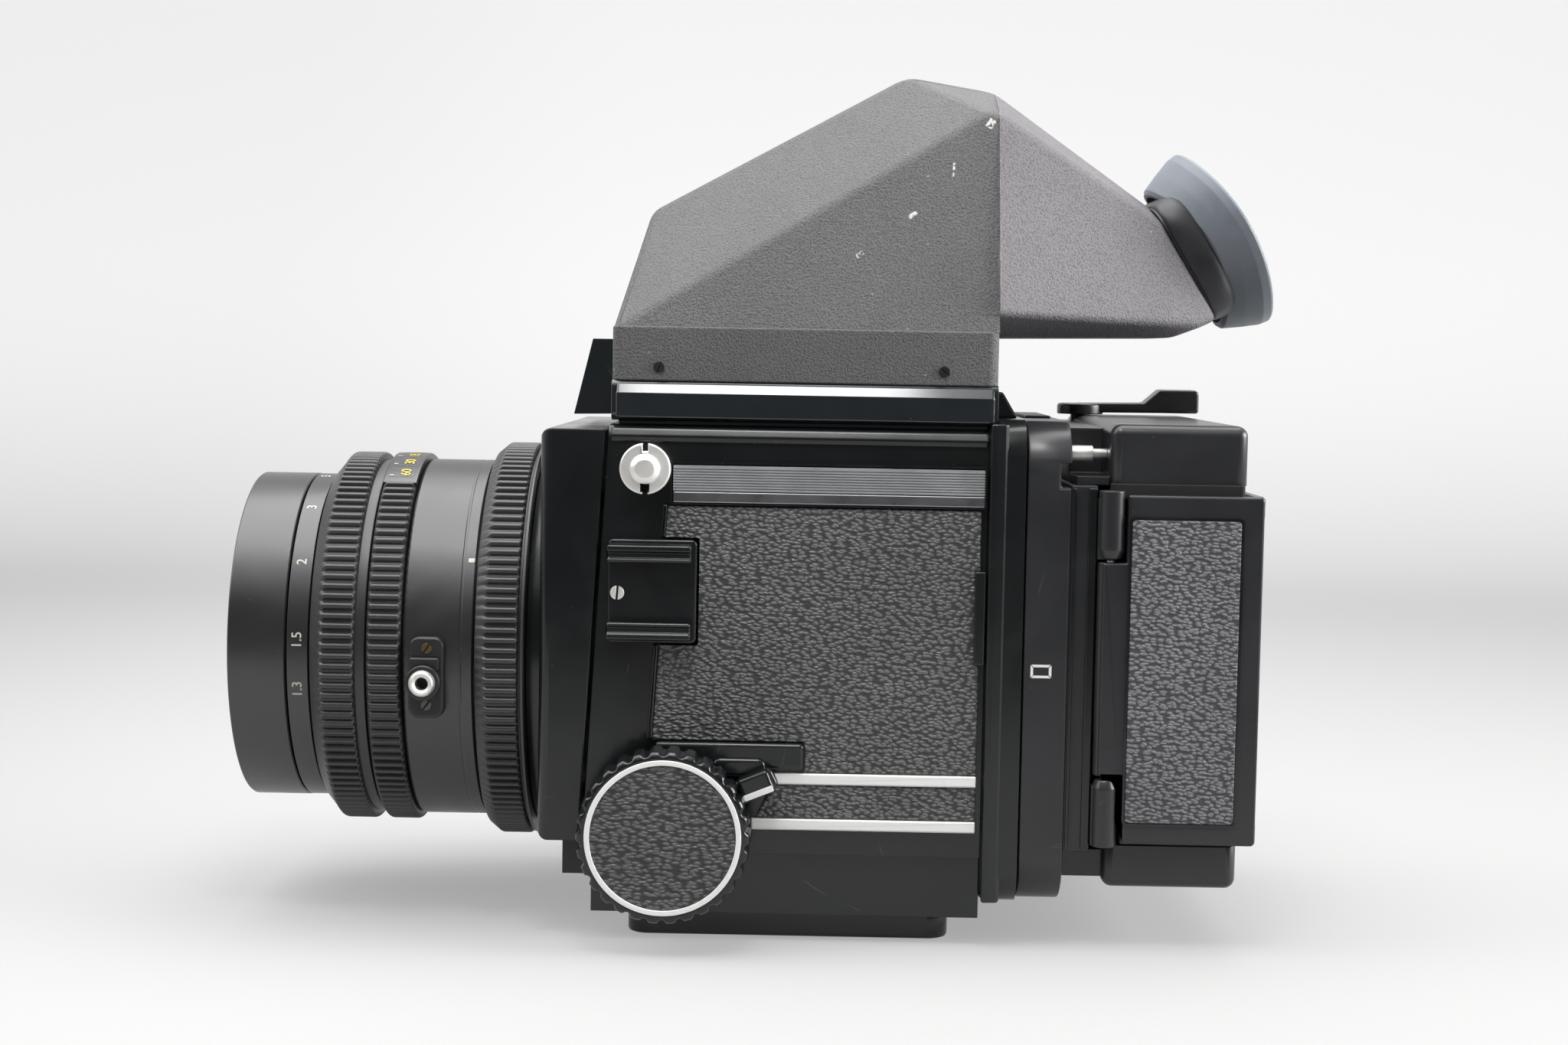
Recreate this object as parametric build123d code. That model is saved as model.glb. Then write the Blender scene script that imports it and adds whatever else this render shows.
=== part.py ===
from build123d import *
import math
import os

# Medium format reflex camera with bellows focusing, prism finder and revolving film back.
# X runs from the lens (-X) to the film back (+X), -Y is the camera's left side, +Z is up.
# The origin is the mouth of the tripod socket, in the middle of the base foot.

# Optical axis and running clearances
AXIS_Z = 65.0
RUN_GAP = 0.25
PIVOT_GAP = 0.12
FACE_GAP = 0.3
CUT_MARGIN = 5.0
JOIN = 1.0

# Body casting
BODY_HALF_W = 48.0
BODY_TOP = 120.0
BODY_REAR = 44.0
BODY_STEP_Z = 21.2
BODY_EDGE_R = 3.5
LOWER_SETBACK = 2.0
LOWER_HALF_W = BODY_HALF_W - LOWER_SETBACK
LOWER_FRONT_X = -46.0
FRONT_TOP_X = -42.9
FRONT_RAKE = 0.0537
FLOOR_Z = 36.0
CHAMBER_WALL = 7.0
CHAMBER_HALF_W = BODY_HALF_W - CHAMBER_WALL
CHAMBER_FRONT_X = -34.0
CHAMBER_TOP = 116.0
RECESS_WALL = 8.0
RECESS_HALF_W = BODY_HALF_W - RECESS_WALL
RECESS_TOP = 102.0
RECESS_REAR_X = -36.0
FLANGE_LEDGE = 6.0
FLANGE_HALF_W = RECESS_HALF_W - FLANGE_LEDGE
FLANGE_LOW_Z = 42.0
FLANGE_HIGH_Z = 96.0

# Base foot and tripod bush
FOOT_H = 6.7
FOOT_FRONT_X = -37.9
FOOT_REAR_X = 37.6
FOOT_SETBACK = 6.0
FOOT_HALF_W = LOWER_HALF_W - FOOT_SETBACK
FOOT_CORNER_R = 5.0
BUSH_R = 9.0
TRIPOD_THREAD_R = 3.97
TRIPOD_THREAD_DEPTH = 6.0

# Focusing screen
SCREEN_FRONT_X = -32.0
SCREEN_REAR_X = 38.0
SCREEN_SETBACK = 5.0
SCREEN_HALF_W = CHAMBER_HALF_W - SCREEN_SETBACK
SCREEN_LEDGE = 2.0
SCREEN_T = 2.2
SCREEN_SEAT_Z = 117.4

# Rear frame and its bearing for the revolving adapter
REAR_FRAME_BACK_X = 52.5
REAR_FRAME_PROUD = 1.5
REAR_FRAME_HALF_W = BODY_HALF_W + REAR_FRAME_PROUD
REAR_FRAME_LOW_Z = 10.4
REAR_FRAME_TOP = 122.6
REAR_FRAME_CORNER_R = 8.0
BEARING_WALL = 3.5
BEARING_R = REAR_FRAME_HALF_W - BEARING_WALL
BEARING_LIP_W = 2.4
BEARING_LIP_R = BEARING_R - BEARING_LIP_W
BEARING_LIP_T = 3.0
REAR_FRAME_EDGE_R = 1.5

# Side coverings
LEATHER_T = 1.0
LEATHER_TOP = 101.7
LEATHER_REAR_X = 42.6
LEATHER_FRONT_TOP_X = -29.2
LEATHER_FRONT_LOW_X = -32.0
LEATHER_LOW_Z = 29.9
LEATHER_STRIP_X = -8.0
LEATHER_STRIP_TOP_X = -4.3
PLATE_FRONT_X = -28.0
PLATE_REAR_X = 43.3
PLATE_LOW_Z = 102.4
PLATE_TOP = 111.0
PLATE_T = 1.2
STRIPE_T = 1.4
STRIPE_H = 2.6
STRIPE_UPPER_Z = 37.8
STRIPE_LOWER_Z = 27.2
STRIPE_LOWER_X = -9.0
TRIM_BAR_FRONT_X = -31.3
TRIM_BAR_REAR_X = 2.9
TRIM_BAR_LOW_Z = 41.4
TRIM_BAR_TOP = 47.4
TRIM_BAR_T = 2.4
COVER_GAP = 0.2

# Accessory shoe
SHOE_FRONT_X = -42.6
SHOE_BASE_REAR_X = -22.3
SHOE_RAIL_REAR_X = -23.4
SHOE_MID_Z = 82.0
SHOE_BASE_H = 23.8
SHOE_BASE_T = 2.3
SHOE_SLOT_W = 18.6
SHOE_MOUTH_W = 13.5
SHOE_STEM_T = 1.8
SHOE_SLOT_DEPTH = 2.1
SHOE_LIP_T = 2.0
SHOE_SCREW_X = -40.2
SHOE_SCREW_R = 1.5
SCREW_HEAD_T = 0.5

# Strap lugs
LUG_X = -34.3
LUG_Z = 110.1
LUG_NECK_R = 3.4
LUG_NECK_LEN = 2.5
LUG_FLANGE_R = 5.85
LUG_FLANGE_T = 1.8
LUG_BUTTON_R = 3.45
LUG_BUTTON_LEN = 1.6
LUG_BUTTON_EDGE_R = 0.95
LUG_NOTCH_W = 1.2

# Front standard
STANDARD_FRONT_X = -58.5
STANDARD_PROUD = 1.0
STANDARD_HALF_W = BODY_HALF_W + STANDARD_PROUD
STANDARD_LOW_Z = 23.7
STANDARD_TOP = 118.9
STANDARD_GAP = 0.8
STANDARD_EDGE_R = 2.5
BOSS_LEN = 3.3
MOUNT_BOSS_X = STANDARD_FRONT_X - BOSS_LEN
BELLOWS_SEAT_DEPTH = 8.5
BELLOWS_SEAT_X = STANDARD_FRONT_X + BELLOWS_SEAT_DEPTH

# Bellows
BELLOWS_CLEARANCE = 2.0
BELLOWS_HALF_W = RECESS_HALF_W - BELLOWS_CLEARANCE
BELLOWS_LOW_Z = 38.0
BELLOWS_HIGH_Z = 100.0
BELLOWS_WALL = 6.0
BELLOWS_FOLD_DEPTH = 2.5
BELLOWS_FOLDS = 5

# Focus drive
KNOB_X = -28.5
KNOB_Z = 27.7
PINION_TEETH = 12
TOOTH_MODULE = 1.0
TOOTH_DEPTH = 1.25
RACK_ROOT_W = 1.5
RACK_TIP_W = 0.62
PINION_ROOT_W = 1.6
PINION_TIP_W = 0.56
RAIL_SETBACK = 8.0
RAIL_MID_Y = BODY_HALF_W - RAIL_SETBACK
RAIL_W = 6.0
RAIL_LOW_Z = 14.8
RAIL_FRONT_X = -53.0
RAIL_REAR_X = 22.0
SHAFT_R = 3.0
KNOB_R = 19.75
KNOB_REACH = 16.0
KNOB_FACE_Y = BODY_HALF_W + KNOB_REACH
KNOB_LEN = 9.5
KNOB_SCALLOPS = 30
KNOB_SCALLOP_R = 1.5
KNOB_SCALLOP_OUT = 0.7
KNOB_CHAMFER = 0.8
KNOB_RING_R = 17.7
KNOB_RING_W = 1.2
KNOB_RECESS = 0.8
KNOB_RING_PROUD = 0.2
KNOB_DISC_SUNK = 0.1
KNOB_HUB_R = 12.0
LOCK_HUB_R = 13.0
LOCK_HUB_T = 4.6
LOCK_TIP_R = 28.0
LOCK_ARM_W = 5.5
LOCK_ARM_T = 3.0
LOCK_TIP_LEN = 7.0
LOCK_TIP_T = 5.6
LOCK_ARM_SETBACK = 2.0
LOCK_REST_DEG = 27.0

# Shutter cocking lever on the right side
COCK_X = 14.0
COCK_Z = 52.0
COCK_HUB_R = 13.0
COCK_HUB_T = 5.0
COCK_ARM_LEN = 44.0
COCK_ARM_W = 10.0
COCK_GRIP_T = 11.0
COCK_GRIP_LEN = 12.0
COCK_SHAFT_R = 4.0
COCK_SHAFT_DEPTH = 4.5

# Shutter release button
RELEASE_Y = 22.0
RELEASE_Z = 13.8
RELEASE_R = 5.0
RELEASE_PROUD = 5.5
RELEASE_BORE_DEPTH = 10.0
RELEASE_STEM = 5.0
RELEASE_EDGE_R = 1.2

# Reflex mirror
MIRROR_PIVOT_X = 40.0
MIRROR_PIVOT_Z = 110.5
MIRROR_LEN = 71.0
MIRROR_CLEARANCE = 4.0
MIRROR_HALF_W = CHAMBER_HALF_W - MIRROR_CLEARANCE
MIRROR_FRAME_T = 2.5
MIRROR_GLASS_T = 2.0
MIRROR_GLASS_MARGIN = 2.0
MIRROR_HEEL = 3.0
MIRROR_PIN_R = 2.0
MIRROR_PIN_ENGAGE = 3.0
MIRROR_REST_DEG = 45.0

# Lens, stations along X and radii from the optical axis
RING_GAP = 0.3
BAYONET_RING_REAR_X = MOUNT_BOSS_X - RING_GAP
BAYONET_RING_W = 11.5
BAYONET_RING_FRONT_X = BAYONET_RING_REAR_X - BAYONET_RING_W
BAYONET_RING_GAP = 0.7
BARREL_REAR_X = BAYONET_RING_FRONT_X - BAYONET_RING_GAP
BARREL_LEN = 16.3
BARREL_FRONT_X = BARREL_REAR_X - BARREL_LEN
SPEED_RING_REAR_X = BARREL_FRONT_X - RING_GAP
SPEED_RING_W = 8.2
SPEED_RING_FRONT_X = SPEED_RING_REAR_X - SPEED_RING_W
APERTURE_RING_REAR_X = SPEED_RING_FRONT_X - RING_GAP
APERTURE_TAIL_W = 2.4
APERTURE_RIB_REAR_X = APERTURE_RING_REAR_X - APERTURE_TAIL_W
APERTURE_RIB_W = 8.2
APERTURE_RIB_FRONT_X = APERTURE_RIB_REAR_X - APERTURE_RIB_W
APERTURE_NOSE_W = 3.3
DISTANCE_RING_REAR_X = APERTURE_RIB_FRONT_X - APERTURE_NOSE_W
DISTANCE_RING_W = 5.4
RIM_REAR_X = DISTANCE_RING_REAR_X - DISTANCE_RING_W
RIM_W = 13.7
RIM_FRONT_X = RIM_REAR_X - RIM_W
BAYONET_INSET = 0.5
BAYONET_RING_R = STANDARD_HALF_W - BAYONET_INSET
BAYONET_RING_WALL = 6.9
BAYONET_SEAT_R = BAYONET_RING_R - BAYONET_RING_WALL
BOSS_LEDGE = 3.4
MOUNT_BOSS_R = BAYONET_SEAT_R + BOSS_LEDGE
BARREL_STEP = 2.4
BARREL_R = BAYONET_SEAT_R + BARREL_STEP
SETTING_SEAT_STEP = 3.8
SETTING_SEAT_R = BARREL_R - SETTING_SEAT_STEP
SETTING_RING_WALL = 5.3
SETTING_RING_R = SETTING_SEAT_R + SETTING_RING_WALL
DISTANCE_SEAT_STEP = 3.2
DISTANCE_SEAT_R = SETTING_SEAT_R - DISTANCE_SEAT_STEP
RIM_WALL = 3.0
RIM_R = DISTANCE_SEAT_R + RIM_WALL
THREAD_WALL = 1.8
FILTER_THREAD_R = RIM_R - THREAD_WALL
INNER_TUBE_WALL = 3.0
INNER_TUBE_R = DISTANCE_SEAT_R - INNER_TUBE_WALL
BARREL_BORE_STEP = 1.0
BARREL_BORE_R = INNER_TUBE_R - BARREL_BORE_STEP
SPIGOT_BORE_STEP = 3.0
SPIGOT_BORE_R = BARREL_BORE_R - SPIGOT_BORE_STEP
SPIGOT_WALL = 4.8
SPIGOT_R = SPIGOT_BORE_R + SPIGOT_WALL
THROAT_GAP = 0.2
THROAT_R = SPIGOT_R + THROAT_GAP
RIM_CHAMFER = 0.6
FILTER_THREAD_LEN = 4.0
RIB_H = 0.9
RIB_COUNT = 120
RIB_ROOT_SHARE = 0.98
RIB_TIP_SHARE = 0.5
APERTURE_NOSE_T = 0.8
APERTURE_BAND_STEP = 0.6
BAYONET_CHAMFER = 2.2
SPIGOT_LEN = 6.5
SPIGOT_REAR_X = STANDARD_FRONT_X + SPIGOT_LEN
FRONT_GLASS_DEPTH = 8.4
FRONT_GLASS_X = RIM_FRONT_X + FRONT_GLASS_DEPTH
FRONT_GLASS_T = 8.0
FRONT_GLASS_BULGE = 3.2
FRONT_GLASS_REAR_BULGE = 0.5
REAR_GLASS_T = 9.0
REAR_GLASS_BULGE = 1.5
REAR_SEAT_DEPTH = 5.2
REAR_SEAT_X = MOUNT_BOSS_X - REAR_SEAT_DEPTH
REAR_GLASS_SET = 3.0
REAR_GLASS_X = REAR_SEAT_X + REAR_GLASS_SET
GLASS_GAP = 0.1
SHUTTER_DEPTH = 9.7
SHUTTER_REAR_X = BARREL_REAR_X - SHUTTER_DEPTH
SHUTTER_T = 11.0
SHUTTER_FRONT_X = SHUTTER_REAR_X - SHUTTER_T
SHUTTER_HOLE_R = 11.0

# Mirror-up cable socket on the lens barrel
SOCKET_Z = 59.6
SOCKET_R = 3.25
SOCKET_BORE_R = 1.5
SOCKET_LEN = 4.0
SOCKET_PLATE_INSET = 1.8
SOCKET_PLATE_FRONT_X = BARREL_FRONT_X + SOCKET_PLATE_INSET
SOCKET_PLATE_W = 8.4
SOCKET_PLATE_REAR_X = SOCKET_PLATE_FRONT_X + SOCKET_PLATE_W
SOCKET_INSET = 3.6
SOCKET_X = SOCKET_PLATE_FRONT_X + SOCKET_INSET
SOCKET_PLATE_LOW_Z = 51.0
SOCKET_PLATE_TOP = 70.0
SOCKET_PLATE_R = 2.5
SOCKET_PLATE_PROUD = 2.3
SOCKET_SCREW_R = 1.2
SOCKET_SCREW_INSET = 3.2
SOCKET_SCREW_SET = 4.2
SOCKET_SCREW_X = SOCKET_PLATE_FRONT_X + SOCKET_SCREW_SET
SOCKET_SCREW_T = 0.25
SOCKET_FLOOR_T = 0.5
SOCKET_PLATE_SINK = 4.0

# Finder base
FINDER_FRONT_X = -42.6
FINDER_REAR_X = 46.0
FINDER_SETBACK = 1.5
FINDER_HALF_W = BODY_HALF_W - FINDER_SETBACK
FINDER_BASE_H = 10.3
FINDER_BASE_TOP = BODY_TOP + FINDER_BASE_H
FINDER_FOOT_H = 0.9
FINDER_FOOT_INSET = 1.6
FINDER_EDGE_R = 2.0
FINDER_OPEN_FRONT_X = -34.0
FINDER_OPEN_REAR_X = 40.0
FINDER_WALL = 8.5
FINDER_OPEN_HALF_W = FINDER_HALF_W - FINDER_WALL
HOOK_SETBACK = 16.5
HOOK_HALF_W = FINDER_HALF_W - HOOK_SETBACK
HOOK_FRONT_X = -52.7
HOOK_TOP_FRONT_X = -48.4
HOOK_LOW_Z = 121.7
HOOK_RISE = 9.2
HOOK_TOP_Z = FINDER_BASE_TOP + HOOK_RISE

# Finder housing
HOUSING_SETBACK = 0.5
HOUSING_HALF_W = FINDER_HALF_W - HOUSING_SETBACK
SKIRT_H = 12.2
SKIRT_TOP = FINDER_BASE_TOP + SKIRT_H
CREASE_FRONT_X = -40.9
CREASE_REAR_X = 43.6
KNEE_X = -35.5
KNEE_RISE = 39.8
KNEE_Z = FINDER_BASE_TOP + KNEE_RISE
RIDGE_X = 25.0
RIDGE_RISE = 73.5
RIDGE_Z = FINDER_BASE_TOP + RIDGE_RISE
RIDGE_HALF_W = 11.0
TOP_REAR_DROP = 3.4
TOP_REAR_Z = RIDGE_Z - TOP_REAR_DROP
CREASE_REAR_DROP = 6.6
CREASE_REAR_Z = TOP_REAR_Z - CREASE_REAR_DROP
HOUSING_WALL = 2.0
PRISM_GAP = 0.6
PRISM_REAR_X = 36.0
PRISM_DROP = 12.4
PRISM_TOP = TOP_REAR_Z - PRISM_DROP
CREASE_REAR_SETBACK = 16.0
CREASE_REAR_Y = HOUSING_HALF_W - CREASE_REAR_SETBACK
TUNNEL_END_HALF_W = 19.5
TUNNEL_TOP_X = 84.0
TUNNEL_TOP_DROP = 26.8
TUNNEL_TOP_Z = TOP_REAR_Z - TUNNEL_TOP_DROP
TUNNEL_LOW_X = 100.0
TUNNEL_LOW_RISE = 4.1
TUNNEL_LOW_Z = SKIRT_TOP + TUNNEL_LOW_RISE
TUNNEL_ROOT_RISE = 3.8
TUNNEL_ROOT_Z = SKIRT_TOP + TUNNEL_ROOT_RISE
TUNNEL_KEEL_DROP = 1.5
TUNNEL_KEEL_Z = SKIRT_TOP - TUNNEL_KEEL_DROP
TUNNEL_KEEL_HALF_W = 30.0
TUNNEL_KEEL_REAR_X = 89.6
TUNNEL_KEEL_REAR_RISE = 1.1
TUNNEL_KEEL_REAR_Z = TUNNEL_KEEL_Z + TUNNEL_KEEL_REAR_RISE
TUNNEL_EDGE_X = 93.0
TUNNEL_EDGE_HALF_W = 20.0
TUNNEL_EDGE_RISE = 1.0
TUNNEL_EDGE_Z = SKIRT_TOP + TUNNEL_EDGE_RISE
TUNNEL_LAP = 1.25
EYE_BORE_R = 13.0
EYE_BORE_DEPTH = 8.0
EYE_LENS_T = 4.0
EYECUP_R = 23.4
EYECUP_NECK_R = 17.0
EYECUP_LEN = 14.2
EYECUP_BORE_R = 14.0
EYECUP_MOUTH_R = 20.5
EYECUP_FOLD_OUT = 2.5
EYECUP_FOLD_Z = 3.5
EYECUP_WAIST_Z = 7.1
EYECUP_DISH_Z = 10.2
EYECUP_DISH_IN = 1.5
EYECUP_RIM_Z = 12.2
EYECUP_FUNNEL_Z = 8.5
FINDER_SCREW_RISE = 2.9
FINDER_SCREW_Z = FINDER_BASE_TOP + FINDER_SCREW_RISE
FINDER_SCREW_FRONT_X = -31.8
FINDER_SCREW_REAR_X = 33.5
FINDER_SCREW_R = 1.3

# Finder catch on the rear frame
CATCH_FRONT_X = 46.4
CATCH_REAR_X = 52.0
CATCH_HALF_W = 9.0
CATCH_Y = -20.0
CATCH_H = 6.0
CATCH_TOP_LEN = 2.0

# Revolving adapter
ADAPTER_FRONT_X = 52.9
ADAPTER_REAR_X = 63.0
ADAPTER_HALF_W = REAR_FRAME_HALF_W
ADAPTER_LOW_Z = 10.4
ADAPTER_TOP = 122.3
ADAPTER_CORNER_R = 12.0
ADAPTER_NOTCH_LOW_Z = 107.4
ADAPTER_NOTCH_TOP = 112.9
ADAPTER_NOTCH_DEPTH = 2.5
SPIGOT_RING_FRONT_X = 48.0
SPIGOT_RING_T = 2.1
APERTURE_HALF_W = 34.0
APERTURE_HALF_H = 27.0
LOCK_BAR_HALF_W = 17.0
LOCK_BAR_FRONT_X = 55.0
LOCK_BAR_REAR_X = 61.0
LOCK_BAR_H = 1.8
LOCK_SLOT_DEPTH = 1.2
LOCK_SLIDE = 6.0
PIN_SETBACK = 9.5
PIN_Y = -ADAPTER_HALF_W + PIN_SETBACK
PIN_Z = 114.9
PIN_R = 1.9
PIN_TIP_R = 1.2
PIN_LEN = 5.5

# Film back
GATE_FRONT_X = 63.0
GATE_REAR_X = 69.0
BACK_SETBACK = 0.5
BACK_HALF_W = ADAPTER_HALF_W - BACK_SETBACK
GATE_LOW_Z = 23.4
GATE_TOP = 108.0
FRAME_HALF_W = 35.0
FRAME_HALF_H = 28.0
BLOCK_SETBACK = 1.0
BLOCK_HALF_W = BACK_HALF_W - BLOCK_SETBACK
BLOCK_FRONT_X = 71.8
BLOCK_REAR_X = 103.3
TOP_BLOCK_LOW_Z = 108.3
TOP_BLOCK_TOP = 122.0
SHELF_FRONT_X = 64.3
SHELF_TOP = 110.0
CORE_LOW_Y = -30.0
CORE_SETBACK = 3.0
CORE_HIGH_Y = BLOCK_HALF_W - CORE_SETBACK
CORE_TOP = 120.5
BLOCK_EDGE_R = 2.5
BOTTOM_BLOCK_LOW_Z = 14.9
BOTTOM_BLOCK_TOP = 25.0
BRACKET_LOW_Z = 16.9
BRACKET_TOP = 23.4
BRACKET_INSET = 3.0
BOTTOM_BLOCK_FRONT_X = 72.3
SHELF_INSET = 1.0
SIDE_WALL_T = 3.0
CARRIER_T = 2.5
CARRIER_REAR_X = 100.0
SPOOL_X = 86.5
SPOOL_FLANGE_R = 12.5
SPOOL_CLEARANCE = 2.5
SPOOL_Y = BACK_HALF_W - SIDE_WALL_T - SPOOL_FLANGE_R - SPOOL_CLEARANCE
SPOOL_FLANGE_T = 1.5
SPOOL_CORE_R = 5.5
SPOOL_LEN = 65.5
SPOOL_END_GAP = 0.6
SPOOL_BORE_R = 2.7
SPOOL_PIN_R = 2.4
SPOOL_PIN_LEN = 4.0
SPOOL_PIN_END_GAP = 0.5
PRESSURE_GAP = 1.2
PRESSURE_T = 1.2
PRESSURE_HALF_W = 36.0

# Door of the film back
HINGE_X = 72.1
HINGE_PROUD = 1.0
HINGE_Y = -BACK_HALF_W - HINGE_PROUD
HINGE_R = 3.0
HINGE_PIN_R = 1.0
PILL_LEN = 16.0
PILLS_LOW_Z = 25.1
PILLS_TOP = 107.0
PILL_FOOT_T = 2.0
DOOR_FRONT_X = 75.6
DOOR_REAR_X = 106.6
DOOR_PROUD = 3.0
DOOR_OUTER_Y = -BACK_HALF_W - DOOR_PROUD
DOOR_LAP = 0.5
DOOR_FAR_Y = BACK_HALF_W + DOOR_LAP
DOOR_SKIN = 2.6
DOOR_LOW_Z = 25.9
DOOR_TOP = 106.1
DOOR_EDGE_R = 1.8
DOOR_LEATHER_T = 0.7
DOOR_LEATHER_MARGIN = 6.0
DOOR_LEATHER_FRONT_X = 76.6
DOOR_LEATHER_REAR_X = 101.3
DOOR_LEATHER_LOW_Z = 31.0
DOOR_LEATHER_TOP = 100.5

# Dark slide
SLIDE_T = 0.7
SLIDE_SLOT_T = 1.0
SLIDE_MID_X = 66.2
SLIDE_HALF_H = 31.5
SLIDE_LAP = 3.0
SLIDE_NEAR_Y = -FRAME_HALF_W - SLIDE_LAP
SLIDE_SLOT_GAP = 0.4
SLIDE_HANDLE_W = 3.2
SLIDE_HANDLE_LEN = 6.0
SLIDE_HANDLE_HALF_H = 27.0

# Advance lever
ADVANCE_X = 74.0
ADVANCE_SETBACK = 13.0
ADVANCE_Y = BLOCK_HALF_W - ADVANCE_SETBACK
ADVANCE_HUB_R = 6.0
ADVANCE_HUB_T = 2.8
ADVANCE_LIFT = 0.4
ADVANCE_SHAFT_R = 2.5
ADVANCE_SHAFT_LEN = 6.0
ADVANCE_TIP_X = 104.5
ADVANCE_GRIP_X = 94.0
ADVANCE_GRIP_TOP = 129.0
ADVANCE_BLADE_TOP = 125.6
ADVANCE_HALF_W = 4.0
ADVANCE_GRIP_STEP = 3.0
ADVANCE_GRIP_LOW = 0.5
ADVANCE_BLADE_LOW = 0.3

FAR = 400.0
LENS_AXIS = Axis((0, 0, AXIS_Z), (1, 0, 0))
PITCH_R = PINION_TEETH * TOOTH_MODULE / 2
RACK_PITCH_Z = KNOB_Z - PITCH_R
LEATHER_FACE_Y = BODY_HALF_W + LEATHER_T
CARRIER_LOW_Z = AXIS_Z - SPOOL_LEN / 2 - SPOOL_END_GAP
CARRIER_HIGH_Z = AXIS_Z + SPOOL_LEN / 2 + SPOOL_END_GAP
FRONT_LOW_X = FRONT_TOP_X - (BODY_TOP - BODY_STEP_Z) * FRONT_RAKE
FOOT_STEP_Z = BODY_TOP + FINDER_FOOT_H


# Shape helpers

def block(x0, x1, y0, y1, z0, z1):
    """Box between two opposite corners."""
    return Pos((x0 + x1) / 2, (y0 + y1) / 2, (z0 + z1) / 2) * Box(x1 - x0, y1 - y0, z1 - z0)


def side_slab(points, y0, y1):
    """Outline in X and Z, drawn out from y0 to y1."""
    plane = Plane(origin=(0, y1, 0), x_dir=(1, 0, 0), z_dir=(0, -1, 0))
    return extrude(plane * make_face(Polyline(*points, close=True)), amount=y1 - y0)


def end_plate(x0, x1, width, z0, z1, corner_r):
    """Rounded rectangle seen along X, drawn out from x0 to x1."""
    plane = Plane(origin=(x0, 0, (z0 + z1) / 2), x_dir=(0, 1, 0), z_dir=(1, 0, 0))
    return extrude(plane * RectangleRounded(width, z1 - z0, corner_r), amount=x1 - x0)


def rod_x(y, z, radius, x0, x1):
    """Cylinder along X."""
    return Pos((x0 + x1) / 2, y, z) * Rot(0, 90, 0) * Cylinder(radius, x1 - x0)


def rod_y(x, z, radius, y0, y1):
    """Cylinder along Y."""
    return Pos(x, (y0 + y1) / 2, z) * Rot(90, 0, 0) * Cylinder(radius, y1 - y0)


def rod_z(x, y, radius, z0, z1):
    """Cylinder along Z."""
    return Pos(x, y, (z0 + z1) / 2) * Cylinder(radius, z1 - z0)


def turned(points):
    """Half profile of X and radius, turned round the optical axis."""
    outline = [(x, AXIS_Z + radius) for x, radius in points]
    return revolve(Plane.XZ * make_face(Polyline(*outline, close=True)), axis=LENS_AXIS)


def lens_element(front_x, rear_x, radius, front_bulge, rear_bulge):
    """Glass disc round the optical axis with a domed front and rear."""
    rim_z = AXIS_Z + radius
    edges = [
        Line((front_x - front_bulge, AXIS_Z), (rear_x + rear_bulge, AXIS_Z)),
        dome_arc(rear_x, rear_bulge, radius),
        Line((rear_x, rim_z), (front_x, rim_z)),
        dome_arc(front_x, -front_bulge, radius),
    ]
    return revolve(Plane.XZ * make_face(Curve() + edges), axis=LENS_AXIS)


def dome_arc(rim_x, bulge, radius):
    """Arc from a lens element's vertex to its rim."""
    sphere_r = (radius ** 2 + bulge ** 2) / (2 * bulge)
    half = math.asin(radius / sphere_r) / 2
    middle = (rim_x + bulge - sphere_r * (1 - math.cos(half)), AXIS_Z + sphere_r * math.sin(half))
    return ThreePointArc((rim_x + bulge, AXIS_Z), middle, (rim_x, AXIS_Z + radius))


def rib_star(x0, x1, tip_r):
    """Disc with straight ribs round its rim, along the optical axis."""
    points = []
    half = math.pi / RIB_COUNT
    root = tip_r - RIB_H
    for rib in range(RIB_COUNT):
        middle = 2 * half * rib
        for radius, share in ((root, -RIB_ROOT_SHARE), (tip_r, -RIB_TIP_SHARE),
                              (tip_r, RIB_TIP_SHARE), (root, RIB_ROOT_SHARE)):
            angle = middle + share * half
            points.append((radius * math.cos(angle), radius * math.sin(angle)))
    plane = Plane(origin=(x0, 0, AXIS_Z), x_dir=(0, 1, 0), z_dir=(1, 0, 0))
    return extrude(plane * make_face(Polyline(*points, close=True)), amount=x1 - x0)


def front_x(z):
    """X of the raked front face of the body at a height."""
    return FRONT_TOP_X - (BODY_TOP - z) * FRONT_RAKE


def both_sides(make):
    """The same piece on the left and on the right."""
    left = make()
    return left + mirror(left, about=Plane.XZ)


# Body

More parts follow.
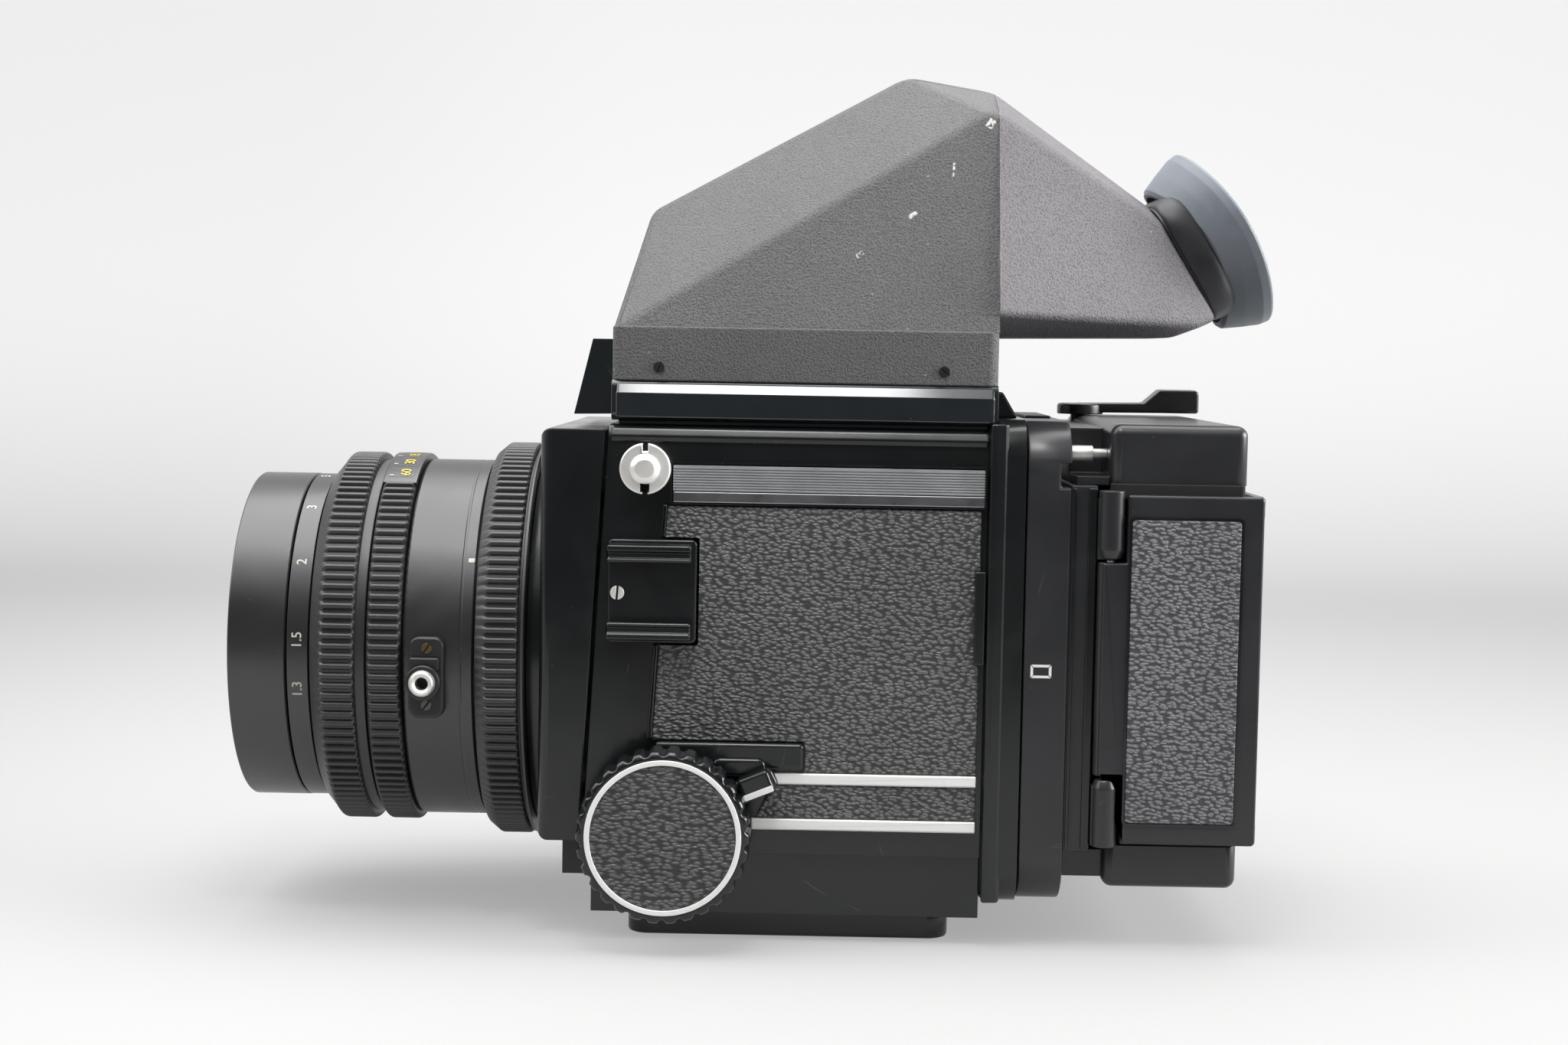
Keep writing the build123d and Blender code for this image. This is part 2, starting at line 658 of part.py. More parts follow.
def body_casting():
    upper = side_slab([
        (front_x(BODY_STEP_Z), BODY_STEP_Z),
        (BODY_REAR, BODY_STEP_Z),
        (BODY_REAR, BODY_TOP),
        (front_x(BODY_TOP), BODY_TOP),
    ], -BODY_HALF_W, BODY_HALF_W)
    upper = fillet(upper.edges().filter_by(Axis.X).group_by(Axis.Z)[-1], BODY_EDGE_R)
    lower = block(LOWER_FRONT_X, BODY_REAR, -LOWER_HALF_W, LOWER_HALF_W, FOOT_H, BODY_STEP_Z)
    shell = upper + lower
    far_front = front_x(0) - CUT_MARGIN
    shell -= block(far_front, RECESS_REAR_X, -RECESS_HALF_W, RECESS_HALF_W, FLOOR_Z, RECESS_TOP)
    shell -= block(RECESS_REAR_X, CHAMBER_FRONT_X, -FLANGE_HALF_W, FLANGE_HALF_W, FLANGE_LOW_Z, FLANGE_HIGH_Z)
    shell -= block(CHAMBER_FRONT_X, BODY_REAR, -CHAMBER_HALF_W, CHAMBER_HALF_W, FLOOR_Z, CHAMBER_TOP)
    shell -= block(SCREEN_FRONT_X, SCREEN_REAR_X, -SCREEN_HALF_W, SCREEN_HALF_W, SCREEN_SEAT_Z, BODY_TOP)
    shell -= block(SCREEN_FRONT_X + SCREEN_LEDGE, SCREEN_REAR_X - SCREEN_LEDGE, -SCREEN_HALF_W + SCREEN_LEDGE,
                   SCREEN_HALF_W - SCREEN_LEDGE, CHAMBER_TOP, SCREEN_SEAT_Z)
    shell -= focus_channels(far_front)
    shell -= rod_y(KNOB_X, KNOB_Z, SHAFT_R + PIVOT_GAP, -BODY_HALF_W, BODY_HALF_W)
    pin_reach = CHAMBER_HALF_W + MIRROR_PIN_ENGAGE + PIVOT_GAP
    shell -= rod_y(MIRROR_PIVOT_X, MIRROR_PIVOT_Z, MIRROR_PIN_R + PIVOT_GAP, -pin_reach, pin_reach)
    shell -= rod_x(RELEASE_Y, RELEASE_Z, RELEASE_R + RUN_GAP, far_front, LOWER_FRONT_X + RELEASE_BORE_DEPTH)
    cock_floor = BODY_HALF_W - COCK_SHAFT_DEPTH - PIVOT_GAP
    shell -= rod_y(COCK_X, COCK_Z, COCK_SHAFT_R + PIVOT_GAP, cock_floor, BODY_HALF_W)
    return shell


def focus_channels(mouth_x):
    """Channels for the two racks, and pockets for the pinions above them."""
    half = RAIL_W / 2 + FACE_GAP
    tip_z = RACK_PITCH_Z + TOOTH_MODULE + FACE_GAP
    wheel_r = PITCH_R + TOOTH_MODULE + FACE_GAP
    cuts = []
    for side in (-1, 1):
        mid_y = side * RAIL_MID_Y
        cuts.append(block(mouth_x, RAIL_REAR_X + FACE_GAP, mid_y - half, mid_y + half,
                          RAIL_LOW_Z - FACE_GAP, tip_z))
        cuts.append(rod_y(KNOB_X, KNOB_Z, wheel_r, mid_y - half, mid_y + half))
    return cuts


def rear_frame():
    frame = end_plate(BODY_REAR, REAR_FRAME_BACK_X, 2 * REAR_FRAME_HALF_W, REAR_FRAME_LOW_Z,
                      REAR_FRAME_TOP, REAR_FRAME_CORNER_R)
    frame = fillet(frame.faces().sort_by(Axis.X)[0].edges(), REAR_FRAME_EDGE_R)
    frame -= block(BODY_REAR, FINDER_REAR_X + FACE_GAP, -REAR_FRAME_HALF_W, REAR_FRAME_HALF_W,
                   FOOT_STEP_Z - FACE_GAP, REAR_FRAME_TOP)
    frame -= rod_x(0, AXIS_Z, BEARING_LIP_R, BODY_REAR, REAR_FRAME_BACK_X)
    frame -= rod_x(0, AXIS_Z, BEARING_R, BODY_REAR + BEARING_LIP_T, REAR_FRAME_BACK_X)
    return frame


def base_foot():
    length = FOOT_REAR_X - FOOT_FRONT_X
    middle = (FOOT_FRONT_X + FOOT_REAR_X) / 2
    plate = Pos(middle, 0, 0) * RectangleRounded(length, 2 * FOOT_HALF_W, FOOT_CORNER_R)
    return extrude(plate, amount=FOOT_H) - rod_z(0, 0, BUSH_R, 0, FOOT_H)


def tripod_bush():
    return rod_z(0, 0, BUSH_R, 0, FOOT_H) - rod_z(0, 0, TRIPOD_THREAD_R, 0, TRIPOD_THREAD_DEPTH)


def side_leather():
    """Left leather: the main panel, and the strip between the two white stripes."""
    front_foot_x = TRIM_BAR_FRONT_X - COVER_GAP
    bar_rear_x = TRIM_BAR_REAR_X + COVER_GAP
    stripe_top = STRIPE_UPPER_Z + STRIPE_H
    sheet = side_slab([
        (LEATHER_FRONT_TOP_X, LEATHER_TOP),
        (LEATHER_REAR_X, LEATHER_TOP),
        (LEATHER_REAR_X, LEATHER_LOW_Z),
        (LEATHER_STRIP_X, LEATHER_LOW_Z),
        (LEATHER_STRIP_TOP_X, STRIPE_UPPER_Z),
        (LEATHER_STRIP_TOP_X, TRIM_BAR_LOW_Z),
        (bar_rear_x, TRIM_BAR_LOW_Z),
        (bar_rear_x, TRIM_BAR_TOP + COVER_GAP),
        (min(front_foot_x, LEATHER_FRONT_LOW_X), TRIM_BAR_TOP + COVER_GAP),
    ], -LEATHER_FACE_Y, -BODY_HALF_W)
    return sheet - block(LEATHER_STRIP_TOP_X, LEATHER_REAR_X, -LEATHER_FACE_Y, -BODY_HALF_W,
                         STRIPE_UPPER_Z, stripe_top)


def side_leather_left():
    shoe_half = SHOE_BASE_H / 2 + COVER_GAP
    rear = SHOE_BASE_REAR_X + COVER_GAP
    return side_leather() - block(SHOE_FRONT_X, rear, -LEATHER_FACE_Y, -BODY_HALF_W,
                                  SHOE_MID_Z - shoe_half, SHOE_MID_Z + shoe_half)


def side_leather_right():
    hub_hole = rod_y(COCK_X, COCK_Z, COCK_SHAFT_R + JOIN, BODY_HALF_W, LEATHER_FACE_Y)
    return mirror(side_leather(), about=Plane.XZ) - hub_hole


def nameplate():
    return block(PLATE_FRONT_X, PLATE_REAR_X, -BODY_HALF_W - PLATE_T, -BODY_HALF_W, PLATE_LOW_Z, PLATE_TOP)


def white_stripes():
    upper = block(LEATHER_STRIP_TOP_X, LEATHER_REAR_X, -BODY_HALF_W - STRIPE_T, -BODY_HALF_W,
                  STRIPE_UPPER_Z, STRIPE_UPPER_Z + STRIPE_H)
    lower = block(STRIPE_LOWER_X, LEATHER_REAR_X, -BODY_HALF_W - STRIPE_T, -BODY_HALF_W,
                  STRIPE_LOWER_Z, STRIPE_LOWER_Z + STRIPE_H)
    return upper + lower


def side_trim_bar():
    return block(TRIM_BAR_FRONT_X, TRIM_BAR_REAR_X, -BODY_HALF_W - TRIM_BAR_T, -BODY_HALF_W,
                 TRIM_BAR_LOW_Z, TRIM_BAR_TOP)


def accessory_shoe():
    base_y = -BODY_HALF_W - SHOE_BASE_T
    lip_y = base_y - SHOE_SLOT_DEPTH
    shoe = block(SHOE_FRONT_X, SHOE_BASE_REAR_X, base_y, -BODY_HALF_W,
                 SHOE_MID_Z - SHOE_BASE_H / 2, SHOE_MID_Z + SHOE_BASE_H / 2)
    for side in (-1, 1):
        inner = SHOE_MID_Z + side * SHOE_SLOT_W / 2
        outer = inner + side * SHOE_STEM_T
        mouth = SHOE_MID_Z + side * SHOE_MOUTH_W / 2
        shoe += block(SHOE_FRONT_X, SHOE_RAIL_REAR_X, lip_y, base_y, min(inner, outer), max(inner, outer))
        shoe += block(SHOE_FRONT_X, SHOE_RAIL_REAR_X, lip_y - SHOE_LIP_T, lip_y,
                      min(mouth, outer), max(mouth, outer))
    return shoe


def cover_screws():
    """Shoe screw, and the two screws on each side of the finder housing."""
    shoe_y = -BODY_HALF_W - SHOE_BASE_T
    screws = [rod_y(SHOE_SCREW_X, SHOE_MID_Z, SHOE_SCREW_R, shoe_y - SCREW_HEAD_T, shoe_y)]
    for side in (-1, 1):
        for x in (FINDER_SCREW_FRONT_X, FINDER_SCREW_REAR_X):
            seat = side * HOUSING_HALF_W
            head = side * (HOUSING_HALF_W + SCREW_HEAD_T)
            screws.append(rod_y(x, FINDER_SCREW_Z, FINDER_SCREW_R, min(seat, head), max(seat, head)))
    return Part(children=screws)


def strap_lug():
    neck_y = -BODY_HALF_W - LUG_NECK_LEN
    flange_y = neck_y - LUG_FLANGE_T
    lug = rod_y(LUG_X, LUG_Z, LUG_NECK_R, neck_y, -BODY_HALF_W)
    flange = rod_y(LUG_X, LUG_Z, LUG_FLANGE_R, flange_y, neck_y)
    for side in (-1, 1):
        low = LUG_Z + side * LUG_NECK_R
        high = LUG_Z + side * LUG_FLANGE_R
        flange -= block(LUG_X - LUG_NOTCH_W / 2, LUG_X + LUG_NOTCH_W / 2, flange_y, neck_y,
                        min(low, high), max(low, high))
    button = rod_y(LUG_X, LUG_Z, LUG_BUTTON_R, flange_y - LUG_BUTTON_LEN, flange_y)
    button = fillet(button.edges().sort_by(Axis.Y)[0], LUG_BUTTON_EDGE_R)
    return lug + flange + button


def focusing_screen():
    gap = COVER_GAP
    return block(SCREEN_FRONT_X + gap, SCREEN_REAR_X - gap, -SCREEN_HALF_W + gap, SCREEN_HALF_W - gap,
                 SCREEN_SEAT_Z, SCREEN_SEAT_Z + SCREEN_T)


# Finder

def finder_base():
    base = block(FINDER_FRONT_X, FINDER_REAR_X, -FINDER_HALF_W, FINDER_HALF_W, FOOT_STEP_Z, FINDER_BASE_TOP)
    base = fillet(base.edges().filter_by(Axis.X), FINDER_EDGE_R)
    foot_half = FINDER_HALF_W - FINDER_FOOT_INSET
    base += block(FINDER_FRONT_X + FINDER_FOOT_INSET, BODY_REAR - COVER_GAP, -foot_half, foot_half,
                  BODY_TOP, FOOT_STEP_Z)
    base += side_slab([
        (FINDER_FRONT_X, HOOK_LOW_Z + COVER_GAP),
        (HOOK_FRONT_X, HOOK_LOW_Z),
        (HOOK_TOP_FRONT_X, HOOK_TOP_Z),
        (FINDER_FRONT_X - FACE_GAP, HOOK_TOP_Z),
        (FINDER_FRONT_X - FACE_GAP, FINDER_BASE_TOP - FINDER_EDGE_R),
        (FINDER_FRONT_X, FINDER_BASE_TOP - FINDER_EDGE_R),
    ], -HOOK_HALF_W, HOOK_HALF_W)
    return base - block(FINDER_OPEN_FRONT_X, FINDER_OPEN_REAR_X, -FINDER_OPEN_HALF_W, FINDER_OPEN_HALF_W,
                        BODY_TOP, FINDER_BASE_TOP)


def beyond(point_a, point_b, point_c, outward, inset):
    """Large block outside the plane through three points, after the plane has moved in by the inset."""
    normal = (point_b - point_a).cross(point_c - point_a).normalized()
    if normal.dot(outward) < 0:
        normal = normal * -1
    plane = Plane(origin=point_a - normal * inset, z_dir=normal)
    return plane * Pos(0, 0, FAR / 2) * Box(2 * FAR, 2 * FAR, FAR)


def cut_profile(form, points, inset):
    """Cut a form back to a convex outline in X and Z, moved in by the inset."""
    middle = Vector(sum(x for x, z in points) / len(points), 0, sum(z for x, z in points) / len(points))
    for (x0, z0), (x1, z1) in zip(points[:-1], points[1:]):
        start = Vector(x0, 0, z0)
        end = Vector(x1, 0, z1)
        form -= beyond(start, end, start + Vector(0, 1, 0), (start + end) * 0.5 - middle, inset)
    return form


def finder_form(inset):
    """Faceted finder housing: a skirt, side walls that lean in, and roof facets above the crease."""
    half = HOUSING_HALF_W - inset
    form = block(FINDER_FRONT_X + inset, FINDER_REAR_X - inset, -half, half, FINDER_BASE_TOP, RIDGE_Z - inset)
    form = cut_profile(form, [(FINDER_FRONT_X, SKIRT_TOP), (KNEE_X, KNEE_Z), (RIDGE_X, RIDGE_Z),
                              (FINDER_REAR_X, TOP_REAR_Z)], inset)
    for side in (-1, 1):
        wall = HOUSING_HALF_W * side
        outward = Vector(0, side, 0.5)
        crease_rear = Vector(CREASE_REAR_X, CREASE_REAR_Y * side, CREASE_REAR_Z)
        crease_front = Vector(CREASE_FRONT_X, wall, SKIRT_TOP)
        form -= beyond(crease_front, crease_rear, Vector(FINDER_REAR_X, wall, SKIRT_TOP), outward, inset)
        ridge = Vector(RIDGE_X, RIDGE_HALF_W * side, RIDGE_Z)
        form -= beyond(crease_front, crease_rear, ridge, outward, inset)
        rear = Vector(FINDER_REAR_X, RIDGE_HALF_W * side, TOP_REAR_Z)
        form -= beyond(crease_rear, ridge, rear, outward, inset)
    return form


def tunnel_form(inset):
    """Eyepiece tunnel behind the housing: sides that lean in and taper, and a keel underneath."""
    half_w = HOUSING_HALF_W - inset
    form = block(FINDER_REAR_X - TUNNEL_LAP * inset, TUNNEL_LOW_X, -half_w, half_w,
                 TUNNEL_KEEL_Z - CUT_MARGIN, TOP_REAR_Z)
    form = cut_profile(form, [(FINDER_REAR_X, TOP_REAR_Z), (TUNNEL_TOP_X, TUNNEL_TOP_Z),
                              (TUNNEL_LOW_X, TUNNEL_LOW_Z), (TUNNEL_KEEL_REAR_X, TUNNEL_KEEL_REAR_Z),
                              (FINDER_REAR_X, TUNNEL_KEEL_Z)], inset)
    for side in (-1, 1):
        outward = Vector(0, side, 0.5)
        root = Vector(FINDER_REAR_X, HOUSING_HALF_W * side, TUNNEL_ROOT_Z)
        tip = Vector(TUNNEL_LOW_X, TUNNEL_END_HALF_W * side, TUNNEL_LOW_Z)
        crease = Vector(FINDER_REAR_X, CREASE_REAR_Y * side, CREASE_REAR_Z)
        form -= beyond(root, tip, crease, outward, inset)
        ridge = Vector(FINDER_REAR_X, RIDGE_HALF_W * side, TOP_REAR_Z)
        end = Vector(TUNNEL_TOP_X, RIDGE_HALF_W * side, TUNNEL_TOP_Z)
        form -= beyond(crease, ridge, end, outward, inset)
        edge = Vector(TUNNEL_EDGE_X, TUNNEL_EDGE_HALF_W * side, TUNNEL_EDGE_Z)
        keel = Vector(FINDER_REAR_X, TUNNEL_KEEL_HALF_W * side, TUNNEL_KEEL_Z)
        form -= beyond(root, edge, keel, Vector(0, side, -1), inset)
    return form


def eye_plane():
    """Plane on the tunnel's end face, looking out along the eyepiece axis."""
    middle = Vector((TUNNEL_TOP_X + TUNNEL_LOW_X) / 2, 0, (TUNNEL_TOP_Z + TUNNEL_LOW_Z) / 2)
    along = Vector(TUNNEL_LOW_X - TUNNEL_TOP_X, 0, TUNNEL_LOW_Z - TUNNEL_TOP_Z).normalized()
    return Plane(origin=middle, x_dir=(0, 1, 0), z_dir=Vector(-along.Z, 0, along.X))


def eye_rod(radius, low, high):
    """Cylinder on the eyepiece axis, between two distances from the tunnel's end face."""
    return eye_plane() * Pos(0, 0, (low + high) / 2) * Cylinder(radius, high - low)


def finder_housing():
    housing = finder_form(0) + tunnel_form(0)
    housing -= finder_form(HOUSING_WALL)
    housing -= tunnel_form(HOUSING_WALL)
    return housing - eye_rod(EYE_BORE_R, -EYE_BORE_DEPTH, HOUSING_WALL)


def finder_prism():
    """Prism block, standing on the rim of the finder base."""
    room = block(FINDER_FRONT_X, PRISM_REAR_X, -HOUSING_HALF_W, HOUSING_HALF_W, FINDER_BASE_TOP, PRISM_TOP)
    return finder_form(HOUSING_WALL + PRISM_GAP) & room


def eyepiece_lens():
    return eye_rod(EYE_BORE_R - GLASS_GAP, -HOUSING_WALL, EYE_LENS_T - HOUSING_WALL)


def eyecup():
    outline = [
        (EYECUP_BORE_R, 0),
        (EYECUP_NECK_R, 0),
        (EYECUP_NECK_R + EYECUP_FOLD_OUT, EYECUP_FOLD_Z),
        (EYECUP_NECK_R, EYECUP_WAIST_Z),
        (EYECUP_R - EYECUP_DISH_IN, EYECUP_DISH_Z),
        (EYECUP_R, EYECUP_RIM_Z),
        (EYECUP_R, EYECUP_LEN),
        (EYECUP_MOUTH_R, EYECUP_LEN),
        (EYECUP_BORE_R, EYECUP_FUNNEL_Z),
    ]
    face = Plane.XZ * make_face(Polyline(*outline, close=True))
    return eye_plane() * revolve(face, axis=Axis.Z)


def finder_catch():
    rear = CATCH_REAR_X
    return side_slab([
        (CATCH_FRONT_X, REAR_FRAME_TOP),
        (rear, REAR_FRAME_TOP),
        (CATCH_FRONT_X + CATCH_TOP_LEN, REAR_FRAME_TOP + CATCH_H),
        (CATCH_FRONT_X, REAR_FRAME_TOP + CATCH_H),
    ], CATCH_Y - CATCH_HALF_W, CATCH_Y + CATCH_HALF_W)


# Front standard and bellows

def front_standard():
    def rear_x(z):
        return front_x(z) - STANDARD_GAP

    frame = side_slab([
        (STANDARD_FRONT_X, STANDARD_LOW_Z),
        (rear_x(STANDARD_LOW_Z), STANDARD_LOW_Z),
        (rear_x(STANDARD_TOP), STANDARD_TOP),
        (STANDARD_FRONT_X, STANDARD_TOP),
    ], -STANDARD_HALF_W, STANDARD_HALF_W)
    frame = fillet(frame.faces().sort_by(Axis.X)[0].edges(), STANDARD_EDGE_R)
    frame += rod_x(0, AXIS_Z, MOUNT_BOSS_R, MOUNT_BOSS_X, STANDARD_FRONT_X)
    frame -= rod_x(0, AXIS_Z, THROAT_R, MOUNT_BOSS_X, BELLOWS_SEAT_X)
    gap = BELLOWS_HALF_W + FACE_GAP
    return frame - block(BELLOWS_SEAT_X, RECESS_REAR_X, -gap, gap, BELLOWS_LOW_Z - FACE_GAP,
                         BELLOWS_HIGH_Z + FACE_GAP)


def bellows():
    """Folded box between the standard and the body, pressed together at rest."""
    length = RECESS_REAR_X - BELLOWS_SEAT_X
    fold = length / BELLOWS_FOLDS
    outline = [(BELLOWS_SEAT_X, 0)]
    for index in range(BELLOWS_FOLDS):
        start = BELLOWS_SEAT_X + index * fold
        outline.append((start, BELLOWS_WALL - BELLOWS_FOLD_DEPTH))
        outline.append((start + fold / 2, BELLOWS_WALL))
    outline.append((RECESS_REAR_X, BELLOWS_WALL - BELLOWS_FOLD_DEPTH))
    outline.append((RECESS_REAR_X, 0))
    width = BELLOWS_HALF_W - BELLOWS_WALL
    height = (BELLOWS_HIGH_Z - BELLOWS_LOW_Z) / 2 - BELLOWS_WALL
    middle = (BELLOWS_HIGH_Z + BELLOWS_LOW_Z) / 2
    tall = side_slab([(x, middle + height + d) for x, d in outline]
                     + [(x, middle - height - d) for x, d in reversed(outline)],
                     -BELLOWS_HALF_W, BELLOWS_HALF_W)
    plane = Plane(origin=(0, 0, BELLOWS_HIGH_Z), x_dir=(1, 0, 0), z_dir=(0, 0, -1))
    wide_points = [(x, width + d) for x, d in outline] + [(x, -width - d) for x, d in reversed(outline)]
    wide_face = plane * make_face(Polyline(*wide_points, close=True))
    wide = extrude(wide_face, amount=BELLOWS_HIGH_Z - BELLOWS_LOW_Z)
    core = block(BELLOWS_SEAT_X, RECESS_REAR_X, -width, width, middle - height, middle + height)
    return (tall & wide) - core


def rack_profile():
    """Toothed bar outline in X and Z, with a tooth space under the pinion's lowest tooth."""
    pitch = math.pi * TOOTH_MODULE
    root = RACK_PITCH_Z - TOOTH_DEPTH * TOOTH_MODULE
    tip = RACK_PITCH_Z + TOOTH_MODULE
    points = [(RAIL_FRONT_X, RAIL_LOW_Z), (RAIL_REAR_X, RAIL_LOW_Z), (RAIL_REAR_X, root)]
    count = int((RAIL_REAR_X - FRONT_LOW_X) / pitch)
    first = int((KNOB_X - FRONT_LOW_X) / pitch)
    half_root = RACK_ROOT_W * TOOTH_MODULE / 2
    half_tip = RACK_TIP_W * TOOTH_MODULE / 2
    for index in reversed(range(count)):
        middle = KNOB_X + (index - first + 0.5) * pitch
        if middle + half_root < RAIL_REAR_X:
            points += [(middle + half_root, root), (middle + half_tip, tip),
                       (middle - half_tip, tip), (middle - half_root, root)]
    points.append((RAIL_FRONT_X, root))
    return points


def focus_rack():
    bar = side_slab(rack_profile(), -RAIL_MID_Y - RAIL_W / 2, -RAIL_MID_Y + RAIL_W / 2)
    post = block(RAIL_FRONT_X, FRONT_LOW_X - JOIN, -RAIL_MID_Y - RAIL_W / 2, -RAIL_MID_Y + RAIL_W / 2,
                 RAIL_LOW_Z, STANDARD_LOW_Z)
    return bar + post


def pinion(y0, y1):
    """Toothed wheel of the focus drive, one tooth pointing straight down."""
    points = []
    root = PITCH_R - TOOTH_DEPTH * TOOTH_MODULE
    tip = PITCH_R + TOOTH_MODULE
    half_root = PINION_ROOT_W * TOOTH_MODULE / 2 / root
    half_tip = PINION_TIP_W * TOOTH_MODULE / 2 / tip
    for tooth in range(PINION_TEETH):
        middle = -math.pi / 2 + 2 * math.pi * tooth / PINION_TEETH
        for radius, shift in ((root, -half_root), (tip, -half_tip), (tip, half_tip), (root, half_root)):
            angle = middle + shift
            points.append((KNOB_X + radius * math.cos(angle), KNOB_Z + radius * math.sin(angle)))
    return side_slab(points, y0, y1)


def focus_shaft():
    knob_back = KNOB_FACE_Y - KNOB_LEN
    shaft = rod_y(KNOB_X, KNOB_Z, SHAFT_R, -knob_back, knob_back)
    for side in (-1, 1):
        shaft += pinion(side * RAIL_MID_Y - RAIL_W / 2, side * RAIL_MID_Y + RAIL_W / 2)
    return shaft


def focus_knob_left():
    knob_back = -KNOB_FACE_Y + KNOB_LEN
    knob = rod_y(KNOB_X, KNOB_Z, KNOB_R, -KNOB_FACE_Y, knob_back)
    knob = chamfer(knob.edges().sort_by(Axis.Y)[0], KNOB_CHAMFER)
    centre_r = KNOB_R + KNOB_SCALLOP_OUT
    for index in range(KNOB_SCALLOPS):
        angle = 2 * math.pi * index / KNOB_SCALLOPS
        knob -= rod_y(KNOB_X + centre_r * math.cos(angle), KNOB_Z + centre_r * math.sin(angle),
                      KNOB_SCALLOP_R, -KNOB_FACE_Y, knob_back)
    return knob - rod_y(KNOB_X, KNOB_Z, KNOB_RING_R, -KNOB_FACE_Y, -KNOB_FACE_Y + KNOB_RECESS)


def focus_knob_right():
    knob_back = KNOB_FACE_Y - KNOB_LEN
    hub = rod_y(KNOB_X, KNOB_Z, KNOB_HUB_R, LEATHER_FACE_Y + FACE_GAP, knob_back)
    hub -= rod_y(KNOB_X, KNOB_Z, SHAFT_R, LEATHER_FACE_Y + FACE_GAP, knob_back)
    return mirror(focus_knob_left(), about=Plane.XZ) + hub


def knob_white_ring():
    floor = -KNOB_FACE_Y + KNOB_RECESS
    proud = -KNOB_FACE_Y - KNOB_RING_PROUD
    return (rod_y(KNOB_X, KNOB_Z, KNOB_RING_R, proud, floor)
            - rod_y(KNOB_X, KNOB_Z, KNOB_RING_R - KNOB_RING_W, proud, floor))


def knob_leather_disc():
    floor = -KNOB_FACE_Y + KNOB_RECESS
    return rod_y(KNOB_X, KNOB_Z, KNOB_RING_R - KNOB_RING_W, -KNOB_FACE_Y + KNOB_DISC_SUNK, floor)


def focus_lock_lever():
    inner = -LEATHER_FACE_Y - COVER_GAP
    outer = inner - LOCK_HUB_T
    tip_y = inner - LOCK_ARM_SETBACK
    arm = block(LOCK_HUB_R - JOIN, LOCK_TIP_R, tip_y - LOCK_ARM_T, tip_y, -LOCK_ARM_W / 2, LOCK_ARM_W / 2)
    arm += block(LOCK_TIP_R - LOCK_TIP_LEN, LOCK_TIP_R, tip_y - LOCK_TIP_T, tip_y,
                 -LOCK_ARM_W / 2, LOCK_ARM_W / 2)
    arm = Pos(KNOB_X, 0, KNOB_Z) * Rot(0, -LOCK_REST_DEG, 0) * arm
    hub = rod_y(KNOB_X, KNOB_Z, LOCK_HUB_R, outer, inner)
    return hub + arm - rod_y(KNOB_X, KNOB_Z, SHAFT_R + PIVOT_GAP, outer, inner)


# Controls on the right side and the front

def cocking_lever():
    inner = BODY_HALF_W + STRIPE_T + FACE_GAP
    outer = inner + COCK_HUB_T
    lever = rod_y(COCK_X, COCK_Z, COCK_HUB_R, inner, outer)
    lever += block(COCK_X - COCK_ARM_W / 2, COCK_X + COCK_ARM_W / 2, inner + JOIN, outer,
                   COCK_Z, COCK_Z + COCK_ARM_LEN)
    lever += block(COCK_X - COCK_ARM_W / 2, COCK_X + COCK_ARM_W / 2, outer, inner + COCK_GRIP_T,
                   COCK_Z + COCK_ARM_LEN - COCK_GRIP_LEN, COCK_Z + COCK_ARM_LEN)
    lever += rod_y(COCK_X, COCK_Z, COCK_SHAFT_R, BODY_HALF_W - COCK_SHAFT_DEPTH, inner)
    return lever


def release_button():
    front = LOWER_FRONT_X - RELEASE_PROUD
    button = rod_x(RELEASE_Y, RELEASE_Z, RELEASE_R, front, LOWER_FRONT_X + RELEASE_STEM)
    return fillet(button.edges().sort_by(Axis.X)[0], RELEASE_EDGE_R)


def mirror_leaf(start, end, low, high, half_width):
    """Flat leaf in the mirror's plane, placed at the mirror's resting angle."""
    leaf = block(-end, -start, -half_width, half_width, low, high)
    return Pos(MIRROR_PIVOT_X, 0, MIRROR_PIVOT_Z) * Rot(0, -MIRROR_REST_DEG, 0) * leaf


def mirror_frame():
    leaf = mirror_leaf(0, MIRROR_LEN, -MIRROR_FRAME_T, 0, MIRROR_HALF_W)
    reach = CHAMBER_HALF_W + MIRROR_PIN_ENGAGE
    pins = rod_y(MIRROR_PIVOT_X, MIRROR_PIVOT_Z, MIRROR_PIN_R, -reach, reach)
    return leaf + pins


def mirror_glass():
    return mirror_leaf(MIRROR_HEEL, MIRROR_LEN - MIRROR_GLASS_MARGIN, 0, MIRROR_GLASS_T,
                       MIRROR_HALF_W - MIRROR_GLASS_MARGIN)


# Lens

def front_barrel():
    thread_end = RIM_FRONT_X + FILTER_THREAD_LEN
    return turned([
        (RIM_FRONT_X, FILTER_THREAD_R),
        (RIM_FRONT_X, RIM_R - RIM_CHAMFER),
        (RIM_FRONT_X + RIM_CHAMFER, RIM_R),
        (RIM_REAR_X, RIM_R),
        (RIM_REAR_X, INNER_TUBE_R),
        (thread_end, INNER_TUBE_R),
        (thread_end, FILTER_THREAD_R),
    ])


def front_glass():
    return lens_element(FRONT_GLASS_X, FRONT_GLASS_X + FRONT_GLASS_T, INNER_TUBE_R - GLASS_GAP,
                        FRONT_GLASS_BULGE, FRONT_GLASS_REAR_BULGE)


def rear_glass():
    return lens_element(REAR_GLASS_X, REAR_GLASS_X + REAR_GLASS_T, SPIGOT_BORE_R - GLASS_GAP,
                        REAR_GLASS_BULGE, REAR_GLASS_BULGE)


def shutter_unit():
    ring = rod_x(0, AXIS_Z, BARREL_BORE_R - GLASS_GAP, SHUTTER_FRONT_X, SHUTTER_REAR_X)
    return ring - rod_x(0, AXIS_Z, SHUTTER_HOLE_R, SHUTTER_FRONT_X, SHUTTER_REAR_X)


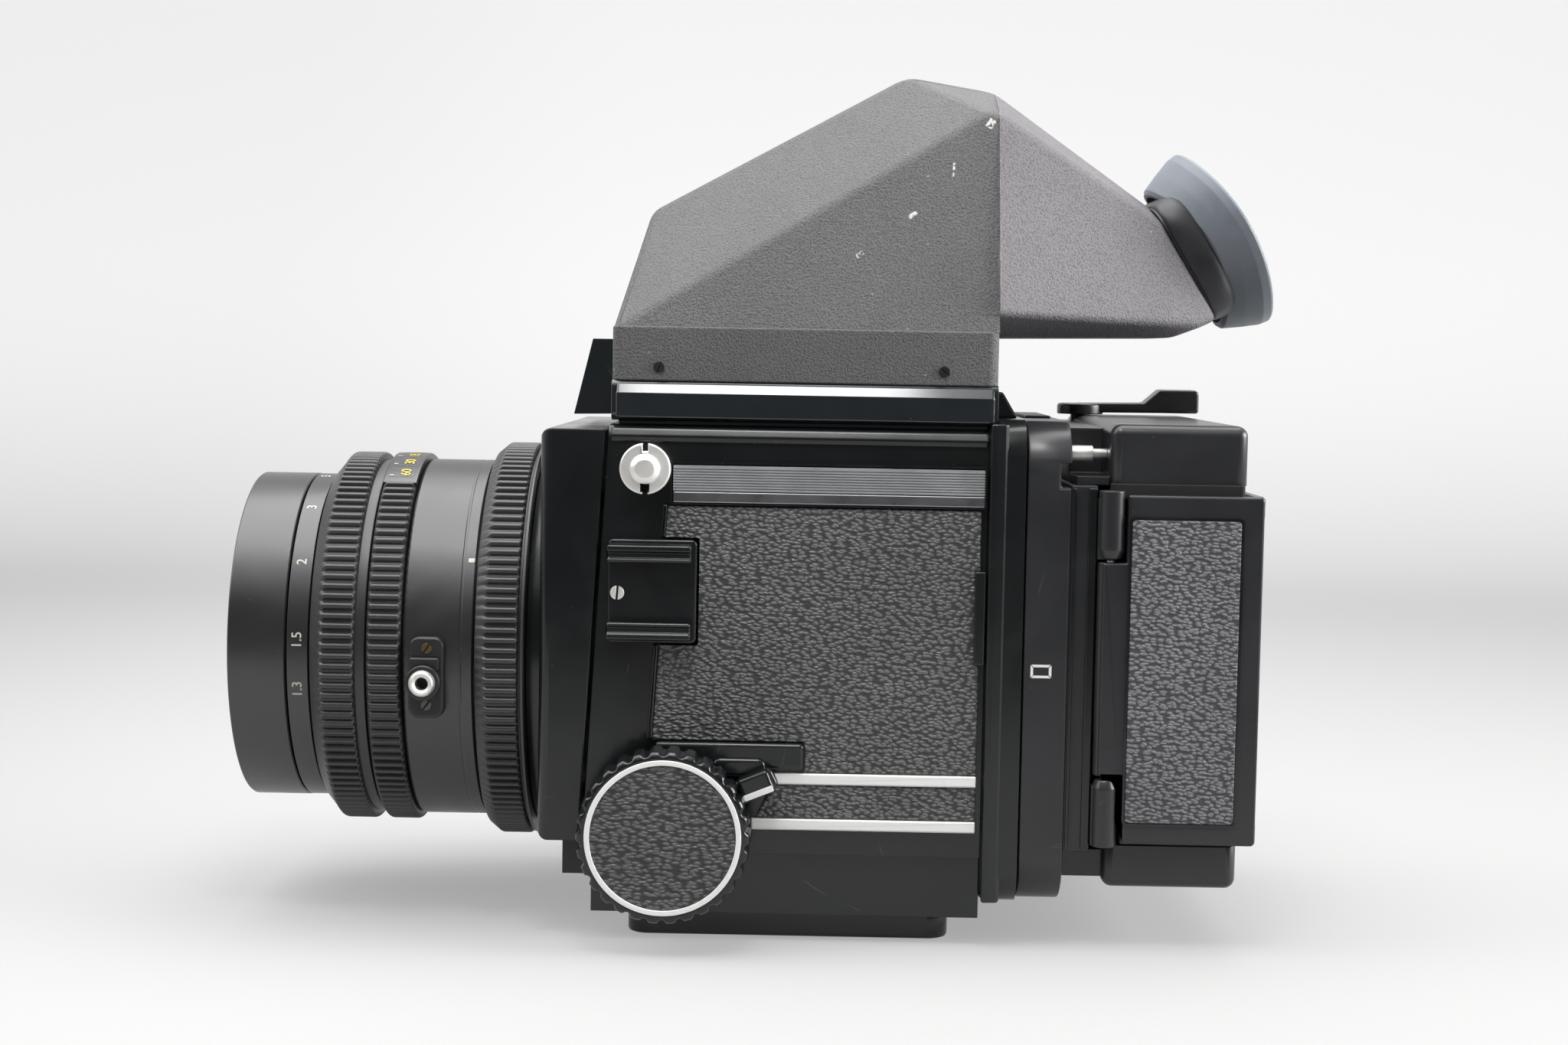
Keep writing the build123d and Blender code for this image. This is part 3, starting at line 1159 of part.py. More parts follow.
def lens_barrel():
    return turned([
        (RIM_REAR_X, INNER_TUBE_R),
        (RIM_REAR_X, DISTANCE_SEAT_R),
        (DISTANCE_RING_REAR_X + FACE_GAP, DISTANCE_SEAT_R),
        (DISTANCE_RING_REAR_X + FACE_GAP, SETTING_SEAT_R),
        (BARREL_FRONT_X, SETTING_SEAT_R),
        (BARREL_FRONT_X, BARREL_R),
        (BARREL_REAR_X, BARREL_R),
        (BARREL_REAR_X, BAYONET_SEAT_R),
        (MOUNT_BOSS_X, BAYONET_SEAT_R),
        (MOUNT_BOSS_X, SPIGOT_R),
        (SPIGOT_REAR_X, SPIGOT_R),
        (SPIGOT_REAR_X, SPIGOT_BORE_R),
        (REAR_SEAT_X, SPIGOT_BORE_R),
        (REAR_SEAT_X, BARREL_BORE_R),
        (DISTANCE_RING_REAR_X, BARREL_BORE_R),
        (DISTANCE_RING_REAR_X, INNER_TUBE_R),
    ])


def distance_ring():
    bore = DISTANCE_SEAT_R + RUN_GAP
    front = RIM_REAR_X + FACE_GAP
    return turned([
        (front, bore),
        (front, RIM_R),
        (DISTANCE_RING_REAR_X, RIM_R),
        (DISTANCE_RING_REAR_X, bore),
    ])


def aperture_ring():
    bore = SETTING_SEAT_R + RUN_GAP
    front = DISTANCE_RING_REAR_X + 2 * FACE_GAP
    shoulder = SETTING_RING_R - RIB_H
    nose = turned([(front, bore), (front, bore + APERTURE_NOSE_T), (APERTURE_RIB_FRONT_X, shoulder),
                   (APERTURE_RIB_FRONT_X, bore)])
    grip = rib_star(APERTURE_RIB_FRONT_X, APERTURE_RIB_REAR_X, SETTING_RING_R)
    tail = rod_x(0, AXIS_Z, shoulder - APERTURE_BAND_STEP, APERTURE_RIB_REAR_X, APERTURE_RING_REAR_X)
    hole = rod_x(0, AXIS_Z, bore, front, APERTURE_RING_REAR_X)
    return grip + tail - hole + nose


def shutter_speed_ring():
    grip = rib_star(SPEED_RING_FRONT_X, SPEED_RING_REAR_X, SETTING_RING_R)
    return grip - rod_x(0, AXIS_Z, SETTING_SEAT_R + RUN_GAP, SPEED_RING_FRONT_X, SPEED_RING_REAR_X)


def bayonet_ring():
    bore = BAYONET_SEAT_R + RUN_GAP
    envelope = turned([
        (BAYONET_RING_FRONT_X, bore),
        (BAYONET_RING_FRONT_X, BAYONET_RING_R - BAYONET_CHAMFER),
        (BAYONET_RING_FRONT_X + BAYONET_CHAMFER, BAYONET_RING_R),
        (BAYONET_RING_REAR_X, BAYONET_RING_R),
        (BAYONET_RING_REAR_X, bore),
    ])
    return rib_star(BAYONET_RING_FRONT_X, BAYONET_RING_REAR_X, BAYONET_RING_R) & envelope


def socket_plate():
    length = SOCKET_PLATE_REAR_X - SOCKET_PLATE_FRONT_X
    height = SOCKET_PLATE_TOP - SOCKET_PLATE_LOW_Z
    outer_y = -BARREL_R - SOCKET_PLATE_PROUD
    plane = Plane(origin=((SOCKET_PLATE_FRONT_X + SOCKET_PLATE_REAR_X) / 2, outer_y,
                          (SOCKET_PLATE_LOW_Z + SOCKET_PLATE_TOP) / 2), x_dir=(1, 0, 0), z_dir=(0, 1, 0))
    depth = SOCKET_PLATE_PROUD + SOCKET_PLATE_SINK
    plate = extrude(plane * RectangleRounded(length, height, SOCKET_PLATE_R), amount=depth)
    plate -= rod_x(0, AXIS_Z, BARREL_R, BARREL_FRONT_X, BARREL_REAR_X)
    return plate


def mirror_up_socket():
    foot = -BARREL_R - SOCKET_PLATE_PROUD
    return (rod_y(SOCKET_X, SOCKET_Z, SOCKET_R, foot - SOCKET_LEN, foot)
            - rod_y(SOCKET_X, SOCKET_Z, SOCKET_BORE_R, foot - SOCKET_LEN, foot - SOCKET_FLOOR_T))


def socket_screws():
    foot = -BARREL_R - SOCKET_PLATE_PROUD
    heads = []
    for z in (SOCKET_PLATE_LOW_Z + SOCKET_SCREW_INSET, SOCKET_PLATE_TOP - SOCKET_SCREW_INSET):
        heads.append(rod_y(SOCKET_SCREW_X, z, SOCKET_SCREW_R, foot - SOCKET_SCREW_T, foot))
    return Part(children=heads)


# Revolving adapter and film back

def revolving_adapter():
    plate = end_plate(ADAPTER_FRONT_X, ADAPTER_REAR_X, 2 * ADAPTER_HALF_W, ADAPTER_LOW_Z, ADAPTER_TOP,
                      ADAPTER_CORNER_R)
    ring_r = BEARING_R - FACE_GAP
    plate += rod_x(0, AXIS_Z, ring_r, SPIGOT_RING_FRONT_X, ADAPTER_FRONT_X)
    plate -= rod_x(0, AXIS_Z, ring_r - SPIGOT_RING_T, SPIGOT_RING_FRONT_X, ADAPTER_FRONT_X)
    plate -= block(ADAPTER_FRONT_X, ADAPTER_REAR_X, -APERTURE_HALF_W, APERTURE_HALF_W,
                   AXIS_Z - APERTURE_HALF_H, AXIS_Z + APERTURE_HALF_H)
    plate -= block(ADAPTER_REAR_X - ADAPTER_NOTCH_DEPTH, ADAPTER_REAR_X, -ADAPTER_HALF_W, ADAPTER_HALF_W,
                   ADAPTER_NOTCH_LOW_Z, ADAPTER_NOTCH_TOP)
    for z in (ADAPTER_TOP - LOCK_SLOT_DEPTH, ADAPTER_LOW_Z):
        plate -= block(LOCK_BAR_FRONT_X - FACE_GAP, LOCK_BAR_REAR_X + FACE_GAP, -LOCK_BAR_HALF_W - JOIN,
                       LOCK_BAR_HALF_W + LOCK_SLIDE + JOIN, z, z + LOCK_SLOT_DEPTH)
    return plate


def lock_bar(low):
    """Sliding lock of the adapter, standing on a height."""
    return block(LOCK_BAR_FRONT_X, LOCK_BAR_REAR_X, -LOCK_BAR_HALF_W, LOCK_BAR_HALF_W, low, low + LOCK_BAR_H)


def adapter_lock_top():
    return lock_bar(ADAPTER_TOP - LOCK_SLOT_DEPTH)


def adapter_lock_bottom():
    return lock_bar(ADAPTER_LOW_Z + LOCK_SLOT_DEPTH - LOCK_BAR_H)


def interlock_pin():
    shoulder = ADAPTER_REAR_X + PIN_LEN
    return (rod_x(PIN_Y, PIN_Z, PIN_R, ADAPTER_REAR_X, shoulder)
            + rod_x(PIN_Y, PIN_Z, PIN_TIP_R, shoulder, BLOCK_FRONT_X))


def film_gate():
    gate = block(GATE_FRONT_X, GATE_REAR_X, -BACK_HALF_W, BACK_HALF_W, GATE_LOW_Z, GATE_TOP)
    gate -= block(GATE_FRONT_X, GATE_REAR_X, -FRAME_HALF_W, FRAME_HALF_W, AXIS_Z - FRAME_HALF_H,
                  AXIS_Z + FRAME_HALF_H)
    half_h = SLIDE_HALF_H + SLIDE_SLOT_GAP
    return gate - block(SLIDE_MID_X - SLIDE_SLOT_T / 2, SLIDE_MID_X + SLIDE_SLOT_T / 2,
                        SLIDE_NEAR_Y - SLIDE_SLOT_GAP, BACK_HALF_W, AXIS_Z - half_h, AXIS_Z + half_h)


def back_top_block():
    top = block(BLOCK_FRONT_X, BLOCK_REAR_X, -BLOCK_HALF_W, BLOCK_HALF_W, TOP_BLOCK_LOW_Z, TOP_BLOCK_TOP)
    top = fillet(top.edges().group_by(Axis.Z)[-1] + top.edges().filter_by(Axis.Z), BLOCK_EDGE_R)
    top += block(SHELF_FRONT_X, BLOCK_FRONT_X, -BLOCK_HALF_W + SHELF_INSET, BLOCK_HALF_W - SHELF_INSET,
                 GATE_TOP, SHELF_TOP)
    top += block(SHELF_FRONT_X, BLOCK_FRONT_X + BLOCK_EDGE_R, CORE_LOW_Y, CORE_HIGH_Y, SHELF_TOP, CORE_TOP)
    bore_floor = TOP_BLOCK_TOP - ADVANCE_SHAFT_LEN - JOIN
    return top - rod_z(ADVANCE_X, ADVANCE_Y, ADVANCE_SHAFT_R + PIVOT_GAP, bore_floor, TOP_BLOCK_TOP)


def back_bottom_block():
    low = block(BOTTOM_BLOCK_FRONT_X, BLOCK_REAR_X, -BLOCK_HALF_W, BLOCK_HALF_W, BOTTOM_BLOCK_LOW_Z,
                BOTTOM_BLOCK_TOP)
    low = fillet(low.edges().group_by(Axis.Z)[0] + low.edges().filter_by(Axis.Z), BLOCK_EDGE_R)
    half = BLOCK_HALF_W - BRACKET_INSET
    return low + block(GATE_FRONT_X, BOTTOM_BLOCK_FRONT_X, -half, half, BRACKET_LOW_Z, BRACKET_TOP)


def back_side_wall():
    return block(GATE_REAR_X, CARRIER_REAR_X, BACK_HALF_W - SIDE_WALL_T, BACK_HALF_W,
                 BOTTOM_BLOCK_TOP, DOOR_TOP)


def spool_carrier(low, high, pin_base, pin_end):
    half = BACK_HALF_W - SIDE_WALL_T
    carrier = block(GATE_REAR_X, CARRIER_REAR_X, -half, half, low, high)
    for y in (-SPOOL_Y, SPOOL_Y):
        carrier += rod_z(SPOOL_X, y, SPOOL_PIN_R, min(pin_base, pin_end), max(pin_base, pin_end))
    return carrier


def spool_carriers():
    reach = SPOOL_END_GAP + SPOOL_PIN_LEN
    low = spool_carrier(CARRIER_LOW_Z - CARRIER_T, CARRIER_LOW_Z, CARRIER_LOW_Z, CARRIER_LOW_Z + reach)
    high = spool_carrier(CARRIER_HIGH_Z, CARRIER_HIGH_Z + CARRIER_T, CARRIER_HIGH_Z, CARRIER_HIGH_Z - reach)
    return Part(children=[low, high])


def takeup_spool():
    low = AXIS_Z - SPOOL_LEN / 2
    high = AXIS_Z + SPOOL_LEN / 2
    spool = rod_z(SPOOL_X, SPOOL_Y, SPOOL_CORE_R, low, high)
    spool += rod_z(SPOOL_X, SPOOL_Y, SPOOL_FLANGE_R, low, low + SPOOL_FLANGE_T)
    spool += rod_z(SPOOL_X, SPOOL_Y, SPOOL_FLANGE_R, high - SPOOL_FLANGE_T, high)
    depth = SPOOL_PIN_LEN + SPOOL_PIN_END_GAP
    spool -= rod_z(SPOOL_X, SPOOL_Y, SPOOL_BORE_R, low, low + depth)
    return spool - rod_z(SPOOL_X, SPOOL_Y, SPOOL_BORE_R, high - depth, high)


def pressure_plate():
    front = GATE_REAR_X + PRESSURE_GAP
    return block(front, front + PRESSURE_T, -PRESSURE_HALF_W, PRESSURE_HALF_W, CARRIER_LOW_Z, CARRIER_HIGH_Z)


def hinge_pills():
    """Two fixed hinge barrels with the pin between them, on feet against the gate plate."""
    pills = rod_z(HINGE_X, HINGE_Y, HINGE_PIN_R, PILLS_LOW_Z + PILL_LEN - JOIN, PILLS_TOP - PILL_LEN + JOIN)
    for z0, z1 in ((PILLS_LOW_Z, PILLS_LOW_Z + PILL_LEN), (PILLS_TOP - PILL_LEN, PILLS_TOP)):
        pills += rod_z(HINGE_X, HINGE_Y, HINGE_R, z0, z1)
        pills += block(GATE_REAR_X, HINGE_X, HINGE_Y - PILL_FOOT_T / 2, -BACK_HALF_W + SIDE_WALL_T, z0, z1)
    return pills


def back_door():
    low = DOOR_LOW_Z
    side = block(DOOR_FRONT_X, DOOR_REAR_X, DOOR_OUTER_Y, DOOR_OUTER_Y + DOOR_SKIN, low, DOOR_TOP)
    rear = block(DOOR_REAR_X - DOOR_SKIN, DOOR_REAR_X, DOOR_OUTER_Y, DOOR_FAR_Y, low, DOOR_TOP)
    door = side + rear
    corner = door.edges().filter_by(Axis.Z).sort_by_distance((DOOR_REAR_X, DOOR_OUTER_Y, AXIS_Z))[0]
    door = fillet(corner, DOOR_EDGE_R)
    knuckle_low = PILLS_LOW_Z + PILL_LEN + FACE_GAP
    knuckle_high = PILLS_TOP - PILL_LEN - FACE_GAP
    door += block(HINGE_X, DOOR_FRONT_X, DOOR_OUTER_Y, DOOR_OUTER_Y + DOOR_SKIN, knuckle_low, knuckle_high)
    door += rod_z(HINGE_X, HINGE_Y, HINGE_R, knuckle_low, knuckle_high)
    return door - rod_z(HINGE_X, HINGE_Y, HINGE_PIN_R + PIVOT_GAP, knuckle_low, knuckle_high)


def door_leather():
    side = block(DOOR_LEATHER_FRONT_X, DOOR_LEATHER_REAR_X, DOOR_OUTER_Y - DOOR_LEATHER_T, DOOR_OUTER_Y,
                 DOOR_LEATHER_LOW_Z, DOOR_LEATHER_TOP)
    rear = block(DOOR_REAR_X, DOOR_REAR_X + DOOR_LEATHER_T, DOOR_OUTER_Y + DOOR_LEATHER_MARGIN,
                 DOOR_FAR_Y - DOOR_LEATHER_MARGIN, DOOR_LEATHER_LOW_Z, DOOR_LEATHER_TOP)
    return Part(children=[side, rear])


def dark_slide():
    sheet = block(SLIDE_MID_X - SLIDE_T / 2, SLIDE_MID_X + SLIDE_T / 2, SLIDE_NEAR_Y, BACK_HALF_W + FACE_GAP,
                  AXIS_Z - SLIDE_HALF_H, AXIS_Z + SLIDE_HALF_H)
    start = BACK_HALF_W + FACE_GAP
    handle = block(SLIDE_MID_X - SLIDE_HANDLE_W / 2, SLIDE_MID_X + SLIDE_HANDLE_W / 2, start,
                   start + SLIDE_HANDLE_LEN, AXIS_Z - SLIDE_HANDLE_HALF_H, AXIS_Z + SLIDE_HANDLE_HALF_H)
    return sheet + handle


def advance_lever():
    low = TOP_BLOCK_TOP + ADVANCE_LIFT
    hub_top = low + ADVANCE_HUB_T
    lever = side_slab([
        (ADVANCE_X, low),
        (ADVANCE_X, hub_top),
        (ADVANCE_GRIP_X - ADVANCE_GRIP_STEP, ADVANCE_BLADE_TOP),
        (ADVANCE_GRIP_X, ADVANCE_GRIP_TOP),
        (ADVANCE_TIP_X, ADVANCE_GRIP_TOP),
        (ADVANCE_TIP_X, low + ADVANCE_GRIP_LOW),
        (ADVANCE_GRIP_X, low + ADVANCE_GRIP_LOW),
        (ADVANCE_X + ADVANCE_HUB_R, low + ADVANCE_BLADE_LOW),
    ], ADVANCE_Y - ADVANCE_HALF_W, ADVANCE_Y + ADVANCE_HALF_W)
    lever += rod_z(ADVANCE_X, ADVANCE_Y, ADVANCE_HUB_R, low, hub_top)
    return lever + rod_z(ADVANCE_X, ADVANCE_Y, ADVANCE_SHAFT_R, TOP_BLOCK_TOP - ADVANCE_SHAFT_LEN, low)


PIECES = {
    "body_casting": body_casting,
    "rear_frame": rear_frame,
    "base_foot": base_foot,
    "tripod_bush": tripod_bush,
    "side_leather_left": side_leather_left,
    "side_leather_right": side_leather_right,
    "nameplates": lambda: both_sides(nameplate),
    "white_stripes": lambda: both_sides(white_stripes),
    "side_trim_bar": side_trim_bar,
    "accessory_shoe": accessory_shoe,
    "cover_screws": cover_screws,
    "strap_lugs": lambda: both_sides(strap_lug),
    "focusing_screen": focusing_screen,
    "finder_base": finder_base,
    "finder_housing": finder_housing,
    "finder_prism": finder_prism,
    "eyepiece_lens": eyepiece_lens,
    "eyecup": eyecup,
    "finder_catch": finder_catch,
    "bellows": bellows,
    "front_standard": front_standard,
    "focus_racks": lambda: both_sides(focus_rack),
    "focus_shaft": focus_shaft,
    "focus_knob_left": focus_knob_left,
    "focus_knob_right": focus_knob_right,
    "knob_white_rings": lambda: both_sides(knob_white_ring),
    "knob_leather_discs": lambda: both_sides(knob_leather_disc),
    "focus_lock_lever": focus_lock_lever,
    "cocking_lever": cocking_lever,
    "release_button": release_button,
    "mirror_frame": mirror_frame,
    "mirror_glass": mirror_glass,
    "front_barrel": front_barrel,
    "front_glass": front_glass,
    "rear_glass": rear_glass,
    "shutter_unit": shutter_unit,
    "lens_barrel": lens_barrel,
    "distance_ring": distance_ring,
    "aperture_ring": aperture_ring,
    "shutter_speed_ring": shutter_speed_ring,
    "bayonet_ring": bayonet_ring,
    "socket_plate": socket_plate,
    "mirror_up_socket": mirror_up_socket,
    "socket_screws": socket_screws,
    "revolving_adapter": revolving_adapter,
    "adapter_lock_top": adapter_lock_top,
    "adapter_lock_bottom": adapter_lock_bottom,
    "interlock_pin": interlock_pin,
    "film_gate": film_gate,
    "back_top_block": back_top_block,
    "back_bottom_block": back_bottom_block,
    "back_side_wall": back_side_wall,
    "spool_carriers": spool_carriers,
    "takeup_spool": takeup_spool,
    "pressure_plate": pressure_plate,
    "hinge_pills": hinge_pills,
    "back_door": back_door,
    "door_leather": door_leather,
    "dark_slide": dark_slide,
    "advance_lever": advance_lever,
}

os.makedirs("parts", exist_ok=True)
for name, make in PIECES.items():
    export_step(make(), f"parts/{name}.step")
print(len(PIECES), "pieces written")
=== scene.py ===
"""Looks of a medium format film camera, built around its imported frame.

Lengths are in millimetres while a mesh is shaped, and in metres once it is an object. X runs along the
optical axis from the lens to the film back, -Y is the camera's left side and +Z is up.
"""

import logging
import math
from collections.abc import Callable, Iterable, Sequence
from dataclasses import dataclass
from enum import Enum

import bmesh
import bpy
from mathutils import Matrix, Vector


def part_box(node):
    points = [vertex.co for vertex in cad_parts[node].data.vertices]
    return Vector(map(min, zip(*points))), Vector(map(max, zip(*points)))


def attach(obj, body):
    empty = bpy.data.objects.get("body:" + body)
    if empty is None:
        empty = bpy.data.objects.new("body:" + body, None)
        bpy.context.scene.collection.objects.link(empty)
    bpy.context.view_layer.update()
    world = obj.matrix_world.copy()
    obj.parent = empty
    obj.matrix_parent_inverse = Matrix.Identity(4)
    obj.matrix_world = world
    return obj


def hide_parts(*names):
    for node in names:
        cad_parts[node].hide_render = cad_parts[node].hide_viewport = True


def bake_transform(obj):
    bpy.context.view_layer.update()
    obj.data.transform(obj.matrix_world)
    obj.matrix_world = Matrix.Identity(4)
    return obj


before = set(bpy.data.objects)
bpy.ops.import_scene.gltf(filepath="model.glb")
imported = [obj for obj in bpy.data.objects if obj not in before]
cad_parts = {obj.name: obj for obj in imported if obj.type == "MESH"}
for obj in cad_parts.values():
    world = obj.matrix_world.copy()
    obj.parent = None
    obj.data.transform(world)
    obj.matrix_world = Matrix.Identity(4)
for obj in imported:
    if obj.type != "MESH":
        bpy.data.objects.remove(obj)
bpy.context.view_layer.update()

log = logging.getLogger("camera")

MM = 0.001
AXIS_Z = 65.0

Point = tuple[float, float]
Corner = tuple[float, float, float]
Colour = tuple[float, float, float]
Cut = tuple[Vector, Vector]
Geometry = tuple[list[Vector], list[list[int]]]
Socket = bpy.types.NodeSocket


class Plane(Enum):
    """Plane that an outline is drawn in. The depth runs along the axis that is left."""

    SIDE = "x and z"
    TOP = "x and y"
    END = "y and z"

    def at(self, u: float, v: float, depth: float) -> Vector:
        """Place of an outline's point at a depth.

        Args:
            u: first coordinate in the plane.
            v: second coordinate in the plane.
            depth: place along the axis that is left.

        Returns:
            The place.
        """
        if self is Plane.SIDE:
            return Vector((u, depth, v))
        if self is Plane.TOP:
            return Vector((u, v, depth))
        return Vector((depth, u, v))


@dataclass(frozen=True)
class Spindle:
    """A turning axis: a point on it, its direction, and where its angle zero points."""

    origin: Vector
    along: Vector
    zero: Vector

    def at(self, station: float, radius: float, angle: float) -> Vector:
        """Place at a station along the axis, a radius and an angle in radians.

        Args:
            station: distance from the origin along the axis.
            radius: distance from the axis.
            angle: turn from the zero direction.

        Returns:
            The place, in millimetres.
        """
        side = self.along.cross(self.zero)
        out = self.zero * math.cos(angle) + side * math.sin(angle)
        return self.origin + self.along * station + out * radius


LENS = Spindle(Vector((0, 0, AXIS_Z)), Vector((1, 0, 0)), Vector((0, -1, 0)))


# Outlines and solids


def rounded(corners: Iterable[Corner], steps: int = 5) -> list[Point]:
    """Closed outline with an arc at each corner.

    Args:
        corners: u, v and radius of each corner, in order.
        steps: straight pieces in each arc.

    Returns:
        The outline's points.
    """
    given = list(corners)
    points: list[Point] = []
    same_point = 1e-4

    def put(u: float, v: float) -> None:
        """Add a point unless it repeats the last one."""
        if not points or math.dist(points[-1], (u, v)) > same_point:
            points.append((u, v))

    for index, (u, v, radius) in enumerate(given):
        corner = Vector((u, v))
        if radius <= 0:
            put(u, v)
            continue
        before = (Vector(given[index - 1][:2]) - corner).normalized()
        after = (Vector(given[(index + 1) % len(given)][:2]) - corner).normalized()
        half = before.angle(after) / 2
        centre = corner + (before + after).normalized() * (radius / math.sin(half))
        start = corner + before * (radius / math.tan(half)) - centre
        end = corner + after * (radius / math.tan(half)) - centre
        first = math.atan2(start.y, start.x)
        sweep = (math.atan2(end.y, end.x) - first + math.pi) % math.tau - math.pi
        for step in range(steps + 1):
            angle = first + sweep * step / steps
            put(centre.x + radius * math.cos(angle), centre.y + radius * math.sin(angle))
    return points


def rectangle(u0: float, u1: float, v0: float, v1: float, radius: float = 0.0) -> list[Corner]:
    """Four corners of a rectangle, counter-clockwise, all with one radius."""
    return [(u0, v0, radius), (u1, v0, radius), (u1, v1, radius), (u0, v1, radius)]


def shrunk(points: Sequence[Point], distance: float) -> list[Point]:
    """Closed outline moved inwards, whichever way round it runs.

    Args:
        points: the outline.
        distance: how far each side moves.

    Returns:
        The moved outline.
    """
    least_mitre = 0.3
    count = len(points)
    area = sum(points[i - 1][0] * points[i][1] - points[i][0] * points[i - 1][1] for i in range(count))
    turn = 1.0 if area > 0 else -1.0
    moved: list[Point] = []
    for index in range(count):
        here = Vector(points[index])
        before = (here - Vector(points[index - 1])).normalized()
        after = (Vector(points[(index + 1) % count]) - here).normalized()
        normal_a = Vector((-before.y, before.x)) * turn
        normal_b = Vector((-after.y, after.x)) * turn
        mitre = (normal_a + normal_b) / max(1.0 + normal_a.dot(normal_b), least_mitre)
        moved.append(tuple(here + mitre * distance))
    return moved


def loft(rings: Sequence[Sequence[Vector]], looped: bool = False) -> Geometry:
    """Skin over closed rings of equal point counts.

    Args:
        rings: the rings, in order.
        looped: whether the last ring joins the first one. The end rings are closed otherwise.

    Returns:
        Points and faces.
    """
    count = len(rings[0])
    points = [point for ring in rings for point in ring]
    faces: list[list[int]] = []
    for row in range(len(rings) if looped else len(rings) - 1):
        this, that = row * count, (row + 1) % len(rings) * count
        for index in range(count):
            after = (index + 1) % count
            faces.append([this + index, this + after, that + after, that + index])
    if not looped:
        faces.append(list(reversed(range(count))))
        faces.append([(len(rings) - 1) * count + index for index in range(count)])
    return points, faces


def prism(plane: Plane, corners: Iterable[Corner], low: float, high: float, edge: float = 0.3,
          low_edge: float | None = None, steps: int = 5) -> Geometry:
    """Outline drawn out between two depths, with its rims rounded.

    Args:
        plane: plane of the outline.
        corners: u, v and radius of each corner.
        low: first depth.
        high: second depth.
        edge: radius of the rim at the second depth.
        low_edge: radius of the rim at the first depth, or None for the same.
        steps: straight pieces in each corner's arc.

    Returns:
        Points and faces.
    """
    outline = rounded(corners, steps)
    stations = [(low + rise, inset) for rise, inset in rim_arc(edge if low_edge is None else low_edge)]
    stations += [(high - rise, inset) for rise, inset in reversed(rim_arc(edge))]
    rings = [[plane.at(u, v, depth) for u, v in shrunk(outline, inset)] for depth, inset in stations]
    return loft(rings)


def rim_arc(radius: float) -> list[Point]:
    """Quarter round from the flat face to the wall.

    Args:
        radius: its radius.

    Returns:
        Rise and inset of each point.
    """
    if radius <= 0:
        return [(0.0, 0.0)]
    steps = 3
    angles = [math.pi / 2 * step / steps for step in range(steps + 1)]
    return [(radius * (1 - math.cos(angle)), radius * (1 - math.sin(angle))) for angle in angles]


def lathe(spindle: Spindle, profile: Sequence[Corner], steps: int = 128,
          relief: Callable[[float], float] | None = None) -> Geometry:
    """Closed half profile turned round a spindle.

    Args:
        spindle: the turning axis.
        profile: station, radius and share of the relief for each point.
        steps: steps round the axis.
        relief: height added to the radius at an angle, times each point's share.

    Returns:
        Points and faces.
    """
    rings = []
    for step in range(steps):
        angle = math.tau * step / steps
        lift = relief(angle) if relief else 0.0
        rings.append([spindle.at(station, radius + share * lift, angle)
                      for station, radius, share in profile])
    return loft(rings, looped=True)


def turned(spindle: Spindle, corners: Iterable[Corner], steps: int = 128) -> Geometry:
    """Closed half profile with rounded corners, turned round a spindle."""
    return lathe(spindle, [(u, v, 0.0) for u, v in rounded(corners, 3)], steps)


def bisect(bm: bmesh.types.BMesh, planes: Iterable[Cut]) -> None:
    """Cut a solid back to each plane, and close it.

    Args:
        bm: the solid.
        planes: a point and an outward normal for each cut.
    """
    for point, normal in planes:
        geometry = bm.verts[:] + bm.edges[:] + bm.faces[:]
        cut = bmesh.ops.bisect_plane(bm, geom=geometry, plane_co=point, plane_no=normal, clear_outer=True)
        edges = [item for item in cut["geom_cut"] if isinstance(item, bmesh.types.BMEdge)]
        if edges:
            bmesh.ops.edgeloop_fill(bm, edges=edges)


def convex(planes: Iterable[Cut], reach: float, bevel: float, trims: Iterable[Cut] = ()) -> Geometry:
    """Convex solid cut out of a large cube by planes, with its edges rounded.

    Args:
        planes: a point and an outward normal for each cut.
        reach: half the cube's side.
        bevel: radius of the edges.
        trims: cuts made after the rounding, which stay sharp.

    Returns:
        Points and faces.
    """
    round_from = math.radians(14)
    flat_below = math.radians(1)
    bm = bmesh.new()
    bmesh.ops.create_cube(bm, size=2 * reach)
    bisect(bm, planes)
    bmesh.ops.dissolve_limit(bm, angle_limit=flat_below, verts=bm.verts[:], edges=bm.edges[:])
    edges = [edge for edge in bm.edges if edge.calc_face_angle(0.0) > round_from]
    bmesh.ops.bevel(bm, geom=edges, offset=bevel, segments=3, profile=0.5, affect="EDGES")
    bisect(bm, trims)
    bm.verts.index_update()
    made = [vert.co.copy() for vert in bm.verts], [[vert.index for vert in face.verts] for face in bm.faces]
    bm.free()
    return made


def profile_cuts(outline: Sequence[Point]) -> list[Cut]:
    """Cutting planes along a closed outline.

    Args:
        outline: points in X and Z, clockwise from the low front corner.

    Returns:
        A cut for each side.
    """
    sides = zip(outline, [*outline[1:], outline[0]])
    return [(Vector((x0, 0, z0)), Vector((z0 - z1, 0, x1 - x0)).normalized()) for (x0, z0), (x1, z1) in sides]


def through(a: Vector, b: Vector, c: Vector, outward: Vector) -> Cut:
    """Cutting plane through three points, with its normal on the outward side."""
    normal = (b - a).cross(c - a).normalized()
    return a, normal if normal.dot(outward) > 0 else -normal


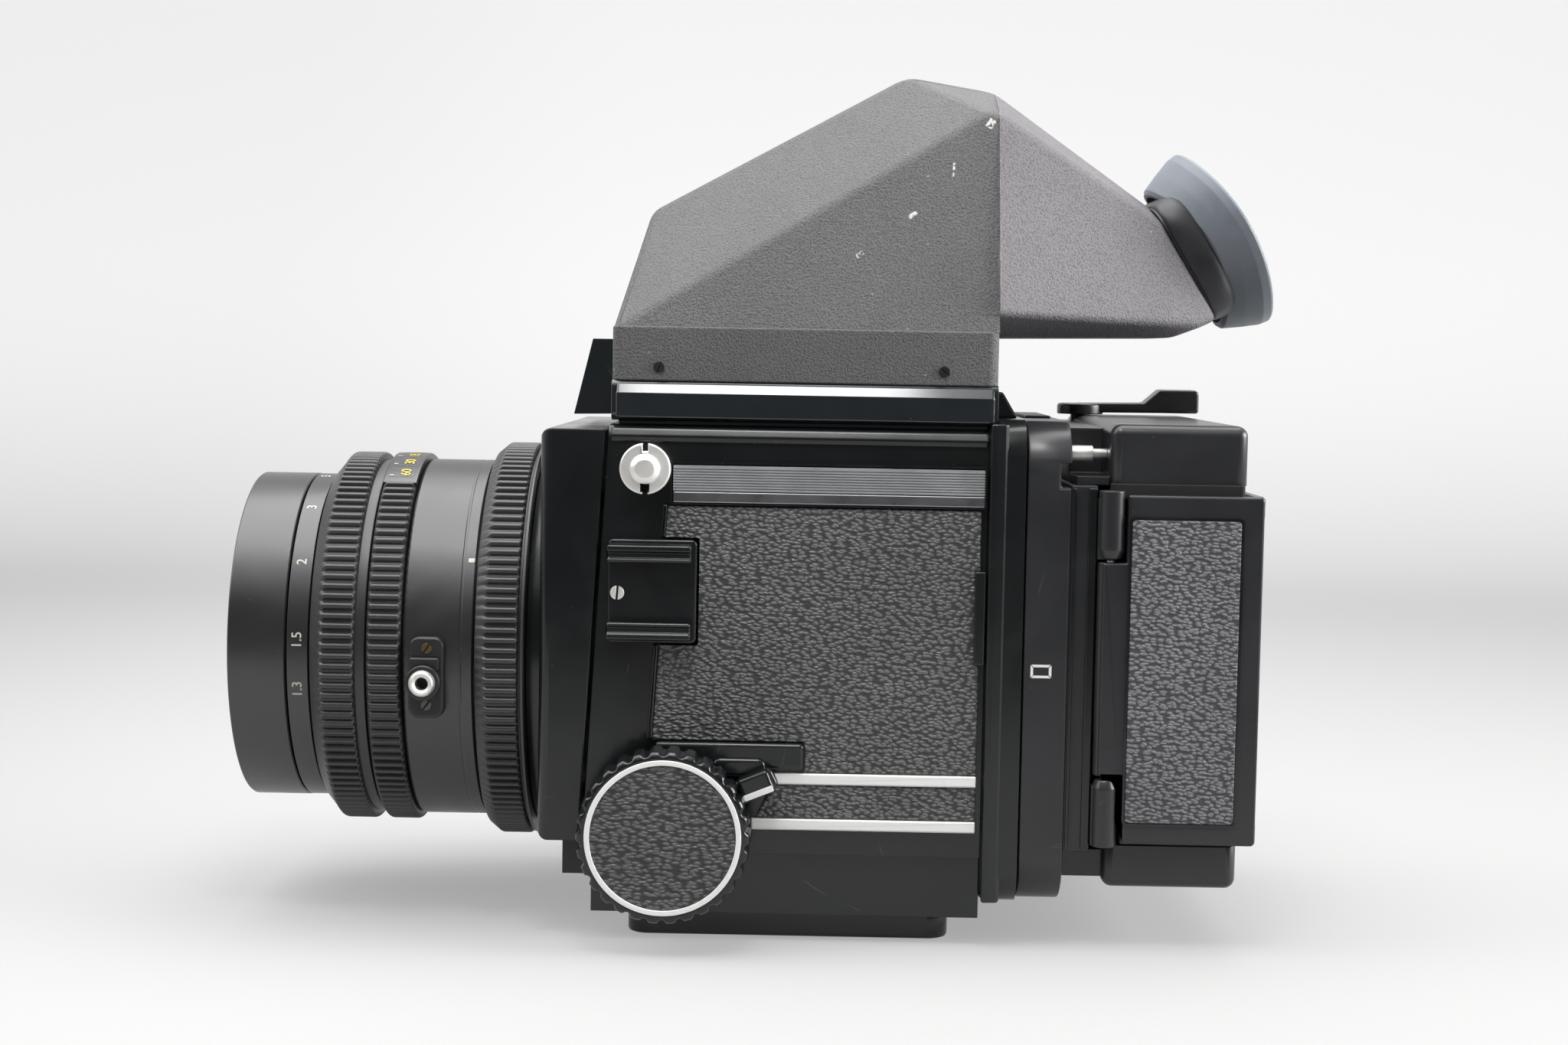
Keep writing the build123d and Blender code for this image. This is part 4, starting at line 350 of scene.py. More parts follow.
def glyphs(text: str, height: float, depth: float) -> Geometry:
    """Plain figures as a flat mesh, centred on the origin, upright in X and Y.

    Args:
        text: the figures.
        height: height of a digit.
        depth: thickness of the paint.

    Returns:
        Points and faces.
    """
    cap_share, bolder = 0.7, 0.012
    curve = bpy.data.curves.new("glyphs", "FONT")
    curve.body = text
    curve.size = height / cap_share
    curve.align_x = "CENTER"
    curve.align_y = "CENTER"
    curve.extrude = depth / 2
    curve.resolution_u = 3
    curve.offset = height * bolder
    holder = bpy.data.objects.new("glyphs", curve)
    mesh = bpy.data.meshes.new_from_object(holder)
    made = [vert.co.copy() for vert in mesh.vertices], [list(face.vertices) for face in mesh.polygons]
    bpy.data.objects.remove(holder)
    bpy.data.curves.remove(curve)
    bpy.data.meshes.remove(mesh)
    return made


def moved(geometry: Geometry, place: Callable[[Vector], Vector]) -> Geometry:
    """The same faces with each point put through a function."""
    points, faces = geometry
    return [place(point) for point in points], faces


def mirrored(geometry: Geometry) -> Geometry:
    """Copy on the other side of the camera."""
    return moved(geometry, lambda p: Vector((p.x, -p.y, p.z)))


# Node trees


class Graph:
    """Adds and links the nodes of one tree."""

    def __init__(self, tree: bpy.types.NodeTree) -> None:
        """Start on a tree."""
        self.tree = tree

    def add(self, kind: str, inputs: dict | None = None, **settings: object) -> bpy.types.Node:
        """Add a node. Noise, cells and waves get a Scale of 1, so that places set their size.

        Args:
            kind: node type without its ShaderNode prefix.
            inputs: value or output socket for each input, by name or number.
            settings: attributes to set on the node.

        Returns:
            The node.
        """
        node = self.tree.nodes.new(kind if kind.startswith("Node") else "ShaderNode" + kind)
        for name, value in settings.items():
            setattr(node, name, value)
        if kind in ("TexNoise", "TexVoronoi", "TexWave"):
            node.inputs["Scale"].default_value = 1.0
        self.wire(node, inputs or {})
        return node

    def wire(self, node: bpy.types.Node, inputs: dict) -> None:
        """Set or link inputs of a node.

        Args:
            node: the node.
            inputs: value or output socket for each input, by name or number.
        """
        for name, value in inputs.items():
            if isinstance(value, Socket):
                self.tree.links.new(value, node.inputs[name])
            else:
                node.inputs[name].default_value = value

    def math(self, operation: str, first: object, second: object = 0.0) -> Socket:
        """Output of a Math node."""
        return self.add("Math", {0: first, 1: second}, operation=operation).outputs[0]

    def times(self, first: object, *others: object) -> Socket:
        """Product of two or more values."""
        for other in others:
            first = self.math("MULTIPLY", first, other)
        return first

    def ramp(self, value: object, low: float, high: float, to_low: float = 0.0,
             to_high: float = 1.0) -> Socket:
        """Value carried smoothly from one range to another, clamped."""
        sockets = {"Value": value, "From Min": low, "From Max": high, "To Min": to_low, "To Max": to_high}
        return self.add("MapRange", sockets, interpolation_type="SMOOTHSTEP").outputs["Result"]

    def layers(self, tone: object, *coats: tuple[object, object]) -> Socket:
        """Colours laid over each other.

        Args:
            tone: the lowest colour.
            coats: mask and colour of each layer, from below.

        Returns:
            The colour on top.
        """
        for mask, coat in coats:
            pair = {index: (*value, 1.0) if isinstance(value, tuple) else value
                    for index, value in ((6, tone), (7, coat))}
            tone = self.add("Mix", {0: mask, **pair}, data_type="RGBA").outputs[2]
        return tone

    def noise(self, where: Socket, **inputs: float) -> bpy.types.NodeOutputs:
        """Outputs of a noise texture."""
        return self.add("TexNoise", {"Vector": where, **inputs}).outputs

    def bump(self, height: Socket, strength: float, depth: float, **inputs: Socket) -> Socket:
        """Normal bent by a height, with its depth in millimetres."""
        sockets = {"Height": height, "Strength": strength, "Distance": depth * MM, **inputs}
        return self.add("Bump", sockets).outputs["Normal"]

    def place(self, per_mm: Colour) -> Socket:
        """Place on the object, with this many units to the millimetre along each axis."""
        where = self.add("TexCoord").outputs["Object"]
        scale = tuple(share / MM for share in per_mm)
        return self.add("Mapping", {"Vector": where, "Scale": scale}).outputs["Vector"]


class Effect(Enum):
    """Shared effects, each a node group that is built once."""

    EDGE_WEAR = "edge_wear"
    GRAIN = "fine_grain"
    SMUDGES = "smudges"
    DUST = "dust_specks"
    SCRATCHES = "hair_scratches"
    PEBBLE = "pebbled_skin"
    WRINKLE = "wrinkle_relief"

    def group(self) -> bpy.types.NodeTree:
        """The effect's node group, made at the first call.

        Returns:
            The group.
        """
        made = bpy.data.node_groups.get(self.value)
        if made:
            return made
        tree = bpy.data.node_groups.new(self.value, "ShaderNodeTree")
        inputs, outputs, fill = EFFECT_PLANS[self]
        for name, default in inputs:
            socket = tree.interface.new_socket(name, in_out="INPUT", socket_type="NodeSocketFloat")
            socket.default_value = default
        for name in outputs:
            tree.interface.new_socket(name, in_out="OUTPUT", socket_type="NodeSocketFloat")
        graph = Graph(tree)
        source = graph.add("NodeGroupInput")
        graph.add("NodeGroupOutput", fill(graph, source.outputs))
        return tree

    def use(self, graph: Graph, output: str, **values: float) -> Socket:
        """Place the effect in a tree, and return one of its outputs."""
        return graph.add("Group", values, node_tree=self.group()).outputs[output]


def scaled_place(graph: Graph, size: object) -> Socket:
    """Place on the object in units of a size given in millimetres."""
    factor = graph.math("DIVIDE", 1.0 / MM, size)
    where = graph.add("TexCoord").outputs["Object"]
    return graph.add("VectorMath", {0: where, "Scale": factor}, operation="SCALE").outputs[0]


def fill_edge_wear(graph: Graph, given: bpy.types.NodeOutputs) -> dict[str, Socket]:
    """Mask of rubbed edges, broken up by noise.

    Args:
        graph: the group's tree.
        given: radius, patch size and amount.

    Returns:
        The mask.
    """
    radius = graph.times(given["Radius"], MM)
    soft = graph.add("Bevel", {"Radius": radius}, samples=4).outputs["Normal"]
    flat = graph.add("NewGeometry").outputs["Normal"]
    same = graph.add("VectorMath", {0: soft, 1: flat}, operation="DOT_PRODUCT").outputs["Value"]
    edge = graph.ramp(graph.math("SUBTRACT", 1.0, same), 0.03, 0.22)
    patches = graph.noise(scaled_place(graph, given["Patch"]), Detail=4.0)["Fac"]
    return {"Mask": graph.times(edge, graph.ramp(patches, 0.46, 0.66), given["Amount"])}


def fill_grain(graph: Graph, given: bpy.types.NodeOutputs) -> dict[str, Socket]:
    """Fine even grain, such as anodising or moulded plastic."""
    return {"Height": graph.noise(scaled_place(graph, given["Size"]), Detail=2.0)["Fac"]}


def fill_smudges(graph: Graph, given: bpy.types.NodeOutputs) -> dict[str, Socket]:
    """Wide cloudy patches of handling."""
    cloud = graph.noise(scaled_place(graph, given["Size"]), Detail=5.0, Distortion=0.6)["Fac"]
    return {"Mask": graph.ramp(cloud, 0.25, 0.75)}


def fill_dust(graph: Graph, given: bpy.types.NodeOutputs) -> dict[str, Socket]:
    """Small pale specks, thinly spread.

    Args:
        graph: the group's tree.
        given: spacing and amount.

    Returns:
        The mask.
    """
    cells = graph.add("TexVoronoi", {"Vector": scaled_place(graph, given["Spacing"])}).outputs
    pick = graph.add("SeparateColor", {"Color": cells["Color"]}).outputs[0]
    dot = graph.ramp(cells["Distance"], 0.035, 0.075, 1.0, 0.0)
    return {"Mask": graph.times(dot, graph.ramp(pick, 0.72, 0.9), given["Amount"])}


def fill_scratches(graph: Graph, given: bpy.types.NodeOutputs) -> dict[str, Socket]:
    """A few thin lines, cut off here and there.

    Args:
        graph: the group's tree.
        given: spacing.

    Returns:
        The mask.
    """
    where = scaled_place(graph, given["Spacing"])
    bent = graph.noise(where, Scale=0.7, Detail=1.0)["Color"]
    lines = graph.add("VectorMath", {0: where, 1: bent}, operation="ADD").outputs[0]
    cells = graph.add("TexVoronoi", {"Vector": lines, "Scale": 0.8}, feature="DISTANCE_TO_EDGE")
    thin = graph.ramp(cells.outputs["Distance"], 0.002, 0.008, 1.0, 0.0)
    parts = graph.noise(where, Scale=1.7, Detail=3.0)["Fac"]
    return {"Mask": graph.times(thin, graph.ramp(parts, 0.6, 0.68))}


def fill_pebble(graph: Graph, given: bpy.types.NodeOutputs) -> dict[str, Socket]:
    """Wavy pebbles, longer one way, as on pressed leather cloth.

    Args:
        graph: the group's tree.
        given: length and height of a pebble.

    Returns:
        Height of the skin, and mask of the low ground between the pebbles, where shade is painted.
    """
    where = graph.add("SeparateXYZ", {"Vector": graph.add("TexCoord").outputs["Object"]}).outputs
    level = graph.math("ADD", where["X"], where["Y"])
    across = graph.math("DIVIDE", level, graph.times(given["Length"], MM))
    up = graph.math("DIVIDE", where["Z"], graph.times(given["Height"], MM))
    placed = graph.add("CombineXYZ", {"X": across, "Y": up}).outputs["Vector"]
    waves = graph.noise(placed, Scale=0.45, Detail=2.0)["Color"]
    bent = graph.add("VectorMath", {0: waves, "Scale": 1.15}, operation="SCALE").outputs[0]
    spot = graph.add("VectorMath", {0: placed, 1: bent}, operation="ADD").outputs[0]
    cells = graph.add("TexVoronoi", {"Vector": spot, "Smoothness": 0.3}, feature="SMOOTH_F1",
                      voronoi_dimensions="2D")
    lumps = graph.ramp(cells.outputs["Distance"], 0.0, 0.75, 1.0, 0.0)
    fine = graph.noise(spot, Scale=2.2, Detail=2.0)["Fac"]
    return {"Height": graph.math("ADD", lumps, graph.times(fine, 0.3)),
            "ValleyShade": graph.ramp(lumps, 0.05, 0.85, 1.0, 0.0)}


def fill_wrinkle(graph: Graph, given: bpy.types.NodeOutputs) -> dict[str, Socket]:
    """Crinkled stoved paint: short ridges with hollows between them.

    Args:
        graph: the group's tree.
        given: size of a ridge.

    Returns:
        Height of the paint, and mask of its hollows, where shade is painted.
    """
    where = scaled_place(graph, given["Size"])
    bent = graph.noise(where, Scale=0.9, Detail=3.0)["Color"]
    spot = graph.add("VectorMath", {0: where, 1: bent}, operation="ADD").outputs[0]
    cells = graph.add("TexVoronoi", {"Vector": spot, "Smoothness": 0.6}, feature="SMOOTH_F1")
    coarse = graph.noise(where, Scale=1.1, Detail=5.0, Roughness=0.7)["Fac"]
    height = graph.math("ADD", graph.times(cells.outputs["Distance"], 0.8), coarse)
    # The second output picks out the low parts of the relief, for painted shade.
    return {"Height": height, "PitShade": graph.ramp(height, 0.55, 0.95, 1.0, 0.0)}


EFFECT_PLANS: dict[Effect, tuple] = {
    Effect.EDGE_WEAR: ((("Radius", 0.5), ("Patch", 6.0), ("Amount", 0.6)), ("Mask",), fill_edge_wear),
    Effect.GRAIN: ((("Size", 0.12),), ("Height",), fill_grain),
    Effect.SMUDGES: ((("Size", 18.0),), ("Mask",), fill_smudges),
    Effect.DUST: ((("Spacing", 2.4), ("Amount", 0.5)), ("Mask",), fill_dust),
    Effect.SCRATCHES: ((("Spacing", 16.0),), ("Mask",), fill_scratches),
    Effect.PEBBLE: ((("Length", 1.5), ("Height", 0.75)), ("Height", "ValleyShade"), fill_pebble),
    Effect.WRINKLE: ((("Size", 0.45),), ("Height", "PitShade"), fill_wrinkle),
}


# Finishes


@dataclass(frozen=True)
class Finish:
    """Base of the finishes: a named material that is built once."""

    name: str
    slot: str

    def material(self) -> bpy.types.Material:
        """The finish's material, made at the first call."""
        return bpy.data.materials.get(self.name) or new_material(self.name, self.dress)

    def dress(self, graph: Graph) -> dict[str, object]:
        """Value or socket for each input of the Principled shader."""
        raise NotImplementedError


def new_material(name: str, dress: Callable[[Graph], dict[str, object]]) -> bpy.types.Material:
    """Material with one Principled shader.

    Args:
        name: the material's name.
        dress: gives a value or socket for each input of the shader.

    Returns:
        The material.
    """
    made = bpy.data.materials.new(name)
    made.use_nodes = True
    made.node_tree.nodes.clear()
    graph = Graph(made.node_tree)
    shader = graph.add("BsdfPrincipled")
    graph.add("OutputMaterial", {"Surface": shader.outputs["BSDF"]})
    graph.wire(shader, dress(graph))
    return made


def dimmed(colour: Colour, share: float) -> Colour:
    """Colour with its channels multiplied by a share."""
    return tuple(channel * share for channel in colour)


@dataclass(frozen=True)
class Enamel(Finish):
    """Smooth or satin coat on metal or plastic, with dust, smudges and rubbed edges."""

    colour: Colour
    roughness: float = 0.3
    smudge: float = 0.08
    grain: float = 0.0
    grain_size: float = 0.12
    dust: float = 0.2
    worn: Colour = (0.16, 0.155, 0.15)
    wear: float = 0.2
    wear_radius: float = 0.4
    coat: float = 0.0
    specular: float = 0.5
    dust_tone: Colour = (0.42, 0.41, 0.4)
    waves_per_mm: float = 0.11

    def dress(self, graph: Graph) -> dict[str, object]:
        """Coat with its marks.

        Args:
            graph: the material's tree.

        Returns:
            Value or socket for each shader input.
        """
        cloud = Effect.SMUDGES.use(graph, "Mask", Size=16.0)
        lighter = tuple(channel * (1.0 + 0.25 * (1.0 - channel)) + 0.001 for channel in self.colour)
        rubbed = Effect.EDGE_WEAR.use(graph, "Mask", Radius=self.wear_radius, Amount=self.wear)
        specks = Effect.DUST.use(graph, "Mask", Amount=self.dust)
        lines = Effect.SCRATCHES.use(graph, "Mask", Spacing=22.0)
        tone = graph.layers(self.colour, (cloud, lighter), (rubbed, self.worn), (specks, self.dust_tone),
                            (graph.times(lines, 0.25), self.worn))
        rough = graph.math("ADD", graph.times(cloud, self.smudge), self.roughness)
        rough = graph.math("ADD", rough, graph.times(specks, 0.4))
        height = Effect.GRAIN.use(graph, "Height", Size=self.grain_size)
        fine = graph.bump(height, max(self.grain, 0.02), 0.03)
        waves = graph.noise(graph.place((self.waves_per_mm,) * 3), Detail=1.0)["Fac"]
        return {"Base Color": tone, "Roughness": rough, "Coat Weight": self.coat, "Coat Roughness": 0.08,
                "Specular IOR Level": self.specular, "Normal": graph.bump(waves, 0.12, 0.25, Normal=fine)}


@dataclass(frozen=True)
class WrinklePaint(Finish):
    """Matt wrinkle paint over a casting, scuffed through at the edges."""

    colour: Colour
    light: Colour
    size: float = 0.5
    marks: tuple[tuple[float, float, float, float, float], ...] = ()
    scored_from_y: float = -20.0
    score_tone: Colour = (0.7, 0.7, 0.68)
    scuff_tone: Colour = (0.3, 0.29, 0.28)
    dust_tone: Colour = (0.6, 0.59, 0.57)

    def scored(self, graph: Graph, tone: Socket) -> Socket:
        """Pale scores in the left side, each from one place to another in X and Z, with its width.

        Args:
            graph: the material's tree.
            tone: colour without the scores.

        Returns:
            Colour with them.
        """
        if not self.marks:
            return tone
        parts = graph.add("SeparateXYZ", {"Vector": graph.place((1.0, 1.0, 1.0))}).outputs
        left = graph.ramp(parts["Y"], self.scored_from_y, self.scored_from_y + 2.0, 1.0, 0.0)
        chips = graph.ramp(graph.noise(graph.place((1.1, 1.1, 1.1)), Detail=3.0)["Fac"], 0.38, 0.56)
        flat = graph.add("CombineXYZ", {"X": parts["X"], "Y": parts["Z"]}).outputs["Vector"]
        for x0, z0, x1, z1, width in self.marks:
            run = Vector((x1 - x0, z1 - z0))
            middle = (-(x0 + x1) / 2, -(z0 + z1) / 2, 0.0)
            away = graph.add("Mapping", {"Vector": flat, "Location": middle}).outputs["Vector"]
            turn = {"Vector": away, "Axis": (0.0, 0.0, 1.0), "Angle": -math.atan2(run.y, run.x)}
            along = graph.add("VectorRotate", turn).outputs["Vector"]
            place = graph.add("SeparateXYZ", {"Vector": along}).outputs
            half = run.length / 2
            inside = graph.ramp(graph.math("ABSOLUTE", place["X"]), half - 0.4, half, 1.0, 0.0)
            near = graph.ramp(graph.math("ABSOLUTE", place["Y"]), width, width * 2.2, 1.0, 0.0)
            tone = graph.layers(tone, (graph.times(inside, near, left, chips), self.score_tone))
        return tone

    def dress(self, graph: Graph) -> dict[str, object]:
        """Paint with painted shade in its hollows, and with its scuffs and scores.

        Args:
            graph: the material's tree.

        Returns:
            Value or socket for each shader input.
        """
        pit_shade = Effect.WRINKLE.use(graph, "PitShade", Size=self.size)
        height = Effect.WRINKLE.use(graph, "Height", Size=self.size)
        cloud = Effect.SMUDGES.use(graph, "Mask", Size=20.0)
        rubbed = Effect.EDGE_WEAR.use(graph, "Mask", Radius=1.1, Patch=9.0, Amount=0.5)
        specks = Effect.DUST.use(graph, "Mask", Spacing=4.2, Amount=0.35)
        # Painted shade: the paint is darkened to about a third in the hollows of its wrinkles.
        tone = graph.layers(self.colour, (graph.times(cloud, 0.6), self.light),
                            (graph.times(pit_shade, 0.75), dimmed(self.colour, 0.35)),
                            (rubbed, self.scuff_tone), (specks, self.dust_tone))
        return {"Base Color": self.scored(graph, tone), "Roughness": 0.5,
                "Normal": graph.bump(height, 1.0, 0.22)}


@dataclass(frozen=True)
class Leatherette(Finish):
    """Pressed leather cloth with wavy pebbles and shiny tops."""

    colour: Colour
    length: float
    height: float
    relief: float
    dust_tone: Colour = (0.45, 0.44, 0.43)

    def dress(self, graph: Graph) -> dict[str, object]:
        """Cloth with its pebbles, and painted shade between them.

        Args:
            graph: the material's tree.

        Returns:
            Value or socket for each shader input.
        """
        height = Effect.PEBBLE.use(graph, "Height", Length=self.length, Height=self.height)
        valley_shade = Effect.PEBBLE.use(graph, "ValleyShade", Length=self.length, Height=self.height)
        cloud = Effect.SMUDGES.use(graph, "Mask", Size=24.0)
        specks = Effect.DUST.use(graph, "Mask", Spacing=4.5, Amount=0.5)
        # Painted shade: the low ground between the pebbles is darkened to a sixth of the cloth's colour; the
        # same mask also makes it rougher.
        tone = graph.layers(self.colour, (cloud, dimmed(self.colour, 1.3)),
                            (graph.times(valley_shade, 0.85), dimmed(self.colour, 0.16)), (specks, self.dust_tone))
        rough = graph.math("ADD", 0.27, graph.times(valley_shade, 0.35))
        return {"Base Color": tone, "Roughness": rough, "Normal": graph.bump(height, 1.0, self.relief)}


@dataclass(frozen=True)
class BareMetal(Finish):
    """Uncoated metal, ground or turned, with fine lines along one axis."""

    colour: Colour
    roughness: float = 0.28
    lines: Colour = (0.4, 6.0, 6.0)

    def dress(self, graph: Graph) -> dict[str, object]:
        """Metal with its lines.

        Args:
            graph: the material's tree.

        Returns:
            Value or socket for each shader input.
        """
        streak = graph.noise(graph.place(self.lines), Detail=3.0)["Fac"]
        cloud = Effect.SMUDGES.use(graph, "Mask", Size=7.0)
        dark = dimmed(self.colour, 0.72)
        tone = graph.layers(self.colour, (graph.times(streak, 0.5), dark), (graph.times(cloud, 0.25), dark))
        rough = graph.math("ADD", self.roughness, graph.times(cloud, 0.12))
        return {"Base Color": tone, "Metallic": 1.0, "Roughness": rough,
                "Normal": graph.bump(streak, 0.06, 0.02)}


@dataclass(frozen=True)
class Rubber(Finish):
    """Soft moulded rubber with a cloudy bloom."""

    colour: Colour
    bloom: Colour
    dust_tone: Colour = (0.4, 0.4, 0.4)

    def dress(self, graph: Graph) -> dict[str, object]:
        """Rubber with its bloom.

        Args:
            graph: the material's tree.

        Returns:
            Value or socket for each shader input.
        """
        cloud = Effect.SMUDGES.use(graph, "Mask", Size=11.0)
        specks = Effect.DUST.use(graph, "Mask", Spacing=2.8, Amount=0.4)
        height = Effect.GRAIN.use(graph, "Height", Size=0.3)
        tone = graph.layers(self.colour, (cloud, self.bloom), (specks, self.dust_tone))
        return {"Base Color": tone, "Roughness": graph.ramp(cloud, 0.0, 1.0, 0.42, 0.6), "Sheen Weight": 0.08,
                "Sheen Roughness": 0.5, "Normal": graph.bump(height, 0.25, 0.05)}


@dataclass(frozen=True)
class Cloth(Finish):
    """Black folded cloth with a plain weave."""

    colour: Colour
    threads_per_mm: float = 1.6

    def dress(self, graph: Graph) -> dict[str, object]:
        """Cloth with its weave.

        Args:
            graph: the material's tree.

        Returns:
            Value or socket for each shader input.
        """
        where = graph.place((self.threads_per_mm,) * 3)
        weave = graph.add("TexWave", {"Vector": where, "Distortion": 0.6}).outputs["Fac"]
        cloud = Effect.SMUDGES.use(graph, "Mask", Size=9.0)
        return {"Base Color": graph.layers(self.colour, (cloud, dimmed(self.colour, 1.8))), "Roughness": 0.85,
                "Sheen Weight": 0.3, "Normal": graph.bump(weave, 0.3, 0.1)}


@dataclass(frozen=True)
class CoatedGlass(Finish):
    """Polished glass with a coloured coating and a trace of dust."""

    colour: Colour
    tint: Colour

    def dress(self, graph: Graph) -> dict[str, object]:
        """Glass with its coating.

        Args:
            graph: the material's tree.

        Returns:
            Value or socket for each shader input.
        """
        rim = graph.add("LayerWeight", {"Blend": 0.35}).outputs["Facing"]
        specks = Effect.DUST.use(graph, "Mask", Spacing=3.0, Amount=0.5)
        return {"Base Color": graph.layers(self.colour, (rim, self.tint)), "IOR": 1.6,
                "Roughness": graph.ramp(specks, 0.0, 1.0, 0.02, 0.5), "Transmission Weight": 0.85,
                "Coat Weight": 0.6, "Coat Roughness": 0.02, "Coat Tint": (*self.tint, 1.0)}


@dataclass(frozen=True)
class Silvering(Finish):
    """Front surface mirror with faint haze."""

    colour: Colour
    dust_tone: Colour = (0.6, 0.6, 0.6)

    def dress(self, graph: Graph) -> dict[str, object]:
        """Mirror with its haze.

        Args:
            graph: the material's tree.

        Returns:
            Value or socket for each shader input.
        """
        haze = Effect.SMUDGES.use(graph, "Mask", Size=14.0)
        specks = Effect.DUST.use(graph, "Mask", Spacing=3.2, Amount=0.4)
        return {"Base Color": graph.layers(self.colour, (specks, self.dust_tone)), "Metallic": 1.0,
                "Roughness": graph.ramp(haze, 0.0, 1.0, 0.02, 0.1)}


GLOSS_BLACK = Enamel("gloss_black_enamel", "black_body", (0.0075, 0.0085, 0.009), 0.17, wear=0.1, dust=0.15)
SATIN_BLACK = Enamel("satin_black_enamel", "black_body", (0.011, 0.0115, 0.012), 0.34, 0.1, grain=0.2,
                     wear=0.15)
LENS_BLACK = Enamel("anodised_lens_black", "black_lens", (0.012, 0.0115, 0.0125), 0.29, grain=0.35,
                    grain_size=0.1, wear=0.2, specular=0.9)
BARREL_BLACK = Enamel("anodised_barrel_black", "black_lens", (0.012, 0.0115, 0.013), 0.3, 0.1, grain=0.3,
                      grain_size=0.1, wear=0.2, specular=0.85)
GRIP_BLACK = Enamel("ribbed_grip_black", "black_lens", (0.022, 0.022, 0.023), 0.38, 0.06, grain=0.25,
                    wear=0.4, wear_radius=0.25, worn=(0.1, 0.098, 0.1), specular=0.7)
BACK_BLACK = Enamel("film_back_enamel", "black_body", (0.021, 0.0215, 0.0235), 0.27, 0.05, grain=0.1,
                    wear=0.12)
PLASTIC_BLACK = Enamel("moulded_black", "black_plastic", (0.012, 0.012, 0.0125), 0.34, grain=0.3,
                       grain_size=0.25, wear=0.1)
# Flat black of the camera's inside, also used as painted shade: floors of screw slots, the floor in the cable
# socket and the ledge under the film back's top block.
FLAT_BLACK_AND_SHADE = Enamel("flat_black_and_painted_shade", "black_body", (0.006, 0.006, 0.006), 0.75, 0.05, wear=0.0)
WHITE_PAINT = Enamel("white_paint", "white_plastic", (0.9, 0.895, 0.875), 0.35, 0.05, grain=0.1,
                     worn=(0.6, 0.59, 0.57), wear=0.15, dust=0.0)
IVORY_PAINT = Enamel("ivory_figures", "white_plastic", (0.62, 0.6, 0.51), 0.5, 0.05, dust=0.0, wear=0.0)
YELLOW_PAINT = Enamel("yellow_figures", "white_plastic", (0.66, 0.53, 0.09), 0.5, 0.05, dust=0.0, wear=0.0)
BASE_BLACK = Enamel("finder_base_gloss", "black_body", (0.013, 0.0165, 0.0185), 0.11, 0.06, wear=0.1,
                    dust=0.15, coat=0.5)
FINDER_PAINT = WrinklePaint("finder_wrinkle_paint", "wrinkle_grey", (0.099, 0.098, 0.1),
                            (0.124, 0.122, 0.124),
                            marks=((12.9, 159.2, 14.6, 160.5, 0.3), (24.9, 168.5, 26.9, 170.2, 0.3),
                                   (35.3, 178.2, 35.4, 181.8, 0.16), (43.2, 190.0, 44.6, 192.2, 0.5)))
# Painted light: a copy of the finder's wrinkle paint, half as light again and purplish, so that the tunnel
# looks lit.
LIT_TUNNEL_PAINT = WrinklePaint("tunnel_wrinkle_paint_painted_light", "wrinkle_grey", (0.15, 0.141, 0.153),
                            (0.19, 0.178, 0.192))
SIDE_LEATHER = Leatherette("side_leather_cloth", "leatherette", (0.125, 0.125, 0.128), 1.45, 0.78, 0.3)
# Painted light: the side leather cloth again, lighter and purplish, so that the door looks lit.
LIT_DOOR_LEATHER = Leatherette("door_leather_cloth_painted_light", "leatherette", (0.18, 0.173, 0.189), 1.4, 0.8, 0.32)
KNOB_LEATHER = Leatherette("knob_leather_cloth", "leatherette", (0.1, 0.1, 0.103), 1.8, 0.8, 0.3)
STEEL = BareMetal("ground_steel", "steel", (0.62, 0.62, 0.61), 0.3)
CHROME = BareMetal("bright_chrome", "bright_metal", (0.78, 0.78, 0.78), 0.12)
SATIN_SILVER = BareMetal("satin_silver", "bright_metal", (0.97, 0.96, 0.93), 0.46, (5.0, 0.3, 5.0))
STEEL_DARK = BareMetal("browned_steel", "steel", (0.16, 0.155, 0.15), 0.35)
CHROME_DARK = BareMetal("smoked_chrome", "bright_metal", (0.36, 0.355, 0.38), 0.25, (0.02, 0.2, 2.5))
DARK_PLATE = BareMetal("brushed_dark_plate", "bright_metal", (0.6, 0.61, 0.62), 0.45, (0.05, 5.0, 9.0))
# Painted light and shade: one rubber in two copies, the dish's light and bluish so that it looks lit, the
# neck's near black so that it looks shaded.
LIT_CUP_RUBBER = Rubber("eyecup_rubber_painted_light", "black_rubber", (0.15, 0.168, 0.194), (0.18, 0.199, 0.226))
SHADED_NECK_RUBBER = Rubber("eyecup_neck_painted_shade", "black_rubber", (0.009, 0.0095, 0.012), (0.016, 0.0165, 0.02))
BELLOWS_CLOTH = Cloth("bellows_cloth", "black_cloth", (0.012, 0.012, 0.012))
LENS_GLASS = CoatedGlass("coated_lens_glass", "optical_glass", (0.86, 0.88, 0.95), (0.32, 0.2, 0.55))
PLAIN_GLASS = CoatedGlass("plain_optical_glass", "optical_glass", (0.9, 0.94, 0.94), (0.6, 0.72, 0.74))
BRASS_DARK = BareMetal("browned_brass", "brass", (0.16, 0.12, 0.06), 0.4)
MIRROR_FACE = Silvering("mirror_face", "mirror_coating", (0.88, 0.89, 0.9))
SCREEN_PLASTIC = Enamel("ground_screen", "screen_plastic", (0.62, 0.62, 0.6), 0.6, 0.05, grain=0.5, wear=0.0)


# Pieces


